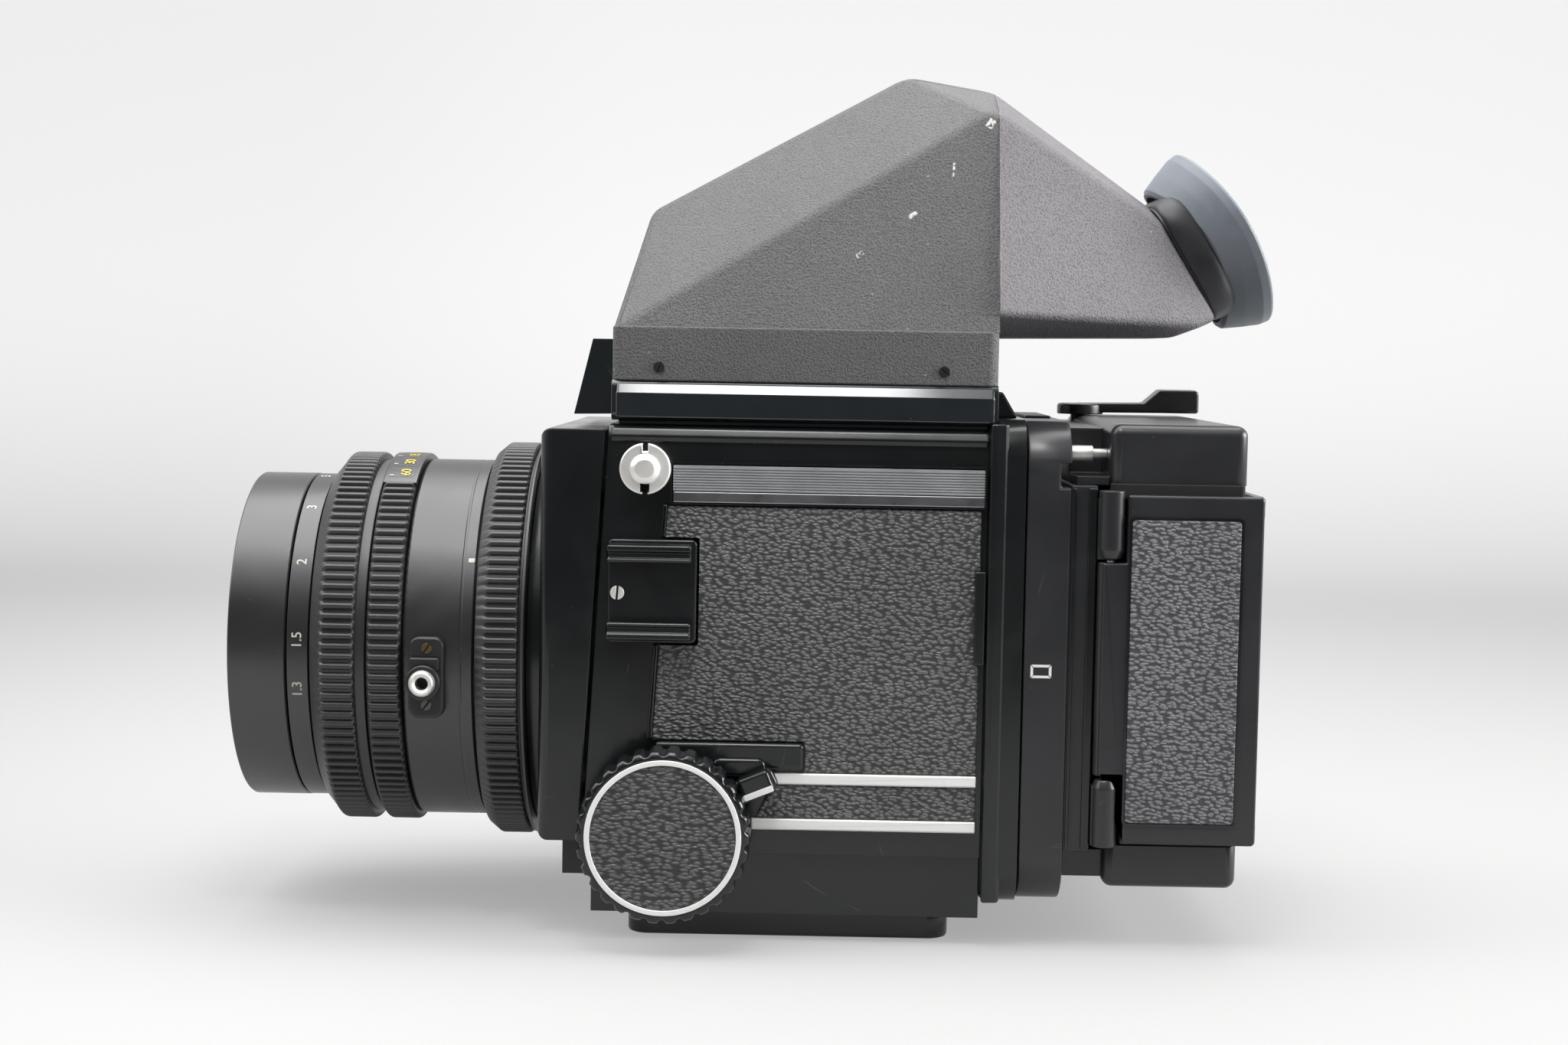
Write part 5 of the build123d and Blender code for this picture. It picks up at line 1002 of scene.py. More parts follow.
class Piece:
    """A mesh piece under construction, in millimetres."""

    def __init__(self, name: str) -> None:
        """Start an empty piece.

        Args:
            name: the object's name.
        """
        self.name = name
        self.points: list[Vector] = []
        self.faces: list[list[int]] = []
        self.faces_finish: list[int] = []
        self.finishes: list[Finish] = []

    def add(self, geometry: Geometry, finish: Finish) -> "Piece":
        """Add a solid in a finish.

        Args:
            geometry: points and faces of the solid.
            finish: its finish.

        Returns:
            The piece.
        """
        points, faces = geometry
        if finish not in self.finishes:
            self.finishes.append(finish)
        start = len(self.points)
        self.points.extend(points)
        self.faces.extend([start + index for index in face] for face in faces)
        self.faces_finish.extend([self.finishes.index(finish)] * len(faces))
        return self

    def add_pair(self, geometry: Geometry, finish: Finish) -> "Piece":
        """Add a solid of the left side and its twin on the right, and return the piece."""
        return self.add(geometry, finish).add(mirrored(geometry), finish)

    def build(self, body: str | None, *nodes: str, sharp: float = 38.0) -> bpy.types.Object:
        """Turn the piece into an object that rides on a body.

        Args:
            body: name of the body it moves with, or None to leave it on no body.
            nodes: frame nodes that it stands for.
            sharp: angle in degrees beyond which an edge stays sharp.

        Returns:
            The object.
        """
        mesh = bpy.data.meshes.new(self.name)
        mesh.from_pydata([tuple(point * MM) for point in self.points], [], self.faces)
        for finish in self.finishes:
            mesh.materials.append(finish.material())
        mesh.polygons.foreach_set("material_index", self.faces_finish)
        bm = bmesh.new()
        bm.from_mesh(mesh)
        caps = [face for face in bm.faces if len(face.verts) > 4]
        bmesh.ops.triangulate(bm, faces=caps, ngon_method="EAR_CLIP")
        bmesh.ops.recalc_face_normals(bm, faces=bm.faces[:])
        bm.to_mesh(mesh)
        bm.free()
        mesh.shade_smooth()
        mesh.set_sharp_from_angle(angle=math.radians(sharp))
        item = bpy.data.objects.new(self.name, mesh)
        bpy.context.collection.objects.link(item)
        weighted_normals(item)
        if body:
            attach(item, body)
        if nodes:
            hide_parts(*nodes)
        log.info("piece %s on %s", self.name, body or "two bodies")
        return item


def weighted_normals(item: bpy.types.Object) -> None:
    """Keep flat faces flat to the light beside their rounded rims."""
    weighted = item.modifiers.new("weighted", "WEIGHTED_NORMAL")
    weighted.keep_sharp = True
    weighted.weight = 80


def dress_node(node: str, finish: Finish, edge: float = 0.0, segments: int = 2) -> None:
    """Give a frame node its finish, and round its edges for the light.

    Args:
        node: the node's name.
        finish: its finish.
        edge: radius of the rounded edges in millimetres, or 0 to leave them.
        segments: steps in each rounded edge.
    """
    weld_gap, flat_below, sharp_from = 0.002, 0.5, 40.0
    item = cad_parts[node]
    item.data.materials.clear()
    item.data.materials.append(finish.material())
    if edge:
        weld = item.modifiers.new("weld", "WELD")
        weld.merge_threshold = weld_gap * MM
        planar = item.modifiers.new("planar", "DECIMATE")
        planar.decimate_type = "DISSOLVE"
        planar.angle_limit = math.radians(flat_below)
        bevel = item.modifiers.new("edges", "BEVEL")
        bevel.width = edge * MM
        bevel.segments = segments
        bevel.limit_method = "ANGLE"
        bevel.angle_limit = math.radians(sharp_from)
    log.info("node %s dressed in %s", node, finish.name)


def outline_ring(corners: Sequence[Corner], width: float, low: float, high: float) -> Geometry:
    """Raised line round a closed outline on the left side.

    Args:
        corners: outer outline in X and Z.
        width: width of the line.
        low: Y of its foot.
        high: Y of its top.

    Returns:
        Points and faces.
    """
    outer = rounded(corners, 4)
    inner = shrunk(outer, width)
    rings = [[Plane.SIDE.at(u, v, y) for u, v in outline]
             for outline, y in ((outer, low), (outer, high), (inner, high), (inner, low))]
    return loft(rings, looped=True)


def slotted_screw(x: float, z: float, y: float, radius: float, proud: float,
                  turn: float) -> tuple[Geometry, Geometry]:
    """Cheese-head screw on the left side with a cut slot.

    Args:
        x: place of its axis.
        z: height of its axis.
        y: surface that it sits on.
        radius: head radius.
        proud: height of the head.
        turn: angle of the slot from upright, in degrees.

    Returns:
        The head, and the floor of its slot, which the callers paint flat black as painted shade.
    """
    slot_half = radius * 0.16
    slot_end = radius * 0.97
    slot_floor = y - proud * 0.35
    count = 14
    start = math.asin(slot_half / radius)
    arc = []
    for step in range(count + 1):
        angle = start + (math.pi - 2 * start) * step / count
        arc.append((max(slot_half, radius * math.sin(angle)), radius * math.cos(angle), 0.0))
    other = [(-u, v, edge) for u, v, edge in reversed(arc)]
    halves: Geometry = ([], [])
    for corners in (other, arc):
        points, faces = prism(Plane.SIDE, corners, y - proud, y, edge=0.0, low_edge=proud * 0.25)
        shift = len(halves[0])
        halves[0].extend(points)
        halves[1].extend([shift + index for index in face] for face in faces)
    floor = prism(Plane.SIDE, rectangle(-slot_half, slot_half, -slot_end, slot_end), slot_floor, y, 0.0)
    return turned_about_y(halves, turn, x, z), turned_about_y(floor, turn, x, z)


def turned_about_y(geometry: Geometry, turn: float, x: float, z: float) -> Geometry:
    """Geometry turned by degrees about the Y axis, then moved to a place in X and Z."""
    spin = Matrix.Rotation(math.radians(turn), 4, "Y")
    centre = Vector((x, 0, z))
    return moved(geometry, lambda point: spin @ point + centre)


def on_barrel(geometry: Geometry, station: float, radius: float, angle: float) -> Geometry:
    """Wrap flat figures round the lens, reading upwards.

    Args:
        geometry: figures in X and Y, with their thickness in Z.
        station: X of their middle.
        radius: radius of the barrel.
        angle: where their middle lies, in degrees up from the left side.

    Returns:
        Points and faces.
    """
    middle = math.radians(angle)

    def place(point: Vector) -> Vector:
        """Place on the barrel of a point of the flat figures."""
        return LENS.at(station - point.y, radius + point.z, -(middle + point.x / radius))

    return moved(geometry, place)


# Studio


@dataclass(frozen=True)
class SoftBox:
    """A rectangular lamp: where it hangs, where it points, its size, power and spread."""

    name: str
    place: Corner
    target: Corner
    width: float
    depth: float
    power: float
    spread: float = 180.0

    def build(self) -> None:
        """Hang the lamp."""
        lamp = bpy.data.lights.new(self.name, "AREA")
        lamp.shape = "RECTANGLE"
        lamp.size = self.width * MM
        lamp.size_y = self.depth * MM
        lamp.energy = self.power
        lamp.spread = math.radians(self.spread)
        holder = bpy.data.objects.new(self.name, lamp)
        bpy.context.collection.objects.link(holder)
        holder.location = Vector(self.place) * MM
        aim = Vector(self.target) - Vector(self.place)
        holder.rotation_euler = aim.to_track_quat("-Z", "Y").to_euler()


@dataclass
class StudioSet:
    """Pale sweep, soft lamps and the camera."""

    eye: Corner = (1.25, -595.0, 137.4)
    pitch: float = 4.1
    yaw: float = 0.4
    roll: float = 1.02
    focal: float = 55.0
    sensor_w: float = 36.0
    view_from_m: float = 0.01
    view_to_m: float = 50.0
    sweep_half_w: float = 4500.0
    sweep_front: float = -420.0
    sweep_rear: float = 900.0
    sweep_radius: float = 900.0
    sweep_top: float = 3600.0
    sweep_steps: int = 24
    paper: Colour = (0.25, 0.25, 0.248)
    # Painted shade: colour of the paper at the left, darker than the rest.
    paper_shaded_left: Colour = (0.17, 0.17, 0.169)
    left_from: float = -480.0
    left_to: float = -120.0
    fibre_per_mm: float = 0.004
    floor_glow: float = 0.36
    wall_glow: float = 0.78
    wall_from: float = 650.0
    wall_to: float = 1500.0
    room_front: float = 0.1
    room_rear: float = 0.8
    room_top: float = 0.9
    room_seen: float = 0.93
    lamps: tuple[SoftBox, ...] = (
        SoftBox("front_strip", (-15.0, -330.0, 640.0), (-15.0, -40.0, 90.0), 140.0, 140.0, 1.1),
        SoftBox("front_fill", (-150.0, -700.0, 900.0), (0.0, 0.0, 90.0), 1000.0, 600.0, 1.8),
        SoftBox("top_softbox", (-100.0, 120.0, 1000.0), (0.0, 0.0, 80.0), 1300.0, 900.0, 14.5),
        SoftBox("left_softbox", (-900.0, -200.0, 760.0), (0.0, 0.0, 90.0), 700.0, 700.0, 5.5),
        SoftBox("tunnel_softbox", (950.0, -120.0, 380.0), (90.0, -30.0, 160.0), 700.0, 500.0, 3.0, 70.0),
    )

    def build(self) -> None:
        """Make the sweep, the lamps, the world and the camera."""
        self.build_sweep()
        for lamp in self.lamps:
            lamp.build()
        self.build_world()
        self.build_camera()
        bpy.context.scene.view_settings.view_transform = "Standard"
        log.info("studio set ready")

    def build_sweep(self) -> None:
        """Floor that curves up into the backdrop."""
        profile = [(self.sweep_front, 0.0), (0.0, 0.0), (self.sweep_rear, 0.0)]
        for step in range(1, self.sweep_steps + 1):
            angle = math.pi / 2 * step / self.sweep_steps
            profile.append((self.sweep_rear + self.sweep_radius * math.sin(angle),
                            self.sweep_radius * (1 - math.cos(angle))))
        profile.append((self.sweep_rear + self.sweep_radius, self.sweep_top))
        mesh = bpy.data.meshes.new("paper_sweep")
        points = [(side * self.sweep_half_w * MM, y * MM, z * MM) for y, z in profile for side in (-1, 1)]
        faces = [(2 * row, 2 * row + 1, 2 * row + 3, 2 * row + 2) for row in range(len(profile) - 1)]
        mesh.from_pydata(points, [], faces)
        mesh.shade_smooth()
        mesh.materials.append(new_material("studio_paper", self.dress_paper))
        sweep = bpy.data.objects.new("paper_sweep", mesh)
        bpy.context.collection.objects.link(sweep)

    def dress_paper(self, graph: Graph) -> dict[str, object]:
        """Matt white paper that shows pale to the camera and in reflections, with painted shade: greyer
        towards the left.

        Args:
            graph: the material's tree.

        Returns:
            Value or socket for each shader input.
        """
        fibre = graph.noise(graph.place((self.fibre_per_mm,) * 3), Detail=3.0)["Fac"]
        paper = graph.layers(self.paper, (fibre, dimmed(self.paper, 0.985)))
        parts = graph.add("SeparateXYZ", {"Vector": graph.place((1.0, 1.0, 1.0))}).outputs
        glow = graph.ramp(parts["Y"], self.wall_from, self.wall_to, self.floor_glow, self.wall_glow)
        # Painted shade: the paper's colour falls to a darker grey towards the left.
        right = graph.ramp(parts["X"], self.left_from, self.left_to)
        return {"Base Color": graph.layers(self.paper_shaded_left, (right, paper)), "Roughness": 0.9,
                "Specular IOR Level": 0.2, "Emission Color": (1.0, 1.0, 1.0, 1.0),
                "Emission Strength": graph.times(seen_rays(graph), glow)}

    def build_world(self) -> None:
        """Pale room, darker on the camera's side, where the real room is dim."""
        world = bpy.data.worlds.new("pale_room")
        world.use_nodes = True
        world.node_tree.nodes.clear()
        graph = Graph(world.node_tree)
        direction = graph.add("TexCoord").outputs["Generated"]
        parts = graph.add("SeparateXYZ", {"Vector": direction}).outputs
        deep = graph.ramp(parts["Y"], -0.5, 0.3, self.room_front, self.room_rear)
        bright = graph.math("MAXIMUM", deep, graph.ramp(parts["Z"], 0.55, 0.95, 0.0, self.room_top))
        white = graph.add("LightPath").outputs["Is Camera Ray"]
        level = graph.math("MAXIMUM", bright, graph.times(white, self.room_seen))
        back = graph.add("Background", {"Color": (1.0, 1.0, 1.0, 1.0), "Strength": level})
        graph.add("OutputWorld", {"Surface": back.outputs["Background"]})
        bpy.context.scene.world = world

    def build_camera(self) -> None:
        """Camera at the photograph's viewpoint."""
        pitch, yaw, roll = (math.radians(turn) for turn in (self.pitch, self.yaw, self.roll))
        level = Vector((math.cos(yaw), math.sin(yaw), 0))
        ahead = Vector((-math.sin(yaw), math.cos(yaw), 0))
        forward = ahead * math.cos(pitch) - Vector((0, 0, math.sin(pitch)))
        upright = level.cross(forward)
        right = level * math.cos(roll) + upright * math.sin(roll)
        up = upright * math.cos(roll) - level * math.sin(roll)
        lens = bpy.data.cameras.new("photo_view")
        lens.lens = self.focal
        lens.sensor_width = self.sensor_w
        lens.clip_start = self.view_from_m
        lens.clip_end = self.view_to_m
        holder = bpy.data.objects.new("photo_view", lens)
        bpy.context.collection.objects.link(holder)
        turn = Matrix((right, up, -forward)).transposed().to_4x4()
        holder.matrix_world = Matrix.Translation(Vector(self.eye) * MM) @ turn
        bpy.context.scene.camera = holder


def seen_rays(graph: Graph) -> Socket:
    """1 for camera, glossy and transmission rays, and 0 for the rest."""
    path = graph.add("LightPath").outputs
    direct = graph.math("MAXIMUM", path["Is Camera Ray"], path["Is Glossy Ray"])
    return graph.math("MAXIMUM", direct, path["Is Transmission Ray"])


# Lens


@dataclass
class LensAssembly:
    """Lens on the front standard, with its setting rings."""

    rim_r: float = 40.0
    thread_r: float = 38.2
    bore_r: float = 34.0
    ribs: int = 120
    bayonet_ribs: int = 128
    rib_h: float = 0.9
    rib_steps: int = 8
    rib_half_w: float = 0.36
    bore: float = 40.45
    baffle_turns: int = 5
    thread_turns: int = 5
    blades: int = 5

    def build(self) -> None:
        """Make all pieces of the lens."""
        self.build_front_barrel()
        self.build_distance_ring()
        self.build_aperture_ring()
        self.build_speed_ring()
        self.build_bayonet_ring()
        self.build_fixed_barrel()
        self.build_socket()
        self.build_glass()

    def ribbed(self, count: int, stations: Sequence[Corner]) -> Geometry:
        """Ring whose relief is a row of rounded ribs.

        Args:
            count: number of ribs.
            stations: closed half profile, with the share of the rib at each point.

        Returns:
            Points and faces.
        """
        def relief(angle: float) -> float:
            """Height of the ribs at an angle."""
            phase = (angle * count / math.tau + 0.5) % 1.0 - 0.5
            return self.rib_h * math.sqrt(max(0.0, 1.0 - (phase / self.rib_half_w) ** 2))

        return lathe(LENS, stations, count * self.rib_steps, relief)

    def build_front_barrel(self) -> None:
        """Rim with its filter thread, and the baffle round the front glass."""
        profile: list[Corner] = [(-132.4, 38.75, 0), (-132.4, 39.4, 0), (-132.25, 39.75, 0),
                                 (-131.9, self.rim_r, 0), (-119.1, self.rim_r, 0),
                                 (-118.85, 39.8, 0), (-118.7, 39.5, 0),
                                 (-118.7, self.bore_r, 0), (-123.6, self.bore_r, 0)]
        for step in range(self.baffle_turns):
            station = -124.2 - step * 0.8
            profile += [(station, 34.3 + 0.6 * step, 0), (station - 0.35, 34.35 + 0.6 * step, 0)]
        profile += [(-128.4, 37.3, 0), (-128.4, 38.2, 0)]
        for step in range(self.thread_turns):
            station = -128.5 - step * 0.75
            profile += [(station, self.thread_r, 0), (station - 0.37, self.thread_r + 0.45, 0)]
        Piece("lens_rim").add(lathe(LENS, profile, 192), LENS_BLACK).build("standard", "front_barrel")

    def build_distance_ring(self) -> None:
        """Smooth band with the distances."""
        band = turned(LENS, [(-118.4, 37.25, 0.0), (-118.4, 39.9, 0.25), (-113.35, 39.9, 0.25),
                             (-113.35, 37.25, 0.0)], 192)
        distance = Piece("distance_band").add(band, LENS_BLACK)
        for text, angle in (("1.3", -12.6), ("1.5", 4.3), ("2", 31.5), ("3", 55.7), ("5", 82.0),
                            ("10", 112.0)):
            distance.add(on_barrel(glyphs(text, 2.3, 0.08), -115.9, 39.93, angle), IVORY_PAINT)
        distance.build("range_ring", "distance_ring")

    def build_aperture_ring(self) -> None:
        """Ribbed ring with a sloping nose."""
        nose: list[Corner] = [(-112.75, self.bore, 0), (-112.75, 41.1, 0), (-112.5, 41.5, 0),
                              (-110.9, 43.4, 0), (-110.2, 44.2, 0), (-109.9, 44.45, 0.35),
                              (-109.4, 44.6, 0.85), (-108.9, 44.6, 1), (-102.6, 44.6, 1),
                              (-102.2, 44.55, 0.8), (-101.95, 44.4, 0.3), (-101.8, 44.1, 0),
                              (-101.7, 43.6, 0), (-99.7, 43.5, 0), (-99.45, 43.2, 0), (-99.4, self.bore, 0)]
        Piece("aperture_grip").add(self.ribbed(self.ribs, nose), GRIP_BLACK).build(
            "stop_ring", "aperture_ring", sharp=50)

    def build_speed_ring(self) -> None:
        """Ribbed ring with a smooth patch that carries its figures."""
        grip: list[Corner] = [(-99.1, self.bore, 0), (-99.1, 43.6, 0), (-98.95, 44.2, 0), (-98.7, 44.5, 0.4),
                              (-98.2, 44.6, 0.9), (-97.8, 44.6, 1), (-91.9, 44.6, 1), (-91.5, 44.55, 0.8),
                              (-91.2, 44.4, 0.3), (-91.0, 44.0, 0), (-90.9, self.bore, 0)]
        speed = Piece("shutter_speed_grip").add(self.ribbed(self.ribs, grip), GRIP_BLACK)
        speed.add(self.window_patch(), LENS_BLACK)
        tick = prism(Plane.TOP, rectangle(-0.12, 0.12, -0.5, 0.5), 0.0, 0.06, 0.0)
        for index, text in enumerate(("60", "30", "15", "8", "4", "2", "1")):
            angle = 66.0 + 8.4 * index
            speed.add(on_barrel(glyphs(text, 2.4, 0.08), -94.0, 45.52, angle), YELLOW_PAINT)
            speed.add(on_barrel(tick, -97.3, 45.5, angle - 2.0), WHITE_PAINT)
        speed.build("speed_ring", "shutter_speed_ring", sharp=50)

    def build_bayonet_ring(self) -> None:
        """Ribbed locking ring with a collar behind it."""
        lock: list[Corner] = [(-73.6, 41.85, 0), (-73.6, 45.9, 0), (-73.4, 46.3, 0), (-71.6, 47.5, 0.35),
                              (-71.0, 47.6, 0.8), (-70.5, 47.6, 1), (-64.2, 47.6, 1), (-63.8, 47.55, 0.9),
                              (-63.55, 47.4, 0.5), (-63.5, 46.6, 0), (-63.0, 46.5, 0), (-62.9, 48.0, 0),
                              (-62.7, 48.2, 0), (-62.2, 48.2, 0), (-62.1, 48.0, 0), (-62.1, 41.85, 0)]
        Piece("bayonet_grip").add(self.ribbed(self.bayonet_ribs, lock), GRIP_BLACK).build(
            "bayonet", "bayonet_ring", sharp=50)

    def window_patch(self) -> Geometry:
        """Smooth patch on top of the shutter speed ring.

        Returns:
            Points and faces.
        """
        first, last, steps = math.radians(60), math.radians(122), 48
        section = ((-99.05, 43.5), (-99.05, 45.2), (-98.8, 45.45), (-91.3, 45.45), (-91.0, 45.2),
                   (-91.0, 43.5))
        return loft([[LENS.at(x, radius, -(first + (last - first) * step / steps)) for x, radius in section]
                     for step in range(steps + 1)])

    def build_fixed_barrel(self) -> None:
        """Fixed barrel, its seats under the rings and its rear spigot."""
        profile = [(-118.7, 34.0, 0.0), (-118.7, 37.0, 0.2), (-113.0, 37.0, 0.0), (-113.0, 40.2, 0.2),
                   (-90.6, 40.2, 0.0), (-90.6, 43.7, 0.3), (-90.0, 44.0, 0.2), (-77.6, 44.0, 0.1),
                   (-77.4, 43.85, 0.0), (-77.1, 43.85, 0.0), (-76.9, 44.0, 0.1), (-74.6, 44.0, 0.2),
                   (-74.3, 43.7, 0.1), (-74.3, 41.6, 0.0), (-61.8, 41.6, 0.0), (-61.8, 34.8, 0.0),
                   (-52.0, 34.8, 0.5), (-52.0, 30.0, 0.3), (-67.0, 30.0, 0.0), (-67.0, 33.0, 0.0),
                   (-113.3, 33.0, 0.0), (-113.3, 34.0, 0.0)]
        barrel = Piece("fixed_barrel").add(turned(LENS, profile, 256), BARREL_BLACK)
        dot = prism(Plane.TOP, rectangle(-0.55, 0.55, -0.75, 0.75, 0.3), 0.0, 0.12, 0.05)
        barrel.add(on_barrel(dot, -75.4, 44.0, 30.3), IVORY_PAINT)
        barrel.build("standard", "lens_barrel")

    def build_socket(self) -> None:
        """Cable release socket on its plate, with two screws."""
        foot = -46.0
        plate = Piece("socket_pad")
        for corners, low, high, edge in ((rectangle(-88.8, -80.6, 51.0, 70.0, 2.4), foot, -41.0, 0.7),
                                         (rectangle(-88.6, -81.6, 62.2, 65.3, 0.6), foot - 1.2, foot, 0.5)):
            plate.add(prism(Plane.SIDE, corners, low, high, 0.0, edge), SATIN_BLACK)
        axis = Spindle(Vector((-85.2, foot, 59.6)), Vector((0, -1, 0)), Vector((1, 0, 0)))
        plate.add(turned(axis, [(-0.5, 2.9, 0.0), (-0.5, 4.1, 0.0), (2.6, 4.1, 0.5), (2.6, 2.9, 0.1)], 64),
                  SATIN_BLACK)
        plate.build("standard", "socket_plate")
        tube = turned(axis, [(-0.2, 1.5, 0.0), (-0.2, 3.0, 0.0), (3.6, 3.0, 0.0), (4.3, 2.5, 0.2),
                             (4.3, 2.1, 0.1), (3.7, 1.5, 0.0)], 64)
        # Flat black disc just inside the socket's bore: painted shade.
        floor = turned(axis, [(0.3, 0.05, 0.0), (0.7, 0.05, 0.0), (0.7, 1.52, 0.0), (0.3, 1.52, 0.0)], 48)
        socket = Piece("cable_socket").add(tube, SATIN_SILVER).add(floor, FLAT_BLACK_AND_SHADE)
        socket.build("standard", "mirror_up_socket")
        screws = Piece("pad_screws")
        for z, finish in ((54.2, STEEL_DARK), (67.4, BRASS_DARK)):
            head, slot = slotted_screw(-84.6, z, foot, 1.2, 0.25, 35.0)
            # The slot floor in flat black is painted shade.
            screws.add(head, finish).add(slot, FLAT_BLACK_AND_SHADE)
        screws.build("standard", "socket_screws")

    def build_glass(self) -> None:
        """Lens elements and the shutter housing."""
        dress_node("front_glass", LENS_GLASS)
        dress_node("rear_glass", LENS_GLASS)
        dress_node("shutter_unit", FLAT_BLACK_AND_SHADE)
        blades = Piece("shutter_blades")
        for index in range(self.blades):
            start = math.tau * index / self.blades
            tip = [LENS.at(-89.0 - 0.16 * index, radius, start + turn)
                   for radius, turn in ((0.4, 2.4), (11.6, -0.25), (12.2, 0.3), (12.2, 0.9), (11.6, 1.4))]
            lifted = [point + Vector((-0.12, 0, 0)) for point in tip]
            blades.add(loft([tip, lifted]), SATIN_BLACK)
        blades.build("standard")


# Front standard and bellows


@dataclass
class FrontStandardAssembly:
    """Lens board on its racks, and the bellows behind it."""

    seat_x: float = -50.0
    rear_x: float = -36.0
    half_w: float = 38.0
    low_z: float = 38.0
    high_z: float = 100.0
    folds: int = 9
    depth: float = 3.4
    peak_inset: float = 0.2
    cloth_t: float = 1.6
    corner_r: float = 4.0

    def build(self) -> None:
        """Make the standard's pieces."""
        dress_node("front_standard", GLOSS_BLACK, 0.5)
        dress_node("focus_racks", SATIN_BLACK, 0.1, 1)
        self.build_bellows()

    def build_bellows(self) -> None:
        """Folded cloth tube between the standard and the body."""
        stations = []
        for index in range(2 * self.folds + 1):
            x = self.seat_x + (self.rear_x - self.seat_x) * index / (2 * self.folds)
            stations.append((x, self.peak_inset if index % 2 else self.depth))
        outer = [self.ring(x, inset) for x, inset in stations]
        inner = [self.ring(x, self.cloth_t + inset) for x, inset in reversed(stations)]
        cloth = Piece("bellows_folds").add(loft(outer + inner, looped=True), BELLOWS_CLOTH)
        piece = cloth.build(None, "bellows", sharp=60)
        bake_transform(piece)

    def ring(self, x: float, inset: float) -> list[Vector]:
        """Rounded rectangle of the bellows at a station."""
        half = self.half_w - inset
        corners = rectangle(-half, half, self.low_z + inset, self.high_z - inset, self.corner_r)
        return [Plane.END.at(u, v, x) for u, v in rounded(corners, 4)]


# Body


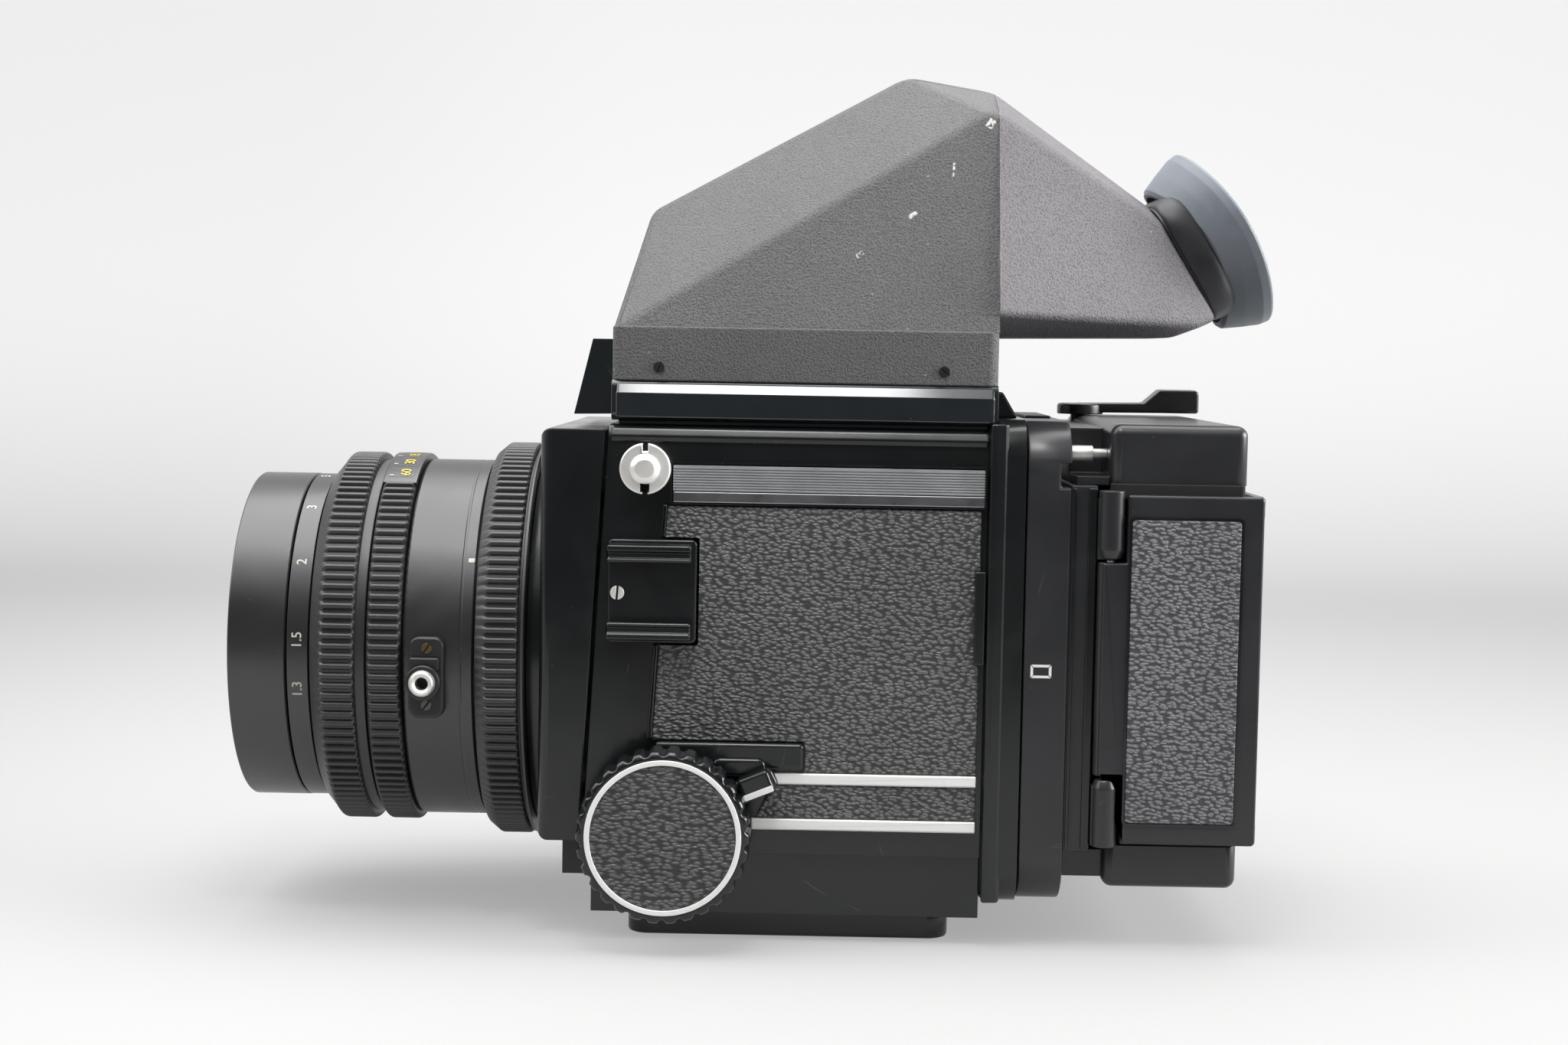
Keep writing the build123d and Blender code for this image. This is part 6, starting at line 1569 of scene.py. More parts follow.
@dataclass
class BodyAssembly:
    """Body casting with its coverings, shoe and lugs."""

    side_y: float = -48.0
    leather_t: float = 1.0
    shoe_mid_z: float = 82.0
    plate_ribs: int = 9
    plate_pitch: float = 0.62
    lug_x: float = -34.3
    lug_z: float = 110.1
    lug_r: float = 5.85
    lug_notch_r: float = 3.5
    lug_notch_half_w: float = 0.6

    def build(self) -> None:
        """Make the body's pieces."""
        dress_node("body_casting", GLOSS_BLACK, 0.6)
        dress_node("rear_frame", GLOSS_BLACK, 0.5)
        dress_node("base_foot", GLOSS_BLACK, 0.8)
        dress_node("tripod_bush", STEEL, 0.3)
        dress_node("focusing_screen", SCREEN_PLASTIC)
        self.build_leather()
        self.build_plates()
        self.build_stripes()
        self.build_shoe()
        self.build_lugs()

    def build_leather(self) -> None:
        """Leather panels of both sides, and the ridge round the left one's front."""
        face = self.side_y - self.leather_t
        top: list[Corner] = [(-29.2, 101.7, 1.2), (42.6, 101.7, 0.6), (42.6, 40.55, 0.3), (3.1, 40.55, 0.3),
                             (3.1, 47.6, 0.2), (-32.1, 47.6, 0.5)]
        notch: list[Corner] = [(-30.7, 69.9, 0.2), (-22.1, 69.9, 0.4), (-22.1, 94.1, 0.4),
                               (-29.65, 94.1, 0.2)]
        strip: list[Corner] = [(-8.0, 29.9, 0.3), (42.6, 29.9, 0.3), (42.6, 37.7, 0.3), (-4.4, 37.7, 0.3)]
        panel = prism(Plane.SIDE, top + notch, face, self.side_y, 0.0, 0.35)
        lower = prism(Plane.SIDE, strip, face, self.side_y, 0.0, 0.35)
        Piece("left_leather").add(panel, SIDE_LEATHER).add(lower, SIDE_LEATHER).build(
            "camera_body", "side_leather_left")
        ridge = Piece("leather_front_ridge")
        for z0, z1 in ((47.8, 69.7), (94.4, 101.9)):
            x0, x1 = self.ridge_x(z0), self.ridge_x(z1)
            corners = [(x0 - 1.2, z0, 0.3), (x0, z0, 0.3), (x1, z1, 0.3), (x1 - 1.2, z1, 0.3)]
            ridge.add(prism(Plane.SIDE, corners, face - 0.2, self.side_y, 0.0, 0.5), GLOSS_BLACK)
        ridge.build("camera_body")
        plain = mirrored(prism(Plane.SIDE, top, face, self.side_y, 0.0, 0.35))
        Piece("right_leather").add(plain, SIDE_LEATHER).add(mirrored(lower), SIDE_LEATHER).build(
            "camera_body", "side_leather_right")

    def ridge_x(self, z: float) -> float:
        """Front edge of the leather at a height."""
        low, high = Vector((-32.1, 47.6)), Vector((-29.2, 101.7))
        return low.x + (high.x - low.x) * (z - low.y) / (high.y - low.y)

    def trim(self, corners: Sequence[Corner], face: float, edge: float) -> Geometry:
        """Flat trim on the left side, from its face down to the casting."""
        return prism(Plane.SIDE, corners, face, self.side_y, 0.0, edge)

    def build_plates(self) -> None:
        """Ribbed nameplates without words, and the lines and rolls round them."""
        ribs: list[Corner] = [(self.side_y, 105.1, 0.0), (self.side_y, 111.0, 0.0), (-49.15, 111.0, 0.15)]
        for index in range(self.plate_ribs):
            z = 110.6 - index * self.plate_pitch
            ribs += [(-49.2, z, 0.0), (-49.2, z - 0.36, 0.0), (-48.8, z - 0.4, 0.0), (-48.8, z - 0.58, 0.0)]
        plates = Piece("ribbed_plates").add_pair(prism(Plane.END, ribs, -28.0, 43.3, 0.0), DARK_PLATE)
        plates.add_pair(self.trim(rectangle(-28.0, 43.3, 102.4, 104.9, 0.3), -49.35, 0.3), CHROME_DARK)
        plates.build("camera_body", "nameplates", sharp=20)
        roll: list[Corner] = [(-47.6, 115.9, 0.0), (-48.5, 116.2, 0.6), (-48.75, 117.5, 1.2),
                              (-47.9, 119.2, 1.0), (-47.6, 119.3, 0.0)]
        upright: list[Corner] = [(44.3, -49.3, 0.0), (44.4, -49.9, 0.5), (45.6, -50.2, 1.2),
                                 (47.6, -49.8, 0.8), (48.4, -49.3, 0.0)]
        rolls = Piece("edge_rolls")
        for geometry in (outline_ring(rectangle(-28.6, 43.5, 102.0, 111.7, 0.9), 0.35, self.side_y, -49.4),
                         prism(Plane.END, roll, -42.4, 43.6, 0.3),
                         prism(Plane.TOP, upright, 11.2, 121.6, 0.5)):
            rolls.add_pair(geometry, GLOSS_BLACK)
        rolls.build("camera_body", sharp=50)

    def build_stripes(self) -> None:
        """White stripes, the black trim bar and the tabs beside them."""
        stripes = Piece("white_lines")
        for corners in (rectangle(-4.3, 42.6, 37.8, 40.4, 0.3), rectangle(-9.0, 42.6, 27.2, 29.8, 0.3)):
            stripes.add_pair(self.trim(corners, -49.4, 0.35), WHITE_PAINT)
        stripes.build("camera_body", "white_stripes")
        bar = self.trim(rectangle(-31.3, 2.9, 41.4, 47.4, 1.0), -50.4, 0.9)
        Piece("trim_bar").add(bar, GLOSS_BLACK).build("camera_body", "side_trim_bar")
        tab = self.trim(rectangle(41.3, 43.8, 66.3, 87.8, 0.4), -49.9, 0.4)
        guard = self.trim(rectangle(-18.0, -5.8, 39.8, 44.0, 1.8), -51.6, 0.8)
        Piece("side_tabs").add(tab, GLOSS_BLACK).add(guard, GLOSS_BLACK).build("camera_body")

    def build_shoe(self) -> None:
        """Accessory shoe with two ridged rails, and the cover screws."""
        base_y = self.side_y - 2.3
        shoe = Piece("accessory_shoe_rails")
        shoe.add(prism(Plane.SIDE, rectangle(-42.6, -22.3, 70.1, 93.9, 1.2), base_y, self.side_y, 0.0, 0.5),
                 GLOSS_BLACK)
        rail: list[Corner] = [(base_y + 0.2, 9.3, 0.0), (-52.4, 9.3, 0.3), (-52.4, 6.8, 0.5),
                              (-54.0, 6.8, 0.6), (-54.3, 7.5, 0.3), (-53.8, 8.0, 0.2),
                              (-53.8, 9.0, 0.2), (-54.4, 9.6, 0.4), (-54.4, 10.7, 0.5),
                              (-53.2, 11.1, 0.4), (base_y + 0.2, 11.1, 0.0)]
        for side in (-1, 1):
            corners = [(y, self.shoe_mid_z + side * z, radius) for y, z, radius in rail]
            shoe.add(prism(Plane.END, corners, -42.6, -23.4, 0.6), GLOSS_BLACK)
        shoe.build("camera_body", "accessory_shoe", sharp=50)
        screws = Piece("slotted_screws")
        head, slot = slotted_screw(-40.4, self.shoe_mid_z - 0.4, base_y, 1.6, 0.5, 4.0)
        # The slot floor in flat black is painted shade.
        screws.add(head, SATIN_SILVER).add(slot, FLAT_BLACK_AND_SHADE)
        for x, turn in ((-31.8, 24.0), (33.5, -50.0)):
            head, slot = slotted_screw(x, 133.2, -46.0, 1.3, 0.45, turn)
            # The slot floors in flat black are painted shade.
            screws.add_pair(head, SATIN_BLACK).add_pair(slot, FLAT_BLACK_AND_SHADE)
        screws.build("camera_body", "cover_screws")

    def build_lugs(self) -> None:
        """Round strap lugs with a notched flange and a domed button."""
        axis = Spindle(Vector((self.lug_x, self.side_y, self.lug_z)), Vector((0, -1, 0)), Vector((0, 0, 1)))
        neck = turned(axis, [(-0.2, 0.05, 0.0), (2.6, 0.05, 0.0), (2.6, 3.4, 0.0), (0.4, 3.4, 0.2),
                             (0.0, 3.9, 0.0), (-0.2, 3.9, 0.0)], 64)
        half = math.asin(self.lug_notch_half_w / self.lug_r)
        notch, steps = 0.17, 32
        around: list[Point] = []
        for start in (0.0, math.pi):
            around += [(self.lug_notch_r, start - notch), (self.lug_notch_r, start + notch)]
            around += [(self.lug_r, start + half + (math.pi - 2 * half) * step / steps)
                       for step in range(steps + 1)]
        outline = [(radius * math.sin(angle), radius * math.cos(angle), 0.0) for radius, angle in around]
        flange = prism(Plane.SIDE, outline, -52.3, -50.5, 0.25, 0.45)
        flange = turned_about_y(flange, 0.0, self.lug_x, self.lug_z)
        button = turned(axis, [(4.2, 0.05, 0.0), (4.2, 3.45, 0.0), (5.0, 3.45, 0.5), (5.85, 2.2, 1.2),
                               (5.9, 0.05, 0.0)], 64)
        lugs = Piece("strap_lug_pair")
        for geometry in (neck, flange, button):
            lugs.add_pair(geometry, SATIN_SILVER)
        lugs.build("camera_body", "strap_lugs")


# Finder


@dataclass
class FinderAssembly:
    """Prism finder with its base, tunnel and eyecup."""

    half_w: float = 46.0
    base_top: float = 130.3
    skirt_top: float = 142.5
    skirt_step: float = 0.4
    front_x: float = -42.6
    rear_x: float = 46.0
    knee: Point = (-35.5, 170.1)
    ridge: Point = (25.0, 203.8)
    rear_top: Point = (46.0, 200.4)
    ridge_half_w: float = 11.0
    crease_front_x: float = -40.9
    crease_rear: Corner = (43.6, 30.0, 193.8)
    tunnel_root: float = 146.3
    tunnel_top: Point = (84.0, 173.6)
    tunnel_low: Point = (100.0, 146.6)
    tunnel_end_half_w: float = 19.5
    keel_rear: Point = (89.6, 142.1)
    keel: Corner = (46.0, 30.0, 141.0)
    keel_edge: Corner = (93.0, 20.0, 143.5)
    blank_half: float = 260.0
    cup_bore_r: float = 14.0
    cup_steps: int = 128

    def build(self) -> None:
        """Make the finder's pieces."""
        dress_node("finder_base", BASE_BLACK, 0.5)
        dress_node("finder_prism", PLAIN_GLASS)
        dress_node("eyepiece_lens", LENS_GLASS)
        dress_node("finder_catch", GLOSS_BLACK, 0.5)
        self.build_shell()
        self.build_moulding()
        self.build_eyecup()

    def build_shell(self) -> None:
        """Skirt, faceted housing and eyepiece tunnel."""
        skirt = prism(Plane.TOP, rectangle(self.front_x, self.rear_x, -self.half_w, self.half_w, 2.2),
                      self.base_top - 0.3, self.skirt_top, 0.45)
        shell = Piece("finder_shell").add(skirt, FINDER_PAINT).add(self.housing(), FINDER_PAINT)
        # The tunnel takes the lighter copy of the paint: painted light.
        shell.add(self.tunnel(), LIT_TUNNEL_PAINT)
        shell.build("camera_body", "finder_housing", sharp=30)

    def housing(self) -> Geometry:
        """Roof and side facets above the skirt.

        Returns:
            Points and faces.
        """
        low, front_x, overhang = self.skirt_top - 4.0, self.front_x + 0.3, 20.0
        drop = (self.rear_top[1] - self.tunnel_top[1]) / (self.tunnel_top[0] - self.rear_top[0])
        outline = rounded([(front_x, low, 0.0), (front_x, self.skirt_top, 1.0), (*self.knee, 5.0),
                           (*self.ridge, 9.0), (*self.rear_top, 14.0),
                           (self.rear_top[0] + overhang, self.rear_top[1] - drop * overhang, 0.0),
                           (self.rear_top[0] + overhang, low, 0.0)], 4)
        cuts = profile_cuts(outline)
        for side in (-1, 1):
            half = (self.half_w - self.skirt_step) * side
            outward = Vector((0, side, 0.5))
            front = Vector((self.crease_front_x, half, self.skirt_top))
            crease = Vector((self.crease_rear[0], self.crease_rear[1] * side, self.crease_rear[2]))
            ridge = Vector((self.ridge[0], self.ridge_half_w * side, self.ridge[1]))
            rear = Vector((self.rear_top[0], self.ridge_half_w * side, self.rear_top[1]))
            cuts.append(through(front, crease, Vector((self.rear_x, half, self.skirt_top)), outward))
            cuts.append(through(front, crease, ridge, outward))
            cuts.append(through(crease, ridge, rear, outward))
        trims = [(Vector((self.rear_x, 0, 0)), Vector((1, 0, 0))),
                 (Vector((0, 0, self.skirt_top - 0.1)), Vector((0, 0, -1)))]
        return convex(cuts, self.blank_half, 1.3, trims)

    def tunnel(self) -> Geometry:
        """Eyepiece tunnel: sides that lean in and taper, and a keel underneath.

        Returns:
            Points and faces.
        """
        inside = 24.0
        outline = rounded([(inside, self.keel[2], 0.0), (inside, self.roof_height(inside), 0.0),
                           (*self.rear_top, 14.0), (*self.tunnel_top, 0.0), (*self.tunnel_low, 0.0),
                           (*self.keel_rear, 0.0)], 4)
        cuts = profile_cuts(outline)
        for side in (-1, 1):
            outward = Vector((0, side, 0.5))
            root = Vector((self.rear_x, self.half_w * side, self.tunnel_root))
            tip = Vector((self.tunnel_low[0], self.tunnel_end_half_w * side, self.tunnel_low[1]))
            crease = Vector((self.rear_x, self.crease_rear[1] * side, self.crease_rear[2]))
            ridge = Vector((self.rear_x, self.ridge_half_w * side, self.rear_top[1]))
            end = Vector((self.tunnel_top[0], self.ridge_half_w * side, self.tunnel_top[1]))
            edge = Vector((self.keel_edge[0], self.keel_edge[1] * side, self.keel_edge[2]))
            keel = Vector((self.keel[0], self.keel[1] * side, self.keel[2]))
            cuts.append(through(root, tip, crease, outward))
            cuts.append(through(crease, ridge, end, outward))
            cuts.append(through(root, edge, keel, Vector((0, side, -1))))
        return convex(cuts, self.blank_half, 1.6, [(Vector((self.rear_x - 0.05, 0, 0)), Vector((-1, 0, 0)))])

    def roof_height(self, x: float) -> float:
        """Height of the roof's rear slope at a station."""
        slope = (self.rear_top[1] - self.ridge[1]) / (self.rear_top[0] - self.ridge[0])
        return self.rear_top[1] + slope * (x - self.rear_top[0])

    def build_moulding(self) -> None:
        """Gloss moulding along both sides of the base, with a bright sloping upper edge."""
        foot: list[Corner] = [(-46.2, 121.4, 0.0), (-47.5, 121.6, 0.5), (-47.7, 127.2, 0.5),
                              (-46.5, 129.3, 0.4), (-46.2, 129.5, 0.0)]
        strip = prism(Plane.END, foot, -41.6, 45.2, 0.8)
        Piece("base_moulding").add_pair(strip, BASE_BLACK).build("camera_body")

    def eye_axis(self) -> Spindle:
        """Axis of the eyepiece, out of the tunnel's end.

        Returns:
            The axis.
        """
        top = Vector((self.tunnel_top[0], 0, self.tunnel_top[1]))
        low = Vector((self.tunnel_low[0], 0, self.tunnel_low[1]))
        down = (low - top).normalized()
        return Spindle((top + low) / 2, Vector((-down.z, 0, down.x)), down)

    def build_eyecup(self) -> None:
        """Rubber cup: a squarish neck, and a flared dish that hangs back over it."""
        # The neck takes the shaded copy of the rubber and the dish the lit copy: painted shade and painted
        # light.
        neck = Piece("eyecup_folds").add(self.eyecup_neck(), SHADED_NECK_RUBBER)
        neck.add(self.eyecup_dish(), LIT_CUP_RUBBER).build("camera_body", "eyecup", sharp=60)

    def eyecup_neck(self) -> Geometry:
        """Squarish neck of the cup, with a sag and soft creases.

        Returns:
            Points and faces.
        """
        axis = self.eye_axis()
        across = axis.along.cross(axis.zero)
        steps, end = self.cup_steps, 8.6
        sections = [(0.0, 15.3, 18.6, 5.0), (0.45, 15.3, 18.6, 5.0), (0.6, 15.9, 19.2, 4.5),
                    (1.4, 16.2, 19.5, 4.2), (3.2, 16.4, 19.8, 3.8), (5.0, 16.6, 19.9, 3.4),
                    (6.6, 16.7, 19.5, 3.0), (7.6, 16.4, 18.6, 2.6), (8.3, 15.6, 17.2, 2.3),
                    (end, 14.6, 15.6, 2.0)]
        rings = []
        for station, tall, wide, power in sections:
            ring = []
            for step in range(steps):
                angle = math.tau * step / steps
                c, s = math.cos(angle), math.sin(angle)
                reach = (abs(c / tall) ** power + abs(s / wide) ** power) ** (-1 / power)
                sag = 0.5 * max(0.0, c) * math.sin(math.pi * min(station / end, 1.0))
                crease = 0.25 * math.sin(3 * angle + 0.8 * station) * math.sin(math.pi * station / end)
                place = axis.zero * c * (reach + sag) + across * s * (reach + crease)
                ring.append(axis.origin + axis.along * (station + 0.9 * sag) + place)
            rings.append(ring)
        inner = [[axis.at(station, self.cup_bore_r, math.tau * step / steps) for step in range(steps)]
                 for station in (end, 0.0)]
        return loft(rings + inner, looped=True)

    def eyecup_dish(self) -> Geometry:
        """Flared dish that hangs back over the neck at its sides.

        Returns:
            Points and faces.
        """
        axis = self.eye_axis()
        outline = rounded([(2.5, 17.6, 0.3), (2.3, 18.5, 0.4), (2.9, 19.5, 0.5), (7.0, 21.4, 3.0),
                           (11.2, 23.1, 2.0), (13.4, 23.4, 0.6), (14.2, 22.9, 0.4), (14.0, 21.9, 0.4),
                           (12.0, 19.6, 1.5), (9.6, 16.2, 1.2), (8.4, self.cup_bore_r, 0.4),
                           (6.8, self.cup_bore_r, 0.3), (6.6, 16.0, 0.6), (4.6, 17.0, 0.8)], 4)
        rim, back = 14.2, 2.3
        rings = []
        for step in range(self.cup_steps):
            angle = math.tau * step / self.cup_steps
            aside = abs(math.sin(angle))
            ring = []
            for station, radius in outline:
                share = (rim - station) / (rim - back)
                push = (3.0 + 1.9 * share) * aside ** 2.4
                ring.append(axis.at(station + push, radius + 0.35 * share * aside, angle))
            rings.append(ring)
        return loft(rings, looped=True)


# Focus drive


@dataclass
class FocusDriveAssembly:
    """Focusing knobs, their shaft and the lock lever."""

    axis_x: float = -28.5
    axis_z: float = 27.7
    radius: float = 19.75
    face_y: float = -64.0
    back_y: float = -54.5
    scallops: int = 30
    scallop_steps: int = 12
    scallop_depth: float = 0.95
    scallop_half_w: float = 0.27
    arm_turn: float = -27.0
    tip_turn: float = -22.0
    tip_x: float = -7.3
    tip_z: float = 37.0

    def build(self) -> None:
        """Make the focus drive's pieces."""
        dress_node("focus_shaft", STEEL, 0.1, 1)
        wheel = self.wheel()
        Piece("left_wheel").add(wheel, GLOSS_BLACK).build("focus_drive", "focus_knob_left", sharp=50)
        axis = self.axis()
        hub_from = self.back_y - self.face_y
        hub = turned(axis, [(hub_from, 3.0, 0.0), (hub_from, 12.0, 0.6), (14.7, 12.0, 0.4),
                            (14.7, 3.0, 0.0)], 96)
        right = Piece("right_wheel").add(mirrored(wheel), GLOSS_BLACK).add(mirrored(hub), GLOSS_BLACK)
        right.build("focus_drive", "focus_knob_right", sharp=50)
        ring = turned(axis, [(0.9, 16.5, 0.0), (-0.2, 16.5, 0.15), (-0.2, 17.7, 0.15), (0.9, 17.7, 0.0)], 160)
        disc = turned(axis, [(0.8, 0.05, 0.0), (0.1, 0.05, 0.0), (0.1, 16.5, 0.2), (0.8, 16.5, 0.0)], 96)
        Piece("wheel_rings").add_pair(ring, WHITE_PAINT).build("focus_drive", "knob_white_rings")
        Piece("wheel_discs").add_pair(disc, KNOB_LEATHER).build("focus_drive", "knob_leather_discs")
        self.build_lock_lever()

    def axis(self) -> Spindle:
        """Axis of the left wheel, from its face inwards."""
        return Spindle(Vector((self.axis_x, self.face_y, self.axis_z)), Vector((0, 1, 0)), Vector((1, 0, 0)))

    def wheel(self) -> Geometry:
        """Scalloped wheel with a recessed face.

        Returns:
            Points and faces.
        """
        def relief(angle: float) -> float:
            """Depth of the scallops at an angle."""
            phase = (angle * self.scallops / math.tau) % 1.0 - 0.5
            return -self.scallop_depth * max(0.0, 1.0 - (phase / self.scallop_half_w) ** 2)

        back = self.back_y - self.face_y
        profile: list[Corner] = [(0.8, 0.05, 0), (0.8, 17.7, 0), (0.05, 17.7, 0), (0.0, 17.85, 0),
                                 (0.0, 18.3, 0), (0.12, 18.75, 0.25), (0.45, 19.3, 0.7), (1.0, 19.65, 1),
                                 (1.6, self.radius, 1), (8.4, self.radius, 1), (8.9, 19.65, 1),
                                 (9.3, 19.3, 0.7), (back, 18.6, 0.3), (back, 17.5, 0), (back, 3.0, 0),
                                 (6.0, 3.0, 0), (6.0, 0.05, 0)]
        return lathe(self.axis(), profile, self.scallops * self.scallop_steps, relief)

    def build_lock_lever(self) -> None:
        """Lever behind the left knob, with a white mark."""
        axis = Spindle(Vector((self.axis_x, -49.2, self.axis_z)), Vector((0, -1, 0)), Vector((1, 0, 0)))
        lever = Piece("lock_arm")
        lever.add(turned(axis, [(0.0, 3.2, 0.0), (0.0, 13.0, 0.0), (4.6, 13.0, 0.9), (4.6, 3.2, 0.0)], 96),
                  GLOSS_BLACK)
        arm = prism(Plane.SIDE, rectangle(11.5, 28.0, -2.75, 2.75, 1.6), -54.2, -51.2, 0.4, 0.9)
        lever.add(turned_about_y(arm, self.arm_turn, self.axis_x, self.axis_z), GLOSS_BLACK)
        tip = prism(Plane.SIDE, rectangle(-3.7, 3.9, -1.1, 4.4, 1.0), -56.8, -52.0, 0.4, 0.9)
        lever.add(turned_about_y(tip, self.tip_turn, self.tip_x, self.tip_z), GLOSS_BLACK)
        mark = prism(Plane.SIDE, rectangle(-3.4, 3.6, -0.75, 0.65, 0.3), -56.9, -56.4, 0.0, 0.06)
        lever.add(turned_about_y(mark, self.tip_turn, self.tip_x, self.tip_z), WHITE_PAINT)
        lever.build("lock_lever", "focus_lock_lever")


# Controls, mirror box


@dataclass
class ControlsAssembly:
    """Cocking lever and release button."""

    def build(self) -> None:
        """Make the controls."""
        dress_node("cocking_lever", GLOSS_BLACK, 0.8, 3)
        dress_node("release_button", CHROME, 0.2)


@dataclass
class MirrorBoxAssembly:
    """Reflex mirror inside the body."""

    def build(self) -> None:
        """Dress the mirror."""
        dress_node("mirror_frame", FLAT_BLACK_AND_SHADE, 0.3)
        dress_node("mirror_glass", MIRROR_FACE)


# Film back


@dataclass
class FilmBackAssembly:
    """Revolving adapter and roll film back."""

    door_low: float = 25.9
    door_top: float = 106.1

    def build(self) -> None:
        """Make the film back's pieces."""
        dress_node("revolving_adapter", BACK_BLACK, 0.6)
        for node in ("film_gate", "back_top_block", "back_bottom_block", "back_side_wall"):
            dress_node(node, BACK_BLACK, 0.4)
        for node in ("adapter_lock_top", "adapter_lock_bottom", "spool_carriers", "takeup_spool"):
            dress_node(node, PLASTIC_BLACK, 0.3)
        dress_node("pressure_plate", FLAT_BLACK_AND_SHADE, 0.2)
        dress_node("dark_slide", STEEL, 0.2)
        dress_node("interlock_pin", SATIN_SILVER, 0.15)
        self.build_door()
        self.build_hinge()
        self.build_leather()
        self.build_details()
        self.build_lever()

    def build_door(self) -> None:
        """Door: a side and a rear wall in one, and the flat knuckle round the hinge pin."""
        side: list[Corner] = [(106.6, self.door_low, 1.0), (106.6, self.door_top, 1.0),
                              (75.6, self.door_top, 0.5), (75.6, 90.6, 0.3), (70.2, 90.6, 0.5),
                              (70.2, 41.5, 0.5), (75.6, 41.5, 0.3), (75.6, self.door_low, 0.5)]
        rear: list[Corner] = [(106.6, -50.5, 0.2), (106.6, 49.5, 0.8), (104.0, 49.5, 0.5),
                              (104.0, -50.5, 0.2)]
        knuckle: list[Corner] = [(69.3, -47.6, 0.4), (69.3, -51.3, 1.6), (75.75, -51.3, 0.1),
                                 (75.75, -47.6, 0.4)]
        lip: list[Corner] = [(104.6, -50.2, 0.4), (107.0, -50.2, 0.6), (107.0, 48.0, 0.6),
                             (104.6, 48.0, 0.4)]
        door = Piece("door_shell").add(prism(Plane.SIDE, side, -52.0, -49.4, 0.3, 0.6), BACK_BLACK)
        for corners, z0, z1, edge in ((rear, self.door_low, self.door_top, 0.5), (knuckle, 41.5, 90.6, 0.3),
                                      (lip, self.door_low + 0.3, 30.7, 0.3),
                                      (lip, 101.2, self.door_top - 0.3, 0.3)):
            door.add(prism(Plane.TOP, corners, z0, z1, edge), BACK_BLACK)
        door.build("door", "back_door")

    def build_hinge(self) -> None:
        """Two domed hinge barrels on the gate plate, with the pin between them."""
        axis = Spindle(Vector((72.1, -50.0, 0.0)), Vector((0, 0, 1)), Vector((1, 0, 0)))
        low, top, length = 25.1, 107.0, 16.0
        hinge = Piece("hinge_barrels")
        for flat, dome in ((low, low + length), (top, top - length)):
            inward = 2.4 if dome < flat else -2.4
            profile: list[Corner] = [(flat, 0.05, 0.0), (flat, 3.0, 0.3), (dome + inward, 3.0, 1.0),
                                     (dome + inward * 0.25, 2.3, 0.8), (dome, 1.0, 0.0), (dome, 0.05, 0.0)]
            hinge.add(turned(axis, profile, 64), BACK_BLACK)
            foot = rectangle(69.0, 72.1, -51.0, -47.5)
            hinge.add(prism(Plane.TOP, foot, min(flat, dome) + 0.3, max(flat, dome) - 2.0, 0.1), BACK_BLACK)
        pin = [(40.0, 0.05, 0.0), (40.0, 1.0, 0.0), (92.0, 1.0, 0.0), (92.0, 0.05, 0.0)]
        hinge.add(turned(axis, pin, 32), STEEL)
        hinge.build("film_back", "hinge_pills")

    def build_leather(self) -> None:
        """Leather on the door's side and rear, and a raised bead round the side's leather."""
        face = Vector(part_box("door_leather")[1]).x / MM
        side = prism(Plane.SIDE, rectangle(76.6, 101.3, 31.0, 100.5, 0.8), -52.7, -52.0, 0.0, 0.25)
        rear = prism(Plane.END, rectangle(-46.0, 43.5, 31.0, 100.5, 0.8), face - 0.7, face, 0.25, 0.0)
        # The door's cloth is the lighter copy of the leather: painted light.
        Piece("door_cloth").add(side, LIT_DOOR_LEATHER).add(rear, LIT_DOOR_LEATHER).build("door", "door_leather")
        bead = outline_ring(rectangle(75.9, 102.0, 30.3, 101.2, 1.2), 0.55, -51.9, -52.45)
        Piece("door_bead").add(bead, GLOSS_BLACK).build("door")

    def build_lever(self) -> None:
        """Advance lever: a flat hub, a thin blade and a raised grip."""
        axis = Spindle(Vector((74.0, 35.0, 0.0)), Vector((0, 0, 1)), Vector((1, 0, 0)))
        hub = turned(axis, [(116.2, 0.05, 0.0), (116.2, 2.5, 0.0), (122.3, 2.5, 0.0), (122.3, 6.0, 0.3),
                            (125.1, 6.0, 0.8), (125.1, 0.05, 0.0)], 96)
        blade: list[Corner] = [(70.0, 122.7, 0.0), (94.0, 122.9, 0.0), (104.5, 122.9, 0.8),
                               (104.5, 129.0, 1.4), (94.4, 129.0, 1.2), (90.4, 125.5, 1.5),
                               (74.0, 125.2, 0.5), (70.0, 125.0, 0.3)]
        bar = prism(Plane.SIDE, blade, 31.0, 39.0, 0.7)
        Piece("advance_arm").add(hub, BACK_BLACK).add(bar, BACK_BLACK).build("advance", "advance_lever")

    def build_details(self) -> None:
        """White outline mark on the adapter, ribs along the gate plate, and a flat black ledge in the gap
        under the top block, as painted shade.
        """
        mark = outline_ring(rectangle(54.5, 59.3, 63.6, 66.7, 0.3), 0.6, -49.45, -49.56)
        Piece("adapter_mark").add(mark, WHITE_PAINT).build("film_back")
        ribs = Piece("gate_ribs")
        for x0, x1 in ((63.3, 64.1), (66.9, 68.9)):
            rib = prism(Plane.SIDE, rectangle(x0, x1, 24.0, 107.4, 0.3), -49.7, -48.9, 0.0, 0.3)
            ribs.add(rib, GLOSS_BLACK)
        ribs.build("film_back")
        # Painted shade: a flat black ledge fills the gap between the door's top and the top block.
        ledge = prism(Plane.TOP, rectangle(72.0, 102.6, -49.2, 47.2, 1.0), 105.0, 108.5, 0.2)
        Piece("gap_shade_ledge").add(ledge, FLAT_BLACK_AND_SHADE).build("film_back")


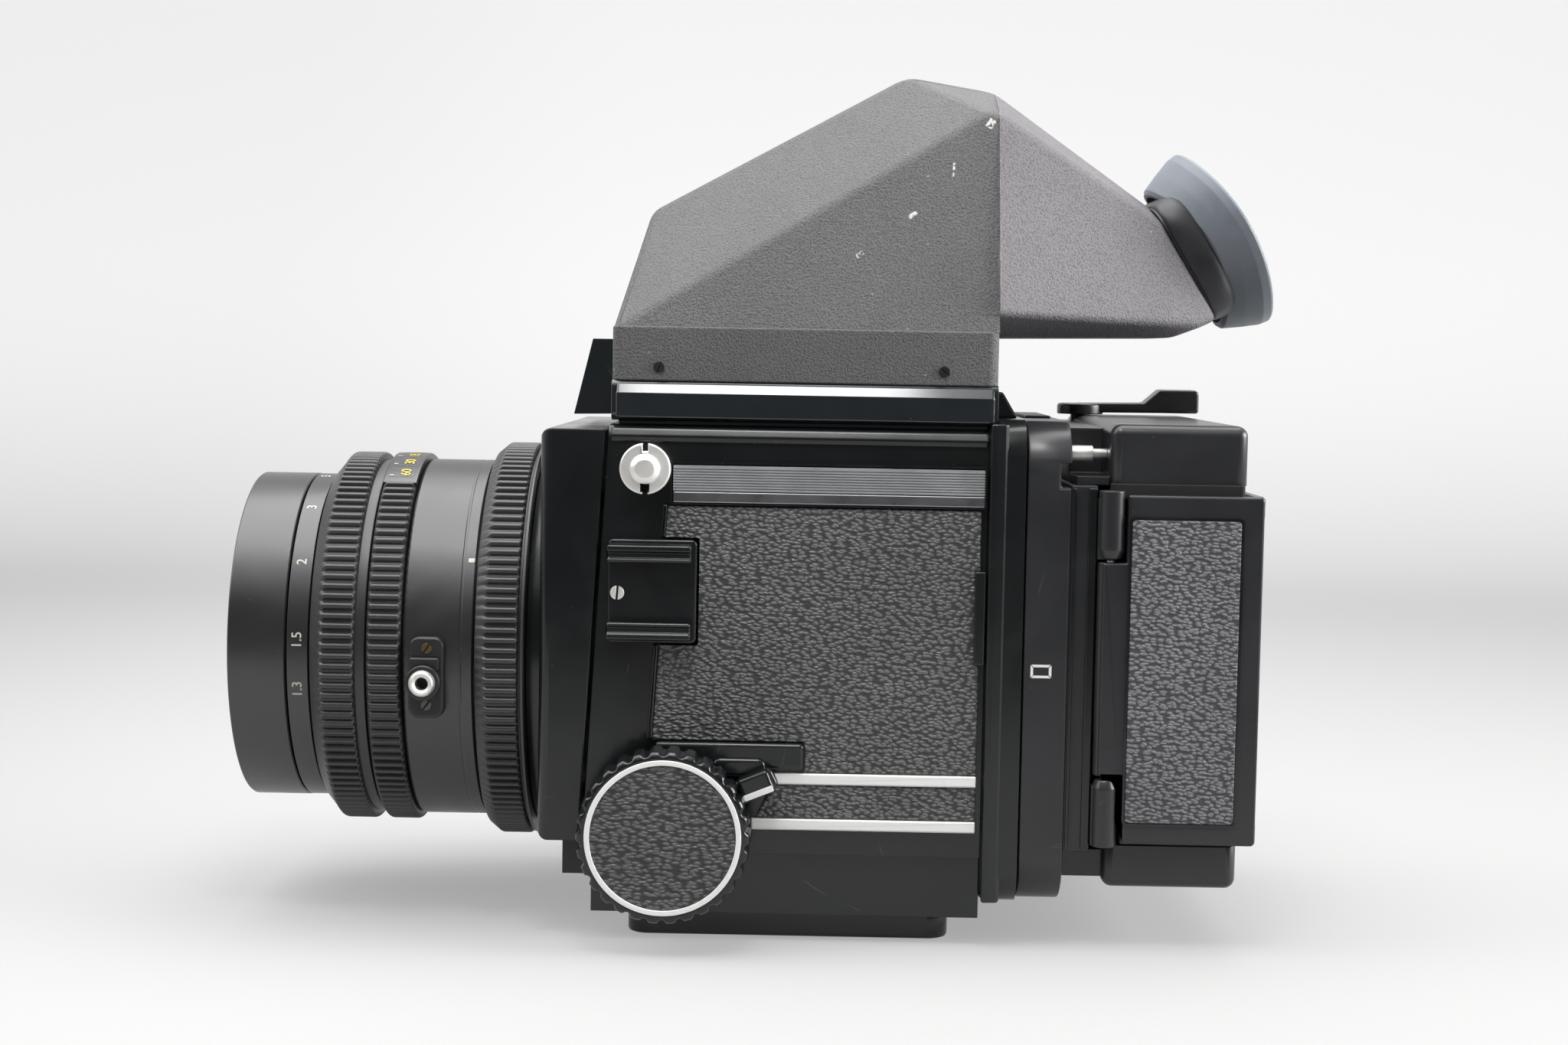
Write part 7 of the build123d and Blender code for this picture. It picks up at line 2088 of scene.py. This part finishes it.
def main() -> None:
    """Build the scene, piece by piece."""
    logging.basicConfig(level=logging.INFO, format="%(name)s: %(message)s")
    for assembly in (StudioSet(), LensAssembly(), FrontStandardAssembly(), BodyAssembly(), FinderAssembly(),
                     FocusDriveAssembly(), ControlsAssembly(), MirrorBoxAssembly(), FilmBackAssembly()):
        assembly.build()
        log.info("%s done", type(assembly).__name__)


if __name__ == "__main__":
    main()
